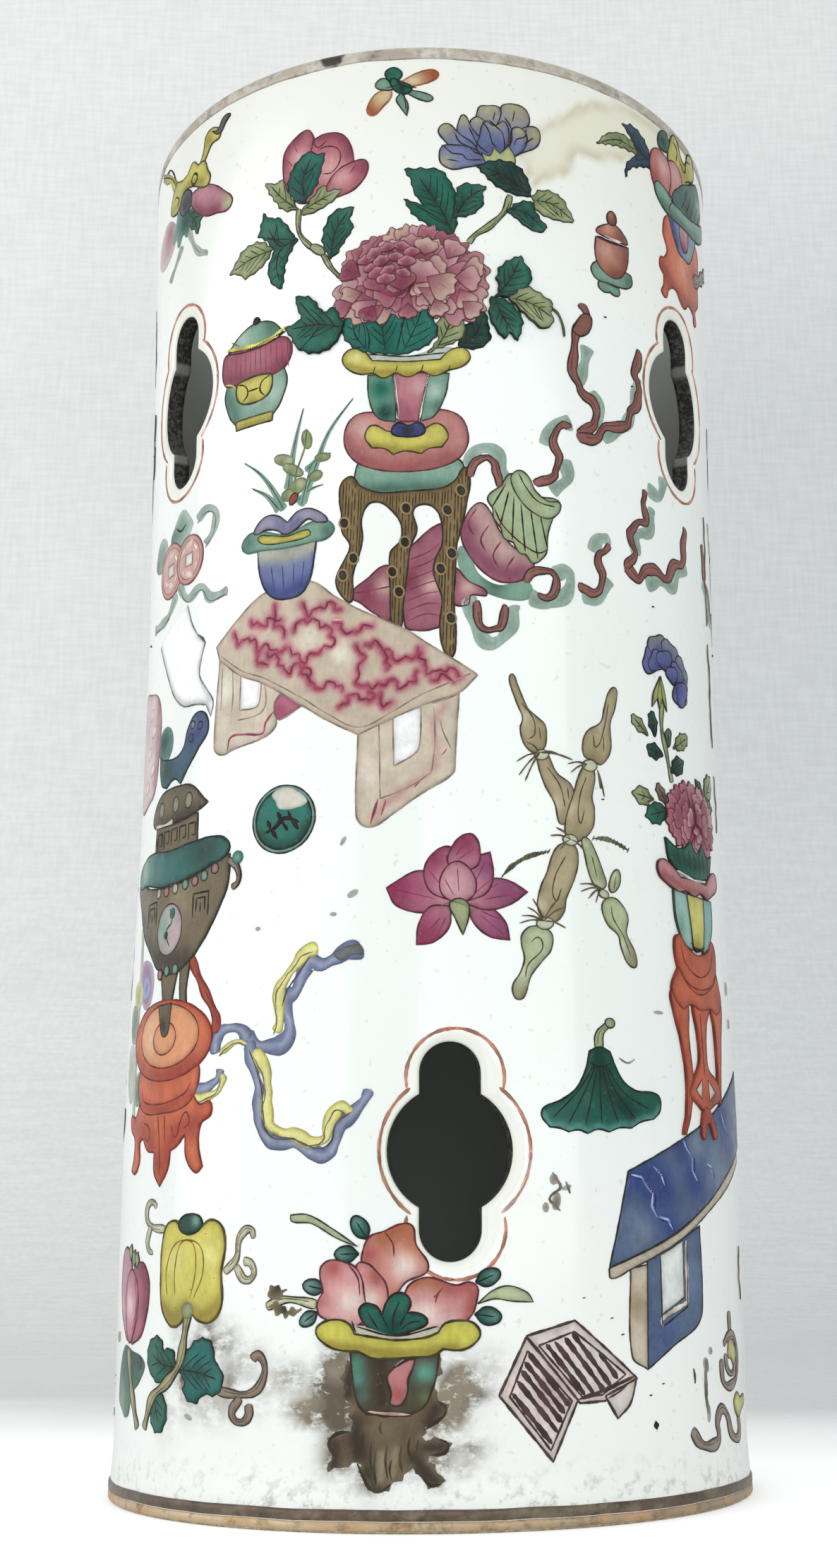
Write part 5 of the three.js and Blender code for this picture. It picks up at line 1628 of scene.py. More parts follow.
def ribbons(p):
    for path in ([(7, 189.6), (9, 193.6), (12.4, 193.4), (14, 189), (16, 187)],
                 [(24, 170), (27.4, 170.6), (26.6, 166), (22, 163.8), (19, 165)],
                 [(7, 164), (8, 159), (11, 155), (15, 158.4), (16, 163)], [(33, 209), (35.4, 206.4), (34.6, 202.6)],
                 [(30, 210.6), (31.4, 214), (32.4, 218.6)], [(36, 200.4), (42, 204.6), (44.6, 210), (46, 216)],
                 [(22.6, 196), (24.6, 200.6), (28.4, 201.8)], [(26.8, 193.6), (27.4, 190), (24, 187)],
                 [(33, 176), (34.6, 179), (37.4, 179.4)], [(30.6, 166.6), (34.4, 167), (36.6, 171)]):
        p.fill(stripe(path, 2.5), (0.50, 0.60, 0.55), edge=(0.70, 0.77, 0.73), reach=0.9)
    for path, width in (([(7.4, 188), (8.4, 191), (10.4, 192), (12.4, 190.4), (13, 186.4)], 1.3),
                        ([(20.4, 187.8), (24, 189.6), (25.5, 193), (24.4, 198), (26.4, 200.8), (28.6, 200.2)], 1.5),
                        ([(30.4, 199.8), (33.4, 202.4), (34.5, 206), (31, 209), (28.9, 213), (29.6, 219), (29.6, 221.6),
                          (32.4, 224.4), (30.8, 228.8)], 1.8),
                        ([(30, 199), (34, 199.6), (37, 203), (41.4, 204), (43.8, 208), (46.2, 212), (45.2, 217),
                          (47, 222.8)], 1.9),
                        ([(18.4, 167.8), (20, 170), (23.6, 170.2), (24.8, 167.6), (23, 165.4), (19.6, 165)], 1.4),
                        ([(29.6, 168.4), (33, 167.6), (35.3, 170.2), (34.4, 175), (37.4, 178.4)], 1.5),
                        ([(8.4, 163), (9, 159), (10.6, 157.4), (13.4, 159), (14.4, 163.4)], 1.3)):
        p.ribbon(waved(path, 0.22, 1.2), width, RIBBON, (0.46, 0.26, 0.25))
    p.shape([(28.8, 221.6, 1), (31.4, 225.6), (33.4, 225.4), (33, 222.4), (30.6, 220.6)], RIBBON, width=0.3)
    p.dots([(49.3, 168.3), (37, 226.5), (44.2, 213.6)], 0.9)


def far_ribbons(p):
    for path in ([(44.4, 178), (44.6, 182), (48.6, 184), (49.6, 189)], [(48.4, 193), (52.4, 192.6), (54, 197)],
                 [(47.6, 172.4), (52, 174.4), (57, 174.6), (59, 178.4), (63, 180)]):
        p.fill(stripe(path, 2.5), (0.50, 0.60, 0.55), edge=(0.70, 0.77, 0.73), reach=0.9)
    for path, width in (([(41.2, 174.8), (45, 173.2), (48.6, 176.2), (54.6, 175.6), (57.2, 179.4), (61, 180.6),
                          (62, 186), (63.2, 190)], 2.1),
                        ([(41.6, 174.6), (44, 178), (42.8, 182), (45, 184.6), (47.6, 186), (47, 190), (47.8, 193.4)],
                         1.5)):
        p.ribbon(waved(path, 0.22, 1.2), width, RIBBON, (0.46, 0.26, 0.25))


paint("silk_ribbons", ribbons, RIGHT, LEFT)
paint("far_ribbons", far_ribbons, RIGHT)


# The two joined coins on the far left, with celadon leaves over them and streamers under them.
# Copper-pink enamel with paler dabs on it; their faces are plain.
def coins(p):
    copper, deep, scratch = (0.82, 0.67, 0.64), (0.62, 0.38, 0.36), (0.94, 0.88, 0.86)
    for blob in ([(-75, 183), (-74, 187.6), (-70, 188.8), (-67.4, 186), (-69, 182)],
                 [(-65.4, 186), (-63, 189.6), (-60, 191.6), (-57.4, 189.8), (-55.8, 187), (-60, 184)]):
        p.fill(blob, (0.52, 0.63, 0.58), (DARK_CELADON, *blob[0], 3), edge=(0.74, 0.80, 0.77), reach=1.2)
    for path in ([(-54, 187.6), (-50.6, 189), (-48, 187.6), (-48.4, 184), (-51, 181.6)],
                 [(-61, 176), (-57, 171.8), (-52, 173), (-49, 170), (-44, 170.2)],
                 [(-62, 174), (-66, 170.6), (-70, 170), (-75, 170.2)]):
        p.fill(stripe(path, 1.9), (0.58, 0.66, 0.62), edge=(0.74, 0.79, 0.76), reach=0.6)
        p.line([(x, y - 0.7) for x, y in path], 0.26, (0.36, 0.42, 0.39))
    for x, size in ((-65, 5.8), (-56.8, 5.1)):
        p.shape(oval(x, 180, size), copper, edge=blend(copper, deep), reach=0.8, ink=(0.52, 0.30, 0.28))
        p.line(oval(x, 180, size - 1), 0.26, deep, True)
        p.shape([(x - 1.4, 181.3, 1), (x + 1.4, 181.3, 1), (x + 1.4, 178.7, 1), (x - 1.4, 178.7, 1)],
                (0.93, 0.93, 0.91), ink=deep)
        for a in (40, 140, 220, 320):
            cosine, sine = math.cos(math.radians(a)), math.sin(math.radians(a))
            u, v = x + 3.2 * cosine, 180 + 3.2 * sine
            p.line([(u - 0.9 * sine, v + 0.9 * cosine), (u + 0.9 * sine, v - 0.9 * cosine)], 0.8, scratch)
        for dx, dy in ((0, 3.1), (0, -3.1)):
            p.fill(oval(x + dx, 180 + dy, 1.9, 0.8, 8 * dy), scratch, edge=copper)
    p.line([(-58.4, 188), (-60.6, 187.2), (-62.6, 188.4)], 0.4)


paint("joined_coins", coins, BACK)


# The white sheet, shaded grey along its folded edges, and the pale rose frame at the far left.
# Opaque white enamel, a little whiter than the glaze, with a thin grey line round it.
def sheet(p):
    outline = [(-57, 170.4, 1), (-55, 166), (-52.6, 163), (-50.2, 161, 1), (-51.4, 158), (-51.8, 154.6), (-49, 151),
               (-47.2, 148.4), (-47.8, 145.6, 1), (-49.4, 148.2), (-53, 149), (-57.4, 149.6), (-61.6, 152.6),
               (-65.4, 158), (-70, 165, 1), (-64, 168)]
    p.fill(outline, (1, 1, 1),
           ((0.74, 0.75, 0.74),
            [(-70, 165), (-65.4, 158), (-61.6, 152.8), (-57, 149.8), (-50, 148.4), (-48, 146)], 0.9),
           ((0.74, 0.75, 0.74), [(-56.6, 169.6), (-52.8, 163.4), (-50.4, 161), (-51.8, 156), (-48, 149)], 0.8), slot=1)
    p.line(outline[9:-1], 0.36, (0.45, 0.44, 0.43))
    p.line(outline[:10], 0.3, (0.52, 0.51, 0.50))
    p.line([(-53, 163.4), (-51, 162), (-50.2, 161)], 0.6, (0.35, 0.36, 0.35))


def frame_edge(p):
    p.shape([(-83, 157), (-76, 156.6), (-70.6, 154.6), (-68.2, 150), (-68.8, 142), (-70, 136), (-73, 133.6),
             (-83, 134)], (0.84, 0.76, 0.76),
            ((0.68, 0.52, 0.54), [(-70, 153), (-69.6, 145), (-71, 137)], 1.6), ink=(0.6, 0.45, 0.46))
    for x, y in ((-75, 152), (-73, 148), (-76, 144), (-73, 140), (-77, 137)):
        p.fill(oval(x, y, 2, 1.2, 20), (0.93, 0.90, 0.89), edge=(0.74, 0.6, 0.6))


paint("folded_sheet", sheet, BACK)
paint("rose_frame", frame_edge)


# The orchid in its blue pot, whose lavender ruffles spill over a celadon and yellow rim.
# Its leaves are tapering strokes of green enamel; the pot is a blue wash, pooled at the foot.
def orchid(p):
    for path, width in (([(-30, 184), (-33, 189), (-36, 192.6), (-39.8, 195.6)], 1.5),
                        ([(-31, 184), (-34, 187.4), (-37.8, 189.8)], 1.6),
                        ([(-29, 188), (-28, 195), (-27, 199.6), (-25.8, 204)], 1.7),
                        ([(-26, 184), (-23.6, 190), (-20.4, 198), (-15.4, 204.6)], 1.6),
                        ([(-27, 185), (-24, 187), (-21.4, 187.6)], 1.1),
                        ([(-25, 191), (-22, 193.4), (-19.8, 193.8)], 1.2), ([(-26, 184), (-25, 188), (-24, 192)], 1.1)):
        middle = spline(path)
        away = leftwards(middle) * (width / 2 * np.linspace(1.1, 0.12, len(middle)))[:, None]
        p.fill(both_sides(middle, away), (0.42, 0.56, 0.50), edge=(0.60, 0.70, 0.64), reach=0.4, grain=0.6)
        p.line(path, 0.22, (0.16, 0.30, 0.27))
    for x, y, a, b, tilt in ((-30, 194, 2.4, 1.1, -20), (-28, 191.6, 2.6, 1, -30), (-27, 188, 2.2, 1.4, 30),
                             (-25, 197.4, 1, 2, 10), (-23, 189.6, 1.4, 1, 20), (-29, 186.6, 1.4, 1.2, 0),
                             (-21.6, 193.2, 1.6, 0.8, 0)):
        p.shape(oval(x, y, a, b, tilt), (0.70, 0.72, 0.58), (DARK_OLIVE, x - 0.6, y - 0.4, 1), width=0.26,
                ink=DARK_OLIVE)
    p.line([(-27, 185), (-27.4, 190), (-25.4, 196), (-25, 199.6)], 0.3, DARK_OLIVE)
    p.shape([(-28.6, 184.6), (-28, 186.6), (-26.8, 186.4), (-27.4, 184.8)], (0.66, 0.30, 0.28), width=0.25)
    p.shape([(-36, 177.4, 1), (-35.2, 171), (-33, 167), (-30, 165.6), (-26, 166), (-24, 168.6), (-22.6, 177, 1),
             (-29, 176.4)], (0.40, 0.44, 0.62),
            ((0.68, 0.68, 0.62), [(-36, 175.8), (-29, 174.6), (-22.8, 175.8)], 2),
            (DEEP_BLUE, [(-33.6, 168), (-30, 166.6), (-25, 168)], 1.7), edge=DEEP_BLUE, reach=0.4)
    for x in (-32.6, -30, -27.4, -25.2):
        p.line([(x, 172.6), (x * 0.8 - 5.6, 167.4)], 0.26, DEEP_BLUE)
    p.shape([(-40, 178.4), (-38.4, 180.2), (-35.6, 180.4), (-29, 178.6), (-24, 180.2), (-20.6, 180.2), (-19, 178.4),
             (-20.4, 176.6), (-23, 176.2), (-29, 175.8), (-36, 176.4), (-38.8, 176.6)], CELADON,
            (DARK_CELADON, -38.4, 178.4, 1.5), (DARK_CELADON, -20.6, 178.2, 1.4), ink=(0.25, 0.38, 0.34), width=0.24)
    p.shape([(-35.8, 179.2), (-33, 179), (-29, 178.2), (-24.4, 178.8), (-24, 177.6), (-29, 177), (-34.6, 177.6)],
            YELLOW, width=0.3)
    p.shape([(-37, 180.4), (-34.4, 183), (-31.4, 182.8), (-29, 181, 1), (-26.4, 183), (-23.4, 182.8), (-20.4, 180.2),
             (-22.6, 180, 1), (-24.6, 181), (-27, 179.4), (-29.4, 178.6), (-31.4, 179.8), (-34, 180.4), (-36, 179.8)],
            (0.60, 0.58, 0.68),
            ((0.42, 0.42, 0.56), [(-31, 181), (-29, 179.4), (-26.6, 181)], 1), width=0.32)


paint("orchid_pot", orchid, RIGHT, LEFT)


# The stone table on which the orchid stands: beige, with wavy magenta veins over its top.
# The veins are worked into the wet beige enamel, and gone over once with a thin brush.
STONE, VEIN = (0.82, 0.77, 0.69), (0.60, 0.28, 0.37)


def stone_table(p):
    grey, white, pink, rosy = (0.58, 0.51, 0.46), (1, 1, 1), (0.74, 0.47, 0.52, 0.85), (0.88, 0.73, 0.72)
    p.shape([(-45.5, 156.3, 1), (-46.5, 139.2), (-45.5, 137.7), (-43.4, 137.1), (-41.3, 137.7), (-33.4, 139),
             (-30.9, 140.8), (-30.4, 143.3), (-25.2, 144.2, 1), (-30, 150.4), (-38, 155)], STONE,
            ((0.88, 0.85, 0.80), -44, 150, 3), ((0.88, 0.80, 0.76), -37, 139, 3), ink=grey, width=0.34)
    p.shape([(-39.6, 153, 1), (-34.4, 150.6, 1), (-34.6, 147), (-35.4, 145.2), (-39.6, 145.2, 1)], white, ink=grey,
            width=0.34)
    p.shape([(-31.3, 145.4, 1), (-29.7, 146.9), (-25.3, 144, 1), (-30.1, 141.9), (-31.3, 143.3, 1)], (0.74, 0.42, 0.52),
            (VEIN, -30, 143.6, 1.6), ink=grey, width=0.28)
    for path in ([(-41.8, 153.8), (-41.5, 148.3), (-41.8, 145)],
                 [(-33.8, 150.4), (-33.2, 146.7), (-33.6, 144.6), (-35.5, 143.5), (-40.1, 143.3)],
                 [(-44.6, 154.6), (-44.8, 146)]):
        p.line(path, 0.3, grey)
    p.line([(-42.6, 137.7), (-41.8, 140.2), (-38, 140.2), (-33.8, 139.8), (-33.2, 141.7), (-31.3, 143.8)], 0.5, VEIN)
    p.shape([(-13.8, 138, 1), (-14, 122.5), (-12.6, 120.2), (-10.3, 120.2), (-6.3, 122.9), (-2.2, 125.8), (3.9, 129.8),
             (4.3, 132.5), (4.6, 137.5), (5.2, 146, 1), (-4, 142.6)], STONE, ((0.88, 0.83, 0.78), -12, 130, 2.6),
            ((0.84, 0.74, 0.70), -6, 125, 2.4),
            ((0.72, 0.48, 0.50, 0.55),
             [(-10.4, 121.6), (-8.6, 124.2), (-4, 127.6), (0, 130.4), (1, 134), (0.4, 139), (2.6, 143)], 0.8), ink=grey,
            width=0.34)
    p.shape([(-7.3, 141, 1), (-2, 142.4, 1), (-2.1, 136.5), (-2.8, 133.8), (-7, 131.2, 1)], white, ink=grey, width=0.34)
    for path in ([(-9.9, 140), (-9.5, 125.2, 1), (-6.3, 126.3), (-3, 127.9), (0, 130)],
                 [(1.6, 140), (2, 138), (3.7, 134.2)], [(0, 143), (2.6, 143.8), (5, 145)],
                 [(0, 130), (0.6, 136), (0.4, 142.4)]):
        p.line(path, 0.3, grey)
    for path in ([(-9.9, 125.2), (-11.3, 120.4)], [(-8.4, 125), (-9.3, 122)], [(-3.2, 127.2), (-2.2, 128.2)],
                 [(1.9, 133.2), (2.8, 134.4)]):
        p.line(path, 0.6, VEIN)
    veins = ([(-41.9, 160.6), (-39.9, 158.6), (-37.1, 159), (-35.3, 156.5), (-33.1, 156.9), (-31, 155.1), (-29, 156.1)],
             [(-37.2, 162.5), (-34.5, 160.9), (-32.9, 162), (-30.3, 159.9), (-29, 158.4)],
             [(-35.4, 155.3), (-34.7, 153.2), (-33.1, 153.4)],
             [(-27.4, 159.4), (-24.7, 160.7), (-21.7, 159.6), (-19.3, 157.6), (-19, 155.6), (-20.9, 154.5),
              (-23.1, 153.9), (-25, 152.6), (-26.9, 154.2), (-28.4, 156)],
             [(-14.4, 154.6), (-13.2, 152.8), (-13.8, 150.1), (-14.3, 148), (-12.2, 146.3), (-10.1, 147.1)],
             [(-33.1, 155.4), (-30.5, 153.6), (-28.9, 151), (-26.1, 152.1), (-23.8, 150.3), (-23, 147.3),
              (-20.8, 147.3), (-18.6, 147.8), (-17.1, 146.1)],
             [(-12.4, 154.9), (-10.2, 154.6), (-8.1, 153), (-6.5, 151.5), (-4, 151.8), (-1.9, 153.7)],
             [(-2.1, 152.7), (-1.5, 150.4), (0.1, 148.8), (2.8, 149.7), (5.7, 148.2)],
             [(-9.8, 146.9), (-7.3, 147.4), (-5.3, 146.1), (-3.6, 147.6), (-2.7, 149.1)],
             [(-17.4, 142.9), (-15.7, 144.6), (-13.6, 144.9), (-11.5, 143.6), (-11.9, 145.8)],
             [(-10.1, 144.8), (-8.6, 142.6), (-7.3, 143.4)],
             [(-25.7, 163.8), (-24, 161.9), (-21.7, 162.8), (-19.5, 163.3), (-17.7, 162)],
             [(-14.5, 157.6), (-13, 158), (-11.1, 158.6)], [(-18.3, 159.7), (-17.6, 158.3), (-15.4, 157.1)],
             [(-31.2, 164.5), (-31.9, 162.8), (-29.9, 161.3)], [(0.1, 147.6), (2.2, 148.1), (4.2, 147.6)],
             [(-25.3, 152), (-24.7, 149.7), (-23.6, 148.3)], [(-9.5, 153.1), (-8.1, 151.2), (-8.6, 149.8)])
    top = [(-46.5, 159.1, 1), (-40.1, 164), (-34.2, 167.5), (-23.8, 168.3), (-18.8, 164.8), (-13.4, 161.5),
           (-5.1, 157.5), (-0.1, 154.2), (7.4, 149.6), (8.6, 148.7, 1), (5.3, 145.4), (-2.2, 142.5), (-8, 140),
           (-13.8, 137.5, 1), (-20.1, 140.8), (-25.3, 144.2), (-34, 149.6), (-39.7, 152.1), (-45.5, 156.3, 1)]
    wavy = [waved(path, 0.5, 1.9, p.luck.uniform(0, 6)) for path in veins]
    p.shape(top, (0.79, 0.73, 0.65), *[(pink, path, 1.05) for path in veins], ((0.90, 0.87, 0.80), -17.6, 153.3, 2.2),
            ((0.88, 0.84, 0.77), -24, 157.5, 2.4), *[((0.62, 0.29, 0.37, 0.95), path, 0.5) for path in wavy],
            *[((0.63, 0.27, 0.36, 0.85), path[3 * k:3 * k + 4],
               0.62) for path in wavy for k in range(0, len(path) // 3, 3)], edge=(0.72, 0.64, 0.56), reach=0.5,
            ink=grey, grain=0.45, width=0.34)
    p.line([(-45, 157), (-39.4, 153), (-33.8, 150.6), (-25, 145.4), (-20, 142), (-13.6, 138.9), (-7.2, 141.7),
            (-2.2, 144.6), (2, 146.5), (7.5, 149)], 0.3, grey)
    for path in wavy:
        p.level += STROKE
        p.line([(x + 0.1, y + 0.12) for x, y in path], 0.42, (0.54, 0.22, 0.31), ends=2)
    p.line([(-19.7, 160.2), (-17.2, 160)], 0.4, rosy)


paint("stone_table", stone_table, RIGHT, LEFT)


# The green disc with its pale cap: a flat wash of teal enamel in a celadon ring. Its face
# carries a plain leaf sprig in ink.
def disc(p):
    p.shape(oval(-28.7, 122.7, 6.7, 6.4), (0.52, 0.66, 0.62), width=0.34)
    p.shape(oval(-28.7, 122.7, 6.0, 5.7), (0.10, 0.43, 0.38),
            (DARK_TEAL, [(-34, 120.4), (-31, 118), (-26, 118), (-23.4, 121)], 1.1), width=0.4)
    p.fill([(-31.3, 127.6), (-28.4, 128.7), (-25.5, 127.6), (-23.6, 125.6), (-24.7, 124.8, 1), (-27.2, 124.4),
            (-29.7, 124.8), (-30.4, 126.3)], (0.84, 0.82, 0.77), edge=(0.72, 0.76, 0.72), reach=0.4)
    p.line([(-32.6, 120.4), (-30.4, 121.2), (-28.4, 122.8), (-25.2, 121.8)], 1, ends=1.4)
    for x, y in ((-31.2, 121), (-29, 122.4), (-26.8, 122.4)):
        p.line([(x, y), (x - 0.9, y + 1.8)], 1, ends=1)
        p.line([(x, y), (x + 1.5, y - 2)], 0.95, ends=1)


paint("green_disc", disc, RIGHT, LEFT)


# A yellow and blue silk ribbon that waves across the middle of the left half. Its two strands
# are strokes of enamel side by side, with ink between them and one end gone grey.
def blue_ribbon(p):
    lilac, gold = (0.42, 0.46, 0.59), (0.87, 0.85, 0.50)
    for path, width in (([(-12.4, 97.5), (-15.2, 97.4), (-17.7, 96), (-20, 95.1), (-22.2, 96), (-23.8, 93.5),
                          (-24.8, 90.8), (-27, 89.5), (-27, 87.8), (-26, 84.9), (-26.7, 81.8), (-29.7, 81),
                          (-33.1, 81.5), (-35.1, 83)], 2.8),
                        ([(-34.4, 81.9), (-33.4, 77.7), (-32.1, 74.2), (-31.9, 70), (-31.4, 66.6), (-28.9, 64.2),
                          (-24.6, 63.8), (-21.6, 62.3), (-18.7, 61.6), (-16.9, 63.5), (-16.2, 66.2), (-14.1, 68.5),
                          (-12.4, 70.1), (-10.7, 72.9)], 2.2),
                        ([(-42.5, 80.7), (-42.2, 83.5), (-39.5, 84.9), (-36.3, 84.3), (-34.7, 82.3)], 2.2),
                        ([(-47.7, 74.2), (-44.6, 74.5), (-42.1, 75.5), (-41, 77.4)], 1.8)):
        p.fill(stripe(waved(path, 0.12, 1.6), width, 0.3), lilac, (paler(lilac, 0.35), path, 0.5),
               edge=(0.36, 0.39, 0.50), reach=0.4, grain=0.6)
    p.fill(stripe([(-17.4, 96.2), (-15, 97.4), (-12.2, 97.6)], 1.9, 0.1), (0.42, 0.44, 0.45), edge=(0.34, 0.36, 0.38),
           reach=0.4)
    for path, width in (([(-21.1, 98.3), (-23.3, 97.4), (-25.4, 94.9), (-27.8, 92), (-28.4, 89.3), (-28, 86.4),
                          (-28.6, 83.3)], 2.1),
                        ([(-41.1, 80.1), (-39.2, 81.7), (-36.2, 82.3), (-34.7, 81.7)], 0.9),
                        ([(-47.8, 72.5), (-43.5, 72.9), (-40.7, 74.6), (-40.2, 76.8)], 1.5),
                        ([(-33.1, 80.3), (-31.1, 77.6), (-30, 74.1), (-30.3, 70.7), (-29.8, 67.6), (-27.6, 65.9),
                          (-24.7, 65.4), (-20.9, 63.9), (-18.7, 64.6), (-17.8, 67.6), (-16.1, 69.9), (-14.1, 69)],
                         2.1)):
        path = waved(path, 0.12, 1.6, 1)
        p.fill(stripe(path, width, 0.3), gold, (paler(gold), path, 0.45), edge=DARK_YELLOW, reach=0.3, grain=0.5)
        p.line([(x - 0.3 * width, y - 0.3 * width) for x, y in path], 0.28, (0.42, 0.40, 0.34))
    for path in ([(-22.2, 96.9), (-24.6, 93.6), (-26.6, 91), (-27.6, 88)],
                 [(-34.3, 80.6), (-32.3, 76.4), (-31.2, 72.4), (-31, 68), (-29, 65), (-24.6, 64.5), (-20, 62.8),
                  (-17.7, 63.9), (-16.8, 67), (-14, 69)]):
        p.line(path, 0.3, (0.30, 0.31, 0.36))


paint("yellow_blue_ribbon", blue_ribbon, RIGHT, LEFT)


# The pink lotus flower: eight petals of rose enamel, shaded from deep tips to pale hearts,
# outlined and then veined with two fine strokes each.
def lotus(p):
    rose, deep = (0.66, 0.38, 0.48), (0.54, 0.18, 0.32)
    for outline, spot in (([(4.4, 105.6, 1), (1.6, 110.4), (-2.6, 111.6), (-8.2, 108.6, 1), (-6.4, 105.4), (-1.6, 104)],
                           (-7, 108.4, 4)),
                          ([(3.4, 105.2, 1), (3.2, 101.6), (0.6, 98.8), (-2.7, 98.2, 1), (-2.4, 101.6), (-0.4, 105)],
                           (-1.6, 99.6, 3.4)),
                          ([(6.6, 105.4, 1), (10.4, 105.2), (13.4, 102.4), (14.1, 99.3, 1), (10.4, 99.8), (7.4, 102.4)],
                           (12.6, 100.6, 3.4)),
                          ([(6, 105.8, 1), (9.4, 109.8), (13.4, 110.3), (17.7, 108.2, 1), (14, 105.6), (9.6, 104.6)],
                           (15, 108, 4)),
                          ([(4, 106, 1), (-0.4, 108), (-1.2, 112.6), (2.4, 116.1), (5.6, 114)], (0.4, 113.6, 3)),
                          ([(6, 106, 1), (9.8, 107.6), (11.2, 110.6), (10.7, 115.3, 1), (7.4, 113.6)], (9.8, 113, 3)),
                          ([(3.2, 112.6), (4, 116.6), (7, 118.6), (8.7, 116.4), (8, 112.4)], (6, 117.4, 3)),
                          ([(5, 105.4, 1), (1.8, 107.4), (1.8, 111), (4.6, 113.4), (7.6, 111), (7.8, 107.6)],
                           (5, 106, 1.6))):
        hue = blend(deep, (0.48, 0.26, 0.44), 0.6) if spot[0] > 9 else deep
        p.shape(outline, rose, (hue, *spot), ((0.80, 0.62, 0.64), 4.6, 109, 4), ink=ROSE_INK, width=0.32)
        start = np.array(outline[0][:2])
        for k in (2, 3):
            stop = np.array(outline[k][:2])
            p.line([tuple(start + (stop - start) * 0.3), tuple(start + (stop - start) * 0.85)], 0.2, deep)
    p.shape([(3.2, 105.6), (5, 106.6), (6.6, 105.6), (6.6, 103), (5.6, 100, 1), (4.2, 103)], OLIVE, width=0.3)
    p.line([(1.6, 105.2), (4, 106), (8, 104.4)], 0.3, DARK_OLIVE)


paint("lotus_flower", lotus, RIGHT, LEFT)


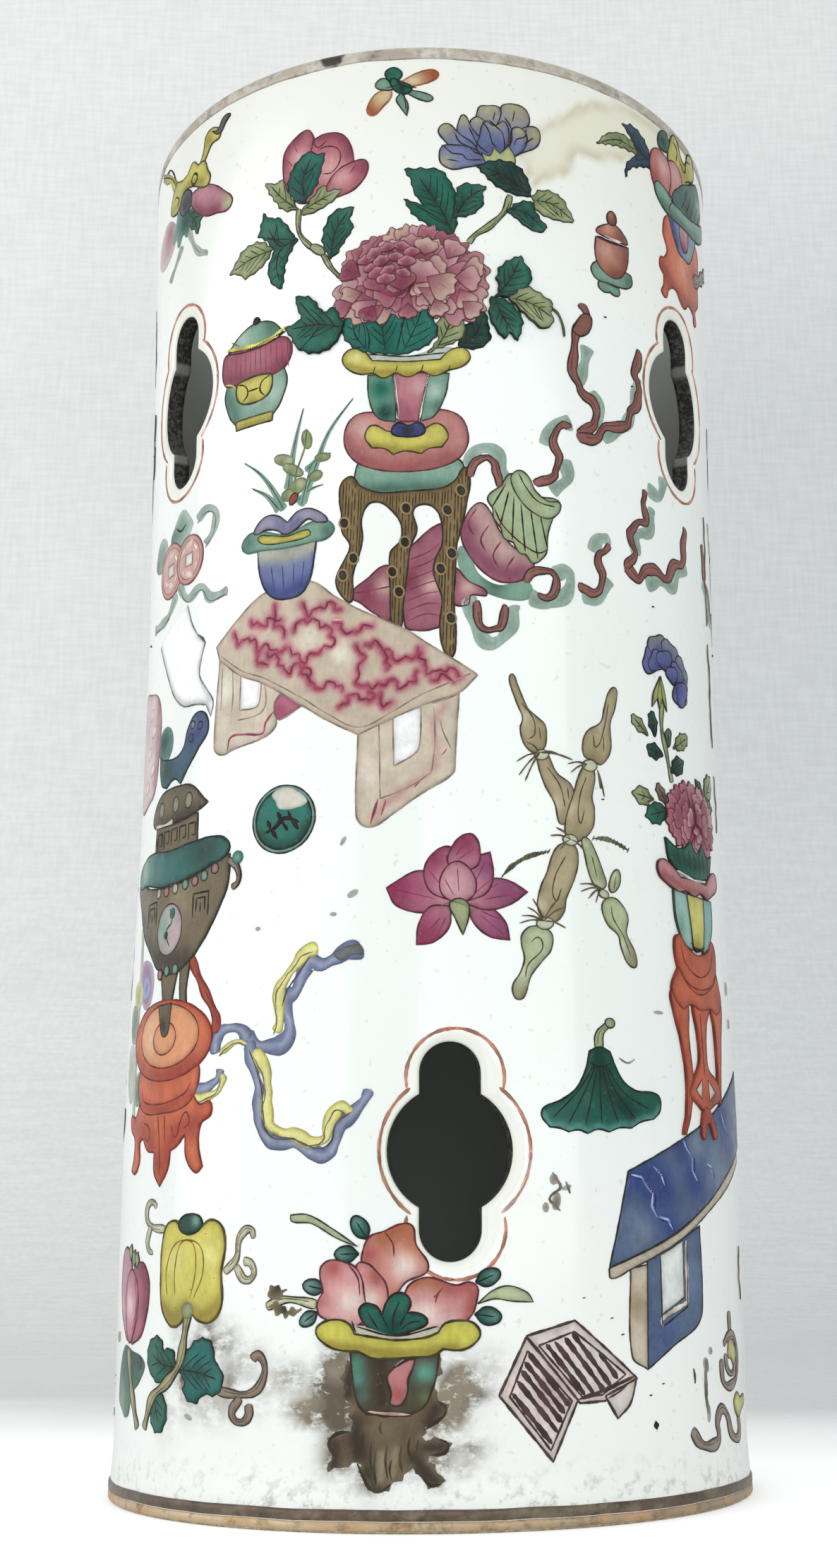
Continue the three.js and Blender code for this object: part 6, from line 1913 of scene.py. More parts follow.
# Lotus roots, crossed and tied at their joints, with fibres, a shoot and a twisted string.
# One wash each of grey-brown or lime enamel, with the fibres flicked on in ink.
def roots(p):
    root, deep, lime = (0.68, 0.63, 0.50), (0.50, 0.45, 0.33), (0.70, 0.75, 0.60)
    knot, ink = (0.82, 0.81, 0.75), (0.32, 0.27, 0.19)
    for path in ([(13, 111), (15, 113), (18, 114.8), (22, 116)],
                 [(31.5, 119.3), (34.5, 119.5), (37, 119), (39.8, 118)]):
        p.line(path, 0.9, (0.40, 0.39, 0.31))
        for x, y in spline(path, step=0.9):
            p.line([(x - 0.3, y - 0.5), (x + 0.3, y + 0.5)], 0.36, (0.2, 0.2, 0.15))
    for outline, colour, curls in (([(14.8, 148.8), (15.5, 149.3), (16.5, 147), (18.3, 143), (20, 141.5), (21.8, 140),
                                     (22, 137.5), (21.5, 135.5), (19.5, 134.5), (17.5, 136), (16.8, 139), (17.3, 141),
                                     (16.3, 143.5), (15, 147)], root,
                                    ([(17, 144), (19.4, 141), (19.6, 138), (18.4, 137)], [(20.6, 139.6), (20.8, 137)])),
                                   ([(37.5, 149.5), (38.3, 148.8), (37.5, 145), (36.3, 142), (36.3, 137), (34, 133.8),
                                     (32, 134.3), (30, 135), (29.9, 138), (31, 140), (34, 142), (35, 145), (36, 148)],
                                    root,
                                    ([(36, 146), (34.8, 141), (32.8, 137), (32.2, 139.4)],
                                     [(34.6, 139.4), (34.6, 136.4)])),
                                   ([(20.3, 134), (22, 134.5), (24, 131), (27, 129), (27.5, 126), (25.5, 121.5),
                                     (24.3, 121.5), (23.5, 125), (21.5, 128.5), (20.3, 132)], root,
                                    ([(22, 132), (24.6, 128.6), (25.6, 124.6)], [(26.2, 128.4), (26.4, 126)])),
                                   ([(29.5, 132.5), (31.5, 133.3), (32.3, 131), (31.5, 127), (32, 125), (31.3, 121),
                                     (28, 118.3), (25.8, 119), (25.5, 121.5), (26.3, 124.5), (27.5, 127.5),
                                     (28.5, 130.5)], root, ([(30.4, 131), (28.8, 127), (28.6, 122), (29.8, 124.6)],)),
                                   ([(23, 116), (25, 117.8), (27.5, 117.3), (28, 114.5), (27, 111), (25.3, 107.5),
                                     (24.8, 105), (22.8, 103), (20.3, 104), (19.5, 106), (20.3, 109.5), (21.5, 112)],
                                    root, ([(25.4, 115.4), (23, 111), (23, 107), (24.4, 109.4)],)),
                                   ([(16.5, 100.5), (18.5, 102), (22, 101), (22, 98), (20, 95.5), (18, 93), (16.5, 89),
                                     (15, 88.8), (14.5, 91), (16, 93.5), (16.8, 96), (16.3, 98.5)], lime,
                                    ([(18, 99), (19.5, 100), (20.3, 99), (20, 97.5), (17.5, 95), (16.8, 92.5)],)),
                                   ([(29, 119), (30.5, 119), (32, 116.5), (33.5, 113), (34, 110.5), (32, 110),
                                     (30.5, 112), (29.5, 116)], lime, ([(31, 116), (32, 112)],)),
                                   ([(33, 107), (35.5, 108.5), (38, 107), (39, 105), (38.5, 102), (40.5, 98.5),
                                     (40.5, 96), (38.5, 96.5), (37, 99.5), (36.5, 101.5), (34, 103.5)], lime,
                                    ([(35, 107), (35.4, 104.6), (37.6, 101.6), (39.2, 98)],)),
                                   ([(35, 109.6), (35.6, 113), (37.2, 113.8), (37.2, 111)], lime,
                                    ([(35.8, 110), (36.4, 112.6)],))):
        p.shape(outline, colour, (deep + (0.6,), *outline[len(outline) // 2][:2], 3),
                (paler(colour, 0.25), *outline[-3][:2], 1.6), width=0.3, ink=ink)
        for curl in curls:
            p.line(curl, 0.3, ink)
    for x, y, size in ((21, 134.2, 1.5), (31.2, 133.2, 1.7), (26.5, 118.5, 1.6), (20.9, 102.6, 1.7), (33.4, 109, 1.2)):
        p.shape(oval(x, y, size, size * 0.65, p.luck.uniform(-20, 20)), knot, edge=lime, width=0.26, ink=ink)
    for start, ends in (((20.6, 134.6),
                         ((16, 132.6), (16.4, 130), (17.6, 129), (24.6, 134.6), (27.4, 133.9), (18, 136.4))),
                        ((30.6, 133.4), ((26.4, 133), (27, 131.4), (28.4, 130.4))),
                        ((33, 132.6), ((33.6, 129), (34.4, 127.6))),
                        ((26.6, 118.6), ((22.4, 119), (23.6, 120.6), (24.4, 116.6), (29.4, 116.8))),
                        ((33, 110), ((28.2, 110.4), (28.4, 109), (30, 107.8), (31.6, 107.2))),
                        ((20.6, 103),
                         ((17.6, 105.4), (16.4, 103.8), (18.6, 107), (24.8, 105.8), (23.4, 107), (16, 102.4),
                          (25, 102)))):
        for x, y in ends:
            p.line([start, ((start[0] + x) / 2, (start[1] + y) / 2 + 0.4), (x, y)], 0.32, (0.36, 0.32, 0.24))
    p.dots([(34, 127)], 0.9)


paint("lotus_roots", roots, RIGHT, LEFT)


# The upturned lotus leaf, like a bell, with its bent stalk. Dark teal enamel, thin and paler
# along the hem, with ribs of ink.
def leaf_bell(p):
    p.ribbon([(31.3, 80), (31.4, 83), (33.4, 85)], 1.5, (0.64, 0.68, 0.52), DARK_OLIVE)
    p.shape(oval(33.8, 85.2, 1.1, 0.9), (0.66, 0.70, 0.56), width=0.28)
    hem = [(19.5, 68.2), (21, 66.4, 1), (23, 66.2), (24.6, 65.6, 1), (26.6, 66), (28.4, 65.4, 1), (30.6, 66.2),
           (33, 65.8, 1), (35.4, 66.6), (38, 66.6, 1), (40.4, 67.8), (43.6, 68.4, 1), (45.4, 70)]
    p.shape([(29.2, 80, 1), (28.4, 77), (26.6, 73.6), (23.4, 71.2), (20, 69.8), *hem, (45.4, 72.4), (43, 73.2),
             (39, 73.4), (35.8, 75.6), (33.6, 80, 1), (31.4, 80.8)], (0.09, 0.35, 0.29),
            (DARK_TEAL, [(31, 79), (33, 73), (38, 69)], 2.4),
            ((0.36, 0.58, 0.54), [(v[0], v[1] + 0.3) for v in hem], 0.8), edge=DARK_TEAL, reach=0.4)
    for x, y in ((21.6, 68), (24.6, 67), (28, 66.8), (31.4, 67), (35, 67.4), (39, 68.2), (42.6, 70)):
        p.line([(31.2 + (x - 31) * 0.12, 77.6), (31 + (x - 31) * 0.45, 73), (x, y)], 0.3)
    p.line([(29, 78), (31.2, 77.2), (33.8, 78)], 0.32)
    p.line([(35.6, 79), (37.6, 78.2), (39.4, 79)], 0.3, (0.5, 0.5, 0.47))


paint("lotus_leaf_bell", leaf_bell, RIGHT, LEFT)


# The flower vase on the right, in its tall orange stand: a rose peony and a blue one with their
# leaves, in a teal and yellow vase. The stand is iron-orange enamel, darker where it is thick.
BLUE = (0.42, 0.46, 0.65)


def right_vase(p):
    orange, deep, ink = (0.74, 0.37, 0.26), (0.58, 0.25, 0.18), (0.48, 0.20, 0.15)
    p.ribbon([(51.4, 149), (51, 144), (52.4, 139), (54, 133)], 1.1, OLIVE, DARK_OLIVE)
    for a, b, wide, colour, dark in (((46.4, 141.6), (41.8, 144.8), 2.4, OLIVE, DARK_OLIVE),
                                     ((48.6, 141.8), (47.8, 146.8), 2.6, DARK_TEAL, None),
                                     ((51, 138.4), (46, 139), 3, DARK_TEAL, None),
                                     ((53, 140.6), (53.4, 144.4), 2, (0.3, 0.42, 0.32), None),
                                     ((55, 140.6), (61, 144.2), 3, OLIVE, DARK_OLIVE),
                                     ((53.6, 135.6), (58.6, 138.6), 3.4, DARK_TEAL, None),
                                     ((47.4, 129), (41.6, 129.4), 3.4, OLIVE, DARK_OLIVE),
                                     ((51.6, 128.6), (48.6, 132.4), 2.4, (0.5, 0.42, 0.32), None),
                                     ((52, 127.6), (45, 125.4), 4, TEAL, None),
                                     ((68, 132), (64, 136), 3, DARK_TEAL, None),
                                     ((68.6, 132.6), (73.6, 138.6), 4.4, OLIVE, DARK_OLIVE),
                                     ((66, 131.4), (74, 132), 3.4, TEAL, None)):
        a, b = np.array(a), np.array(b)
        side = np.array((a[1] - b[1], b[0] - a[0])) / np.hypot(*(b - a)) * wide / 2
        outline = [(*a, 1), tuple(a * 0.6 + b * 0.4 + side), tuple(a * 0.2 + b * 0.8 + side * 0.8), (*b, 1),
                   tuple(a * 0.2 + b * 0.8 - side * 0.8), tuple(a * 0.6 + b * 0.4 - side)]
        p.leaf(outline, [tuple(a), tuple(a * 0.15 + b * 0.85)], colour, dark, 2)
    grey = (0.60, 0.61, 0.58)
    for x, y, heading, length, colour in ((51, 156, 160, 5.6, BLUE), (51.6, 157.4, 110, 6, grey),
                                          (54, 157, 75, 6, grey), (56.6, 155.4, 40, 5.6, grey),
                                          (57, 153.6, -10, 4.8, grey), (57, 155, -70, 5.2, BLUE),
                                          (51.6, 156, 150, 4.6, BLUE), (53.6, 155.6, 110, 5, BLUE),
                                          (56, 154.4, 60, 4.6, BLUE), (56.4, 154, -30, 5.2, (0.46, 0.46, 0.72)),
                                          (55.6, 153.6, 100, 4, BLUE)):
        p.fan(x, y, heading, length, 46, colour, DEEP_BLUE, 2, INK, 1)
    for a in (-115, -95, -75):
        p.shape([(51, 154.4, 1), (51 + 2.6 * math.cos(math.radians(a + 16)), 151),
                 (51 + 7 * math.cos(math.radians(a)), 147.6, 1), (51 + 4 * math.cos(math.radians(a)) - 0.8, 150.4)],
                (0.66, 0.70, 0.42), width=0.26)
    rim = [(62.2 + 11.4 * math.cos(k * 0.42), 127.4 + 7.6 * math.sin(k * 0.42)) for k in range(15)]
    blossom(p, 62.2, 126.6, rim, (0.66, 0.38, 0.45), DEEP_ROSE, (0.80, 0.62, 0.63), (0.80, 0.70, 0.66))
    p.shape([(50.4, 122, 1), (51.6, 117.6), (56, 115.8), (62, 115.4), (67.6, 117), (70, 121.6, 1), (67, 120.6),
             (64.6, 123, 1), (62, 120.6), (59.4, 122.6, 1), (56.6, 120.8), (53.6, 120.6)], TEAL,
            (DARK_TEAL, [(53, 118.4), (60, 118), (67, 119)], 1.6))
    for k in range(7):
        p.line([(54 + 2.2 * k, 121), (55 + 2 * k, 116.6)], 0.32)
    p.shape([(47.6, 116.6), (49.4, 117.6), (52, 116.6), (55, 114.8, 1), (66, 115, 1), (69, 117.6), (72.4, 118),
             (73, 115.6), (69.4, 113.4), (66, 112, 1), (63, 112.8), (60, 111.6, 1), (57, 112.4), (54, 111.8, 1),
             (50.4, 113), (48, 114.4)], (0.76, 0.54, 0.55), (DEEP_SALMON, [(49, 114.6), (56, 113), (66, 113)], 0.9),
            ink=ROSE_INK)
    p.line([(54, 116), (60, 115), (66, 115.6)], 0.6, (0.85, 0.85, 0.82))
    p.shape([(52.2, 112, 1), (52.6, 106.6), (55, 102), (58, 101, 1), (57.6, 106), (56.6, 111.8, 1)], (0.62, 0.76, 0.73),
            (CELADON, 54, 105, 2.4), width=0.3)
    p.shape([(63.6, 111.8, 1), (63.4, 106), (62.6, 101, 1), (65.4, 102.4), (68, 107), (68.2, 112, 1)],
            (0.52, 0.70, 0.69), width=0.3)
    p.shape([(56.8, 111.8, 1), (57.8, 106), (58.4, 101.6, 1), (62.6, 101.6, 1), (63.6, 106), (63.8, 111.8, 1)],
            (0.82, 0.80, 0.46), (DARK_YELLOW, 60, 102, 2), width=0.36)
    for outline in ([(54.6, 92), (54.8, 84), (55.6, 76), (54.4, 70), (52.6, 66, 1), (51.8, 66), (53, 70), (53.4, 77),
                     (52, 84), (50.2, 89), (50, 92.6)],
                    [(70.4, 92.4), (69.6, 85), (68.2, 77), (67.8, 72.4, 1), (66.4, 73), (66.6, 79), (66, 87), (65, 91)],
                    [(57.4, 91), (58.2, 85), (58.4, 80), (56, 76.4), (54.2, 73.6), (56.4, 72.2), (60, 70.6), (64, 72),
                     (67.4, 73.8), (65.6, 76.6), (62, 78.6), (61.4, 82), (62, 87), (63.6, 91.4)],
                    [(59.4, 71), (58.2, 66), (59.4, 65.4), (61, 68.6), (63.6, 65.6), (64.8, 66.6), (61.6, 71)],
                    [(50, 92.6), (51.6, 96), (53.4, 97.6), (67.6, 98), (69.6, 95.6), (70.6, 92), (67.4, 89.6),
                     (64.6, 90.4), (60, 89.6), (56, 90.4), (53, 89.4)],
                    [(51.7, 102.4), (53.4, 103.4), (55.4, 101.6), (60, 100.2), (64.6, 101.6), (66.6, 103.8),
                     (68.6, 102), (68, 97), (64.4, 94), (59, 92.6), (54.6, 94.6), (52, 98)]):
        p.shape(outline, orange, (deep, *outline[len(outline) // 2][:2], 3), edge=deep, reach=0.6, ink=ink, width=0.3)
    for hole in ([(56.4, 74.4, 1), (59, 76.6, 1), (58.6, 72.8, 1)],
                 [(61.4, 76.6, 1), (64.6, 74.4, 1), (61.8, 72.6, 1)]):
        p.shape(hole, (0.88, 0.86, 0.84), ink=(0.46, 0.18, 0.14), width=0.3)
    for curve in ([(53.4, 101.6), (55, 98), (60, 96), (65, 98), (66.8, 101.6)],
                  [(52.4, 97.4), (55, 94.6), (60, 93.6), (66, 95.2), (68.4, 98)], [(59.4, 89), (59.8, 82), (60, 77.6)]):
        p.line(curve, 0.36, (0.46, 0.18, 0.14))
    p.line([(57.4, 102.4), (60, 101), (63, 102.2)], 0.4)


paint("right_vase", right_vase)


# The blue table at the lower right, with light veins over its top and a beige edge. Slate-blue
# enamel, cloudy where it was laid twice, with each vein a pale stroke beside a dark one.
def blue_table(p):
    slate = (0.34, 0.41, 0.53)
    p.shape([(37, 42.2, 1), (37, 27.4), (40.6, 25, 1), (41, 42.8, 1)], STONE, ((0.66, 0.58, 0.48), 38, 36, 3))
    p.shape([(41, 43.4, 1), (40.6, 25, 1), (48, 29), (54.6, 31.8), (56.8, 34.6), (56.6, 49.6, 1)], slate,
            ((0.28, 0.35, 0.52), 45, 30, 4), ((0.44, 0.50, 0.62), 53, 40, 3))
    p.shape([(44.3, 44.4, 1), (44.5, 34.2, 1), (50.8, 37, 1), (50.8, 47, 1)], (0.90, 0.92, 0.91))
    p.line([(44.5, 32, 1), (44.4, 33.4), (51.8, 36.2, 1), (51.8, 47)], 0.9, STONE)
    p.line([(44.3, 44), (44.4, 32, 1), (51.8, 35.4, 1), (52, 47)], 0.34)
    p.shape([(32.3, 42.2, 1), (32.7, 40.5), (37, 42), (50, 47), (62, 53), (71, 57.2), (81, 62.4, 1), (80.6, 64, 1),
             (66, 57), (50, 48.6)], STONE)
    veins = ([(37.6, 58.4), (40, 58), (41.4, 56.4), (42.8, 55.2), (42.4, 53), (43.6, 51.2), (46.6, 50.6), (48, 48.8)],
             [(51.8, 65), (53, 63.4), (54.8, 62), (54.6, 59.6), (56.4, 57.6)], [(68, 71), (70, 68.6), (72, 67)],
             [(60, 61), (62, 60.4), (63, 58.4)], [(43, 60), (45, 58.6), (46, 56.6)])
    p.shape([(37, 59, 1), (50, 64.4), (60, 68.6), (67, 72), (76, 76.6), (84, 80, 1), (84, 65.6, 1), (70, 59),
             (60, 53.6), (48, 48), (40, 45), (32.4, 42.4, 1), (34.6, 50)], slate,
            *[((0.16, 0.24, 0.48, 0.85), [(x, y - 1) for x, y in path], 3.2) for path in veins],
            ((0.46, 0.53, 0.62), 64, 60, 5), ((0.47, 0.53, 0.60), 56, 64, 3), ((0.44, 0.50, 0.60), 40, 49, 4),
            edge=(0.26, 0.32, 0.44))
    for path in veins:
        p.line([(x, y, 1) for x, y in path], 0.55, (0.60, 0.64, 0.80))
        p.line([(x + 0.7, y - 0.5, 1) for x, y in path], 0.4, (0.13, 0.18, 0.42))


paint("blue_table", blue_table)


# The slatted book, open on its edge, in rose brown. Each leaf is a pale pad of enamel, hatched
# with broad slanting strokes that stop at an inner frame.
def book(p):
    brown, pale = (0.29, 0.22, 0.21), (0.88, 0.84, 0.83)
    for outline in ([(16.2, 31, 1), (25.6, 20.6, 1), (20.8, 10.8, 1), (11.4, 21.6, 1)],
                    [(16.2, 31.2, 1), (25.2, 33.6, 1), (38, 23.6, 1), (31, 20.2, 1), (26, 20, 1)],
                    [(31, 21, 1), (37.8, 23.6, 1), (36.4, 19.6), (33.6, 17.2, 1)]):
        p.shape(outline, pale, ((0.78, 0.68, 0.68), 20, 22, 3), edge=(0.74, 0.68, 0.65), ink=brown, width=0.5)
    for outline, apart in (([(16.4, 28.8, 1), (24.4, 20.4, 1), (20.4, 12.6, 1), (13.2, 21.4, 1)], 1.62),
                           ([(18.4, 29.6, 1), (25, 31.8, 1), (35.4, 24.4, 1), (30.4, 21.2, 1), (26.4, 21, 1)], 1.7)):
        p.line(outline, 0.45, brown, True)
        hatch(p, outline, -50, apart, 1.05, brown, inset=0.1, ends=0.3)
    p.line([(25.6, 20.6), (31, 22), (37.4, 24)], 0.8, brown)
    p.line([(31.6, 20.6), (34, 21.6), (36, 23)], 0.5, brown)
    p.dots([(44.4, 22.4), (32.7, 33.8), (35, 31), (27.1, 37.3), (41.2, 20.6)], 0.8)
    p.dots([(42.4, 15.5)], 1.7)


paint("slatted_book", book, RIGHT, LEFT)


# Brown scrolls and a double ring with yellow leaves, low on the right. Broad strokes of brown
# enamel, inked along both edges.
def brown_scroll(p):
    brown = (0.42, 0.36, 0.33)
    for path, width in (([(52.4, 14), (55, 11.6), (59, 11), (62, 12), (61.6, 15), (63.6, 17), (66.4, 15.6),
                          (68.4, 12.4), (72, 11.2), (74, 12.6), (73, 15.4)], 1.8), ([(68.8, 34), (69.2, 29)], 1.5),
                        ([(64, 25.6), (65, 21.6), (69, 20.8), (73, 22.6), (73.6, 26.4), (71.6, 29.4), (68, 29.6),
                          (65, 28)], 1.5), ([(66, 26.4), (67.4, 23.6), (70.4, 23), (72, 25)], 1.2)):
        p.ribbon(path, width, (0.60, 0.55, 0.50), brown, (0.24, 0.19, 0.17))
    for blob in ([(67.6, 26), (68.4, 29), (70.6, 28.6), (72.6, 26.4), (71, 24.4), (69.4, 25.6)],
                 [(70.4, 17.6), (72.6, 19.4), (75, 18.4), (79.6, 18), (76, 16), (73, 15)]):
        p.shape(blob, (0.80, 0.79, 0.52), edge=DARK_YELLOW, width=0.3, ink=brown)


paint("brown_scroll", brown_scroll)


# The bronze-brown censer at the far left, with a beast on its lid and a teal shoulder. Its bowl
# carries a round medallion between two plain key-fret squares. Opaque brown enamel, with the
# beads dropped on it thick.
def censer(p):
    bronze, deep = (0.43, 0.38, 0.29), (0.25, 0.21, 0.16)
    p.fill(oval(-65, 143.4, 3.7), (0.35, 0.48, 0.46), (DARK_TEAL, -66, 144, 2.4), edge=(0.5, 0.6, 0.58))
    p.shape([(-67.6, 141.4), (-66.4, 135.6), (-63.6, 134.2, 1), (-60, 135.4), (-57.4, 133.9, 1), (-55.4, 136),
             (-51.4, 139.8), (-48.4, 143), (-49.4, 146.4), (-52.4, 147.2), (-55.4, 144.6), (-56.6, 141.4), (-59, 139.8),
             (-62.6, 139.8), (-66.4, 140.6)], (0.24, 0.36, 0.44), (DARK_TEAL, -64, 138, 3), (DEEP_BLUE, -52, 143.4, 3),
            ((0.5, 0.56, 0.6), -53.4, 145, 1))
    for x, y in ((-53.6, 145), (-51, 144.4), (-54, 142.4)):
        p.line(oval(x, y, 0.8), 0.3, closed=True)
    p.shape([(-70, 128), (-68.6, 131.4), (-65, 133.4), (-58, 133.6), (-53, 132.8), (-49.4, 130), (-47.6, 128.6, 1),
             (-50, 127.6), (-54, 126.8), (-66, 126.6)], bronze, (deep, [(-68, 127.6), (-58, 127), (-50, 128)], 1.4),
            edge=deep)
    for x in (-65.4, -58.8, -54):
        p.shape(oval(x, 130, 1.3, 1.6), (0.60, 0.57, 0.50), width=0.3)
    p.fill(stripe([(-68, 127), (-64, 126.6), (-60, 126.8)], 0.8), (0.8, 0.78, 0.7))
    p.shape([(-67.6, 126.6, 1), (-67.8, 121, 1), (-58, 120.4), (-50.4, 121.4, 1), (-50.6, 127, 1), (-58, 126.2)],
            bronze, (deep, -66, 123, 3))
    p.shape([(-61.4, 97.4, 1), (-60, 92), (-59.6, 87.4), (-58.4, 86.4), (-57, 87.4), (-56.2, 92), (-54.6, 97.4, 1)],
            bronze, (deep, -60, 90, 2))
    p.shape([(-54, 98, 1), (-53.6, 92), (-52.8, 88.8), (-51.4, 88.6), (-51.6, 93), (-50.6, 99, 1)], bronze)
    p.shape([(-79, 117.4), (-76, 112), (-72, 106), (-67, 101.6), (-63.4, 98.4), (-58, 96.6), (-52, 97.8), (-47, 102),
             (-43.4, 107), (-41, 112), (-40.8, 117.6, 1), (-52, 114.4), (-60, 113.8), (-70, 115)], bronze,
            (deep, [(-74, 108), (-66, 101), (-52, 98.8)], 2.6), (deep, 44, 109, 3), ((0.55, 0.50, 0.40), -56, 110, 5),
            edge=deep)
    p.shape([(-79.4, 119), (-76, 121), (-70, 122), (-60, 121), (-52, 121.4), (-44, 121.4), (-41, 119.4), (-42, 117.2),
             (-46, 116), (-54, 114.4), (-64, 114.4), (-72, 116), (-78, 116.4)], (0.20, 0.42, 0.41),
            (DARK_TEAL, -48, 119.4, 5), (CELADON, -74, 119.6, 4), edge=DARK_TEAL)
    p.shape(oval(-59, 105.4, 4.9, 5), (0.70, 0.66, 0.66), (CELADON, -61.6, 106, 2.6),
            ((0.78, 0.66, 0.70), -56.6, 104.4, 2), width=0.36)
    p.line([(-59, 109.6), (-57.8, 107), (-60, 105), (-58.4, 102)], 0.4)
    p.fill(oval(-57.8, 108.4, 1.1), TEAL)
    p.fill(oval(-60, 104.4, 0.8), INK)
    for x, y in ((-67.4, 109.4), (-48.4, 108.8)):
        for size in (2.3, 1.3):
            p.line([(x - size, y - size, 1), (x - size, y + size, 1), (x + size, y + size, 1), (x + size, y - size, 1)],
                   0.4)
        p.line([(x, y - 1.6), (x, y + 0.4)], 0.4)
    for k in range(5):
        x = -66.6 + 3.3 * k
        p.line([(x, 122, 1), (x, 125.2, 1), (x + 2.2, 125.2, 1), (x + 2.2, 122.8, 1), (x + 1, 122.8, 1)], 0.34)
    coral = (0.70, 0.52, 0.52)
    for x, y, colour in ((-64.4, 113.2, STONE), (-60.8, 113, coral), (-57.2, 113.1, STONE), (-53.6, 113.4, CELADON),
                         (-47.6, 114.2, CELADON), (-44.6, 115.2, coral), (-50.4, 113.6, coral), (-61.6, 97, coral),
                         (-55.6, 97.4, CELADON), (-58.8, 97.4, CELADON)):
        p.shape(oval(x, y, 1), colour, width=0.3)
    p.ribbon([(-41, 116.4), (-38.8, 114.6), (-38.4, 112), (-40.4, 110.8)], 1.1, (0.55, 0.50, 0.42))
    p.fill(oval(-38.8, 116.6, 1.3), CELADON, edge=TEAL)


paint("censer", censer, BACK)


# The orange drum stand under the censer, with blurred leaves and a pale streamer behind it.
# Iron-orange enamel, inked ring by ring, beside leaves whose colour bled into the glaze.
def drum_stand(p):
    orange, deep, ink = (0.80, 0.41, 0.27), (0.64, 0.25, 0.16), (0.46, 0.17, 0.13)
    p.fill(stripe([(-73.6, 108), (-73, 98), (-73.4, 84), (-73, 70)], 1.6, 0.1), (0.84, 0.85, 0.78),
           edge=(0.66, 0.68, 0.58))
    for blob, colour in (([(-72, 100), (-67, 100), (-64.6, 96), (-67, 91), (-71, 93)], (0.60, 0.48, 0.62)),
                         ([(-70.6, 95), (-68.6, 97.4), (-66.6, 95), (-68.6, 93)], (0.46, 0.50, 0.70)),
                         ([(-77, 96), (-72, 97), (-71, 93), (-75, 92)], (0.72, 0.74, 0.48)),
                         ([(-79, 92), (-74, 92), (-73, 86), (-78, 86)], (0.44, 0.48, 0.42)),
                         ([(-72, 78), (-69, 79), (-68, 74), (-71.6, 73)], DARK_CELADON),
                         ([(-80, 84), (-75, 84), (-75, 74), (-79, 76)], (0.70, 0.73, 0.70))):
        p.fill(blob, colour, edge=paler(colour, 0.5), reach=1)
    p.ribbon([(-50.6, 99), (-46.6, 93), (-42.6, 87), (-42.8, 84.4)], 1.7, deep, ink=ink)
    p.shape([(-74, 71), (-71, 70.6), (-68.6, 73, 1), (-58, 71.6), (-48, 73.6, 1), (-46, 71.6), (-43.4, 72), (-43, 69.6),
             (-45.6, 68), (-46, 64), (-44.8, 60.4, 1), (-46.6, 59.4), (-49.4, 62), (-50, 66.4, 1), (-52.4, 64.4),
             (-54.6, 63.6, 1), (-55.2, 60.4), (-58, 57.3, 1), (-60.4, 60), (-60.6, 63.6, 1), (-63.6, 64),
             (-66, 66.4, 1), (-67.8, 65.6), (-67.6, 62), (-70, 60), (-72.4, 60.6, 1), (-71, 63), (-71, 66.6),
             (-73.6, 68.4)], orange,
            (deep, [(-72, 68), (-64, 67), (-58, 61), (-52, 67), (-46, 68)], 2.6), edge=deep, ink=ink)
    for curl in ([(-66, 69.4), (-63, 68), (-63.4, 65.8), (-65, 66.6)],
                 [(-54.6, 68.4), (-53, 66), (-51.6, 68.6), (-50, 70.4), (-48.8, 68.6), (-50.4, 67.4)],
                 [(-59.6, 70.6), (-58.4, 64), (-58, 59.4)], [(-57, 70.4), (-56.6, 65)]):
        p.line(curl, 0.4, ink)
    p.shape([(-68.6, 79.6), (-68, 72.4), (-58, 70.6), (-48.4, 72.6), (-47.6, 79.6), (-58, 78)], orange,
            (deep, [(-68, 73), (-58, 71.4), (-49, 73.4)], 1.2),
            (deep + (0.7,), [(-68, 79), (-58, 77.6), (-48, 79)], 1.4), ink=ink)
    p.line([(-67.6, 75.4), (-66, 73.2), (-58, 72.4), (-50.6, 73.8), (-48.6, 75.8)], 0.34, ink)
    p.shape(oval(-58.4, 84.2, 15, 7.6, -3, 16), orange, (deep, [(-72, 81), (-66, 78.4), (-58, 77.4), (-49, 79)], 2),
            edge=deep, reach=1.2, ink=ink)
    p.shape(oval(-58.2, 85, 11.2, 6, -3, 16), (0.87, 0.60, 0.43), ((0.91, 0.72, 0.56), -64, 86, 4), ink=ink)
    p.shape(oval(-58.6, 84.6, 4.4, 3.1), (0.87, 0.61, 0.44), ink=ink)
    p.shape([(-61.4, 91, 1), (-60.4, 87.4), (-59.6, 85.4), (-58.4, 84.8), (-57, 85.6), (-56.2, 91, 1)],
            (0.40, 0.35, 0.26), (INK, -59.6, 87, 1.6), width=0.3)


paint("drum_stand", drum_stand, BACK)


# The yellow melon and the pink fruit at the lower left, on their leafy stems. Yellow and rose
# enamels, thick enough to shade themselves, with brown tendrils in single strokes.
def vine(p, *paths):
    for path in paths:
        p.ribbon(path, 1.2, (0.80, 0.80, 0.70), (0.55, 0.52, 0.42), (0.40, 0.36, 0.30))


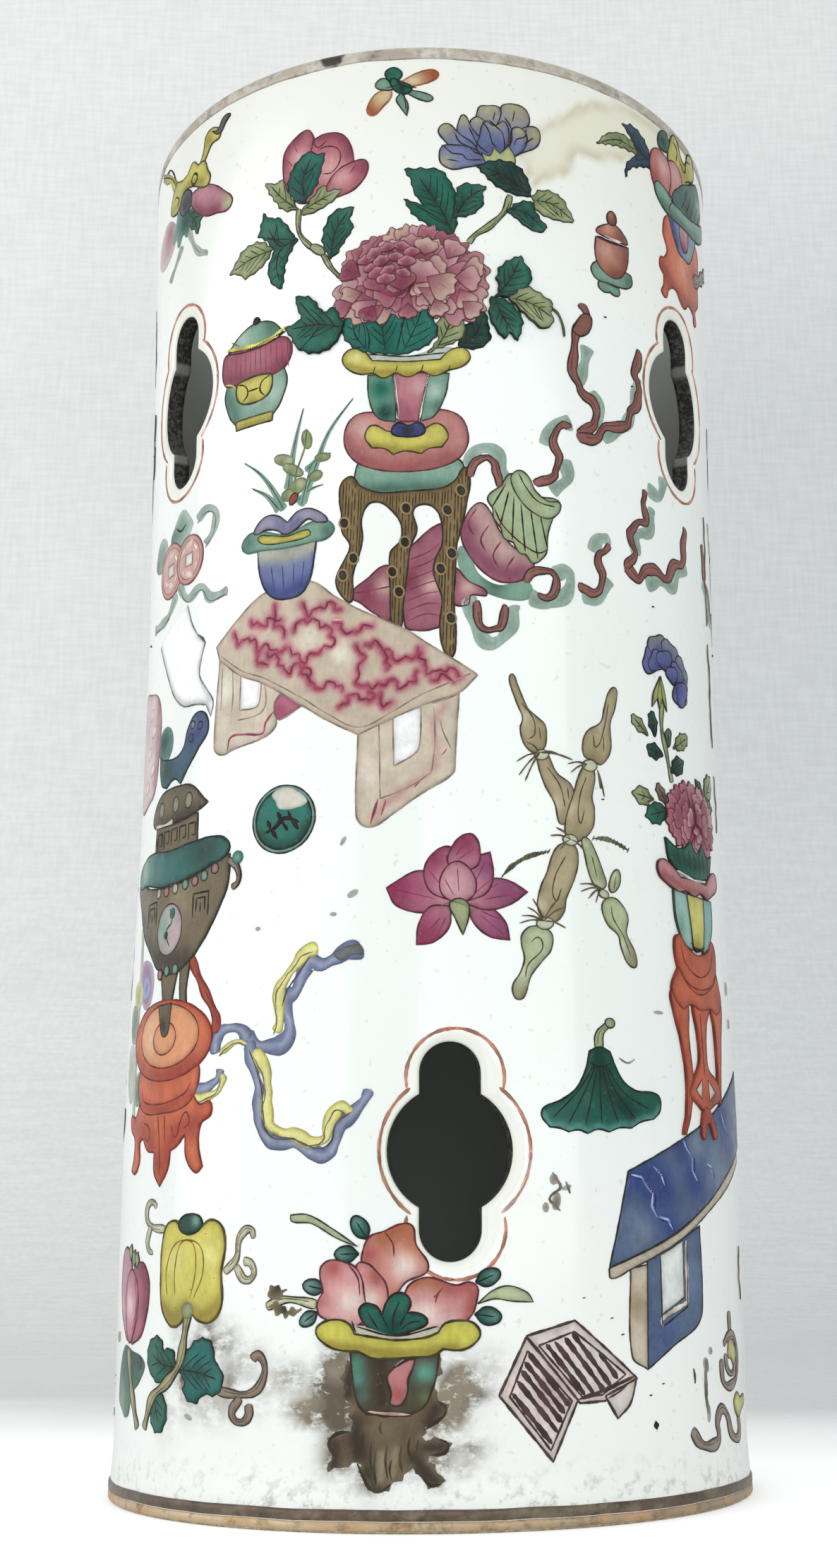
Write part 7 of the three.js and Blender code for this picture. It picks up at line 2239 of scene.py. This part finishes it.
def melon(p):
    vine(p,
         [(-55.6, 49.6), (-60, 50), (-62.6, 51.4), (-62.4, 54), (-60, 54.4), (-58.4, 53.2)],
         [(-61, 50), (-62.2, 47.2), (-60.6, 45.4), (-59.4, 46)],
         [(-38.6, 42), (-36, 44.4), (-35.4, 47.8), (-33.2, 49.4), (-32.4, 47.8)],
         [(-36, 43), (-34, 40.6), (-32.2, 41.6), (-33, 43.6), (-35, 43.8)])
    for path in ([(-39.6, 22), (-34, 21.6), (-31, 22.6), (-29.6, 26), (-31, 28.2), (-32.6, 27)],
                 [(-34.6, 21), (-36.4, 18.6), (-35, 17), (-32.8, 18), (-33, 20.6)]):
        p.ribbon(path, 1.3, (0.56, 0.50, 0.44), (0.42, 0.36, 0.31), (0.26, 0.21, 0.18))
    p.leaf([(-50.4, 25.4, 1), (-48, 28), (-45, 30.4), (-41.6, 30.2), (-40.4, 27), (-38.6, 24.6), (-39.6, 21.6),
            (-43, 21.4, 1), (-45.6, 19.8), (-48.4, 21.4), (-48, 23.4, 1)], [(-50, 25.2), (-45, 25), (-40, 24)],
           (0.12, 0.42, 0.40), DARK_TEAL, 4)
    p.leaf([(-50.6, 25.6, 1), (-52, 28.6), (-54.6, 28.4, 1), (-56.6, 30.7), (-60, 29.4), (-60.4, 26), (-58, 23.4),
            (-55, 22.8)], [(-51, 25.6), (-55, 26), (-58.6, 27.6)], pairs=3)
    p.leaf([(-58.4, 20, 1), (-58.8, 16.6), (-56.4, 14.2), (-53.8, 16), (-53.6, 19), (-55.6, 21)],
           [(-57.6, 20), (-56, 16)], pairs=2)
    p.ribbon([(-47.4, 36.6), (-48.6, 30.6), (-50, 26), (-54, 22.6), (-58.6, 20), (-60.2, 17), (-61.6, 14.2)], 1.7,
             (0.66, 0.64, 0.48), (0.45, 0.42, 0.30))
    p.shape([(-54.8, 50.2), (-52, 51), (-49.4, 49.4), (-45.4, 49.4), (-42.4, 51), (-39.6, 50), (-38.6, 46.6),
             (-39.4, 42), (-39.2, 36.4), (-41.6, 33.6), (-45, 33.8), (-47.6, 36, 1), (-50, 33), (-53, 32.8),
             (-55.8, 36), (-56.4, 41), (-56.2, 46.6)], (0.83, 0.79, 0.38),
            (DARK_YELLOW, [(-55, 36), (-52, 34), (-48, 36), (-44, 34.6), (-40, 36.4)], 1.6),
            ((0.90, 0.87, 0.52), -52, 44, 2.6), ((0.90, 0.87, 0.52), -42, 45, 2.4), edge=DARK_YELLOW, width=0.5,
            ink=(0.34, 0.28, 0.14))
    for x, wide in ((-48.6, 2.9), (-48.8, 5.2)):
        p.line([(x - wide, 38), (x - wide * 1.1, 42), (x - wide * 0.7, 46.4), (x, 47.6), (x + wide * 0.8, 46.4),
                (x + wide * 0.95, 42), (x + wide * 0.5, 37.4)], 0.34, (0.50, 0.42, 0.18))
    p.shape([(-51, 50.6), (-49, 52), (-45.4, 51.8), (-44.4, 50), (-47, 48.6), (-50, 49)], DARK_TEAL,
            (CELADON, -46, 51, 1.2))
    p.fill(oval(-47.8, 35.4, 1.7, 1.5), (0.60, 0.62, 0.50), edge=DARK_OLIVE)
    p.dots([(-43.4, 48.6), (-47, 39), (-51.4, 35.8), (-41, 41)], 0.5)


def pink_fruit(p):
    p.fill([(-77, 19), (-76, 25), (-73, 28.6), (-69, 28), (-62, 26), (-64, 22.6), (-68, 20), (-69.6, 16.4),
            (-72, 15.8, 1), (-74, 17)], (0.26, 0.43, 0.37), (DARK_TEAL, -69, 26, 4), ((0.50, 0.60, 0.54), -74, 19, 3),
           edge=(0.36, 0.48, 0.42), reach=0.6)
    p.fill(oval(-64.4, 25.8, 1.4), (0.2, 0.26, 0.25))
    p.ribbon([(-70.4, 28), (-68, 21), (-64.6, 14.6)], 1.8, (0.66, 0.64, 0.50), (0.45, 0.42, 0.32))
    rose = (0.74, 0.48, 0.56)
    p.shape([(-70.4, 30), (-75, 33), (-77.4, 38), (-77, 44), (-74.6, 46.4), (-71.4, 45.6), (-69.4, 41.6)],
            (0.72, 0.53, 0.60), (PALE_ROSE, -75.6, 36, 2.6), ink=ROSE_INK)
    p.shape([(-68.6, 29, 1), (-64, 30.6), (-61.4, 35), (-60.9, 40), (-63, 43.2), (-66, 43.6), (-68.8, 41.6),
             (-66.4, 36)], (0.66, 0.36, 0.46), (DEEP_ROSE, [(-62, 35), (-62, 40), (-65, 42.6)], 1.6), ink=ROSE_INK)
    p.shape([(-70.6, 29.4), (-72.8, 34), (-72.6, 40), (-69.6, 42.4), (-66.2, 39.6), (-66.2, 35), (-68.4, 30)], rose,
            ((0.92, 0.80, 0.83), -70.4, 36, 2.8), ink=ROSE_INK)
    for curve in ([(-68.4, 31.4), (-66.6, 36), (-67.8, 41)], [(-67.6, 30.6), (-65.4, 35.4), (-66.4, 40.6)]):
        p.line(curve, 0.3, ROSE_INK)
    for x, y in ((-70.6, 46), (-68.4, 45), (-66.8, 44.6)):
        p.shape([(x, y - 2, 1), (x - 1.2, y), (x + 0.2, y + 1, 1), (x + 1, y - 0.6)], OLIVE, width=0.28)


paint("yellow_melon", melon, BACK)
paint("pink_fruit", pink_fruit, BACK)


# The peaches heaped in a yellow dish, on a vase and a burl stand that are clouded with soot.
# Peach enamel shaded to red at the tips; the brown of the stand burnt and smeared in the kiln.
def peach_dish(p):
    peach, red, rust, white = (0.82, 0.58, 0.55), (0.66, 0.34, 0.33), (0.68, 0.40, 0.28), (0.92, 0.85, 0.82)
    soot, black = (0.40, 0.34, 0.26), (0.22, 0.18, 0.14)
    body = [(-14.1, 27.1), (-15.1, 24.6), (-14.4, 21.1), (-13.6, 18.6), (-13.8, 16.1), (-16.2, 15.6), (-17.5, 14.1),
            (-16.5, 12.1), (-17.8, 10.6), (-15.7, 10.1), (-12.5, 11.1), (-11.5, 9.1), (-10.4, 7.1), (-8.8, 6.4),
            (-6.7, 7.6), (-5.1, 8.6), (-3, 10.1), (-1.4, 8.6), (-0.4, 7.4), (1.7, 7.6), (1.7, 9.1), (0.2, 10.6),
            (-0.4, 12.1), (2.3, 12.6), (2.9, 14.1), (1.2, 15.1), (-0.9, 14.8), (-1.4, 16.1), (0.2, 17.1), (2.3, 18.6),
            (2.5, 20.1), (1.2, 21.1), (0.6, 23), (1.2, 28)]
    p.fill(ragged(body, 0.3, 4), soot, (black, [(-16.5, 14), (-16.6, 11)], 1.1), (black, [(-13, 17), (-12, 12.5)], 1.6),
           (black, [(-10.6, 9.5), (-9, 7.4)], 1.2), (black, [(-3, 12), (-1.2, 9.6), (0.6, 8.2)], 1),
           (black, [(1.6, 13.6), (-1, 13.6)], 0.9), (black, [(1, 20), (-0.6, 17.5)], 1.1),
           (black, [(-14, 26), (-14.2, 22)], 0.9), ((0.47, 0.43, 0.33), -8, 16.4, 2.2),
           ((0.58, 0.54, 0.45), [(-8.2, 12.4), (-8.6, 8.4)], 0.8), ((0.54, 0.50, 0.40), [(-6, 13.2), (-6.6, 9)], 0.7),
           edge=(0.50, 0.45, 0.37), reach=0.6)
    for path in ([(-13.8, 16.1), (-16.2, 15.6), (-17.5, 14.1), (-16.5, 12.1)],
                 [(-12.5, 11.1), (-11.5, 9.1), (-10.4, 7.3), (-8.8, 6.6), (-6.7, 7.8)],
                 [(-3, 10.3), (-1.4, 8.8), (-0.2, 7.6), (1.5, 7.8)],
                 [(-0.4, 12.3), (2.1, 12.7), (2.7, 14), (1.2, 14.9)],
                 [(-1.2, 16.3), (0.2, 17.3), (2.1, 18.7), (2.3, 20), (1, 20.9)]):
        p.line(path, 0.6, (0.24, 0.21, 0.16))
    for x, top, foot in ((-10, 14.6, 9.6), (-9.3, 13, 7.6), (-7.4, 14.2, 8.6), (-6.7, 11.6, 8.4), (-5, 14, 9.6),
                         (-3.6, 15.4, 11.6), (-11.4, 16, 12.4), (-2.2, 14.8, 11.4), (-8.4, 17.6, 15.6),
                         (-12.6, 14, 11.8)):
        p.line([(x, top), (x - 0.3, (top + foot) / 2), (x + 0.1, foot)], 0.42, (0.27, 0.24, 0.18))
    p.shape([(-13.9, 30, 1), (-13.2, 23.1), (-12.2, 20.1), (-10.9, 18.8, 1), (-3.6, 18.8, 1), (-1.2, 20.1), (0, 22.6),
             (0.8, 25.1), (1.4, 30, 1)], (0.29, 0.26, 0.21),
            ((0.32, 0.55, 0.49, 0.95), [(-12.8, 27), (-12.5, 24.4)], 1.5), ((0.30, 0.44, 0.37, 0.8), -11.6, 21.8, 1.2),
            ((0.38, 0.64, 0.57), -1, 25.4, 1.9), ((0.38, 0.40, 0.25), -1, 21.4, 1.6),
            (black, [(-8.6, 27), (-8.4, 21)], 1.2), edge=black, reach=0.5, ink=black, grain=0.5, width=0.4)
    p.shape([(-6.4, 26.3, 1), (-3.8, 27.7), (-2.8, 27.6, 1), (-3.2, 26.1), (-3.9, 24.6), (-4.1, 22.1), (-5.2, 20.3),
             (-6.9, 20.5), (-6.8, 22.1), (-7.5, 24.8)], (0.74, 0.49, 0.50), (red, -5.6, 22, 1.2),
            edge=(0.66, 0.42, 0.43), ink=black, width=0.44)
    p.line([(-6.2, 26.6), (-4.2, 27.9), (-2.6, 27.9)], 0.3, (0.80, 0.62, 0.62))
    p.line([(-10.9, 19.2), (-8, 18.9), (-3.4, 18.7)], 1.1, black)
    p.level += STROKE
    p.line([(-10.7, 19.3), (-8, 19), (-3.6, 18.8)], 0.55, (0.76, 0.63, 0.62))
    p.shape([(-25, 51.6, 1), (-21.8, 51.6), (-17.7, 49.5), (-12.7, 46.2, 1), (-16.4, 47.6), (-21, 50.1), (-24.8, 50.5)],
            (0.78, 0.83, 0.66), width=0.28)
    p.shape([(7.8, 36.6, 1), (10.3, 38.7), (13.2, 39.5), (16.5, 38.3), (17.5, 36.8, 1), (13.6, 37), (10.7, 37.4)],
            (0.78, 0.83, 0.66), (OLIVE, 9, 37, 2), width=0.28)
    p.ribbon([(-29.4, 36.2), (-26, 37.4), (-23, 37.2), (-20, 36.6)], 1.3, (0.80, 0.80, 0.68), DARK_OLIVE)
    for spot in ([(-28.9, 38.4), (-28.6, 39.6), (-27.2, 39.4), (-26, 38.9), (-26.6, 37.9), (-27.4, 37.4)],
                 [(-28.6, 36.3), (-27.4, 36.9), (-26, 35.9), (-24.4, 35.7), (-23, 35.9), (-23.6, 35.1), (-26.4, 34.9)]):
        p.fill(ragged(spot, 0.3, 2), (0.42, 0.37, 0.26), (black, *spot[2], 1), edge=(0.56, 0.51, 0.42), reach=0.4,
               grain=0.4)
    for a, b in (((-18.5, 39.1), (-22.5, 39.9)), ((-19.8, 35.3), (-22.9, 33.3)), ((-11, 47.4), (-13.5, 51.2)),
                 ((-12.5, 45), (-16.8, 44.9)), ((7.5, 40.1), (11.7, 41.8)), ((7.3, 34.9), (11.9, 34.3))):
        a, b = np.array(a), np.array(b)
        side, way = np.array((a[1] - b[1], b[0] - a[0])) * 0.3, b - a
        green = (0.16, 0.40, 0.36) if a[0] > 0 or a[1] > 44 else (0.30, 0.47, 0.44)
        p.shape([(*a, 1),
                 *map(tuple,
                      (a + way * 0.35 + side, a + way * 0.8 + side * 0.8, b, a + way * 0.8 - side * 0.8,
                       a + way * 0.35 - side))], green, (paler(green, 0.25), *(a + way * 0.7), 1),
                edge=darker(green, 0.55), width=0.34)
        p.line([tuple(a), tuple(a + way * 0.75)], 0.3)
    p.shape([(-4.1, 39.4), (-2.5, 40.6), (-0.4, 41), (1.8, 40.4), (4.2, 39.7), (6.4, 40.2), (7.8, 39.3), (7.6, 37.1),
             (7, 35.1), (5.4, 33.6), (1.7, 32.4), (-2, 32.6), (-3.8, 34.6), (-4.6, 37.1)], (0.88, 0.73, 0.71),
            (rust, [(-3.4, 40), (-0.4, 40.6), (2.4, 39.6)], 2), (red, [(3.6, 39.4), (7, 38.8), (6.8, 36)], 2.5),
            ((0.78, 0.52, 0.52, 0.7), [(-2, 37.6), (3, 36.4)], 1.8), (white, -1.4, 34.8, 2.2), edge=(0.70, 0.42, 0.40),
            reach=0.8, ink=ROSE_INK, width=0.34)
    for path in ([(2, 39.4), (1, 38.2), (0.6, 36.8)], [(1.2, 38.4), (0.3, 37.7)]):
        p.line(path, 0.42, (0.48, 0.20, 0.22))
    p.shape([(-11.8, 45.3), (-10.6, 47.8), (-8.1, 48.7), (-5.2, 49.9), (-3.3, 49.6), (-2.7, 46.6), (-0.6, 42.4),
             (-4.3, 40.3), (-7.3, 37.4), (-9.3, 40), (-11.8, 43)], (0.76, 0.50, 0.46),
            (rust, [(-8, 48), (-4.4, 49.2), (-2.4, 46)], 2.2), (white, -4.6, 42.8, 2.4), (red, -10.8, 45, 1.6),
            ink=ROSE_INK, width=0.34)
    p.shape([(-12.8, 43.2), (-11, 43.4), (-9.3, 42), (-7.7, 39.9), (-7.5, 36.4), (-9, 34), (-13, 34)], peach,
            (red, -9, 41.2, 1.8), (white, -10.6, 37.6, 1.6), ink=ROSE_INK, width=0.34)
    p.shape([(-19.3, 42.4), (-17.7, 43.9), (-14.8, 43.6), (-12.7, 42.4), (-11.6, 39.5), (-12, 33.5), (-18.9, 34.5),
             (-19.8, 36.6), (-18.7, 38.7, 1)], (0.84, 0.61, 0.61), (red, -17, 42.6, 1.8), (white, -13.8, 37, 2.2),
            (red + (0.5,), -19, 37, 1.4), ink=ROSE_INK, width=0.34)
    p.line([(-14.4, 43.4), (-12.6, 41), (-12.2, 38)], 0.3, ROSE_INK)
    p.line([(-8, 48.6), (-6.6, 46.6), (-6.4, 44.4)], 0.28, ROSE_INK)
    p.shape([(-10.1, 32.3), (-11.9, 34.2), (-12.3, 35.8), (-11.2, 36.8), (-9.3, 36.3), (-8.4, 34.9, 1), (-7.6, 37.1),
             (-6.2, 38.4), (-4.5, 38.3), (-3.5, 37), (-4.1, 35.2, 1), (-2.8, 35.3), (-1.2, 34.7), (-0.7, 33.6),
             (-2, 32.7), (-3.5, 32.2), (-6.2, 31.6), (-8.3, 31.8)], (0.09, 0.37, 0.31), (DARK_TEAL, -6.4, 33, 1.8),
            (TEAL, -5.2, 37, 1.2), edge=DARK_TEAL, reach=0.5, ink=INK, width=0.42)
    for path in ([(-9, 32.6), (-10, 34), (-11, 35.6)], [(-6.6, 32.2), (-6.4, 34.8), (-5.4, 37.2)],
                 [(-5, 32.6), (-3.6, 33.6), (-1.8, 33.9)], [(-8.4, 34.8), (-7.4, 32.8)], [(-4.3, 35.2), (-5.4, 33)]):
        p.line(path, 0.32)
    p.fill([(-13.4, 33.2), (-6, 31.6), (1, 33), (1, 31.2), (-6, 30.4), (-13, 31.2)], (0.75, 0.73, 0.66))
    p.shape([(-19.8, 31.6), (-19.8, 32.8), (-18.1, 33.9), (-15.6, 34.1), (-13.9, 33.3), (-13.1, 31.8, 1), (-9.3, 31.2),
             (-6, 30.8), (-1, 31.2), (1.1, 32, 1), (2.3, 33.5), (5.3, 33.9), (7.3, 33.3), (8.2, 31.6), (6.9, 29.9),
             (4.8, 29.1), (1.9, 29.3, 1), (0.3, 28.3), (-2.7, 28), (-7.3, 27.8), (-9.8, 27.8), (-12.3, 28.9, 1),
             (-16.4, 29.3), (-18.5, 30.3)], (0.82, 0.79, 0.35),
            (DARK_YELLOW, [(-18, 30), (-12, 29.4), (-6, 28.6), (4, 29.6)], 0.9), width=0.45)
    p.line([(-12.8, 33), (-6, 31.5), (1, 33)], 0.36)
    p.line([(-13.6, 34), (-12.8, 31.8)], 0.32)


paint("peach_dish", peach_dish, RIGHT, LEFT)


# Small grey marks where enamel has spat in the kiln, and the shaky edges of the pictures that
# turn out of sight on the right. Thin specks and threads, fused into the glaze.
def marks(p):
    grey, brown = (0.60, 0.61, 0.58), (0.40, 0.36, 0.31)
    for x, y, a, b, tilt in ((-16.4, 117.6, 1, 0.4, 60), (-14.4, 107.8, 1.2, 0.6, 30), (-18, 104.2, 0.7, 0.4, 0),
                             (-33.4, 102.6, 0.6, 0.4, 0), (22, 53.6, 1.6, 0.8, 80), (21.6, 57.4, 0.8, 1, 0),
                             (24, 56, 1, 0.4, 20), (20, 52.6, 0.6, 0.9, 0), (46, 88, 1.4, 0.3, 0),
                             (57.6, 25, 0.9, 1.4, 20), (57.4, 21, 0.4, 1.6, 10), (58.2, 16.6, 0.5, 1.6, 0),
                             (59.4, 27.4, 0.7, 0.7, 0), (-79, 30, 1.2, 1, 0), (-47, 17.4, 1, 0.4, 160),
                             (78, 96, 1, 1.4, 0), (78.6, 89, 0.8, 1, 0)):
        p.fill(oval(x, y, a, b, tilt, 7), blend(grey, brown, p.luck.uniform(0.2, 0.9)), edge=(0.78, 0.78, 0.75),
               reach=0.5, grain=0.5)
    for path in ([(75.6, 196), (76.4, 188), (75.8, 180), (76.6, 172)],
                 [(76.4, 168), (77.4, 160), (76.8, 152), (77.6, 146)], [(78, 140), (79, 134), (78.6, 128)],
                 [(21, 58.6), (22.4, 56), (20.6, 54), (22.6, 52)], [(23.4, 57), (24.6, 55)],
                 [(79, 46), (78, 40), (79.4, 36)], [(57.6, 26), (57.4, 21), (58.2, 16.4)], [(53, 24.6), (53.4, 22)]):
        shaky = [(x + p.luck.uniform(-0.5, 0.5), y) for x, y in spline(path, step=1.6).tolist()]
        p.line(shaky, p.luck.uniform(0.4, 0.9), blend(grey, brown, p.luck.uniform(0.5, 1)))


paint("kiln_marks", marks)


# The iron-red line round each opening, in brushed strokes that meet at the cusps. Thin enamel,
# painted freehand on the glaze round the bevel, and partly rubbed away.
LINE_ROUND, LINE_LOBE = 13.25, 8.65


def opening_line(p, up, first):
    """Four long strokes and four lobes, browner on the left and paler on the right."""
    red, brown, pale = (0.72, 0.50, 0.42), (0.62, 0.47, 0.38), (0.82, 0.66, 0.62)
    for k in range(4):
        stroke = []
        for i in range(15):
            t = i / 14
            if k % 2 == 0:
                a = math.radians((-50.6 if k == 0 else 129.4) - 3 + (101.2 + 7) * t)
                stroke.append((first + LINE_ROUND * math.cos(a), up + LINE_ROUND * math.sin(a)))
            else:
                a = math.radians((-14 if k == 1 else 166) + 206 * t)
                centre = 12.4 if k == 1 else -13.1
                stroke.append((first + LINE_LOBE * math.cos(a), up + centre + LINE_LOBE * math.sin(a)))
        half = len(stroke) // 2 + p.luck.randint(-2, 2)
        for part, colour in ((stroke[:half + 1], pale if k == 0 else red),
                             (stroke[half - 1:], brown if k == 2 else red)):
            p.line(part, 0.62, colour, ends=0.5)
            p.line([(x + 0.12, y + 0.1) for x, y in part[1:-1]], 0.28, blend(colour, brown, 0.5), ends=2)


def opening_lines():
    """One ring of strokes for each opening, in the place of the CAD's line."""
    for i, (facing, up, shift) in enumerate(OPENINGS):
        level = "lower" if i < 3 else "upper"
        picture = Picture(f"line {i}", from_front(facing))
        opening_line(picture, up, shift)
        piece = picture.finish(f"{level}_opening_line_{i % 3 + 1}")
        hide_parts(f"{level}_aperture_line_{i % 3 + 1}")


opening_lines()
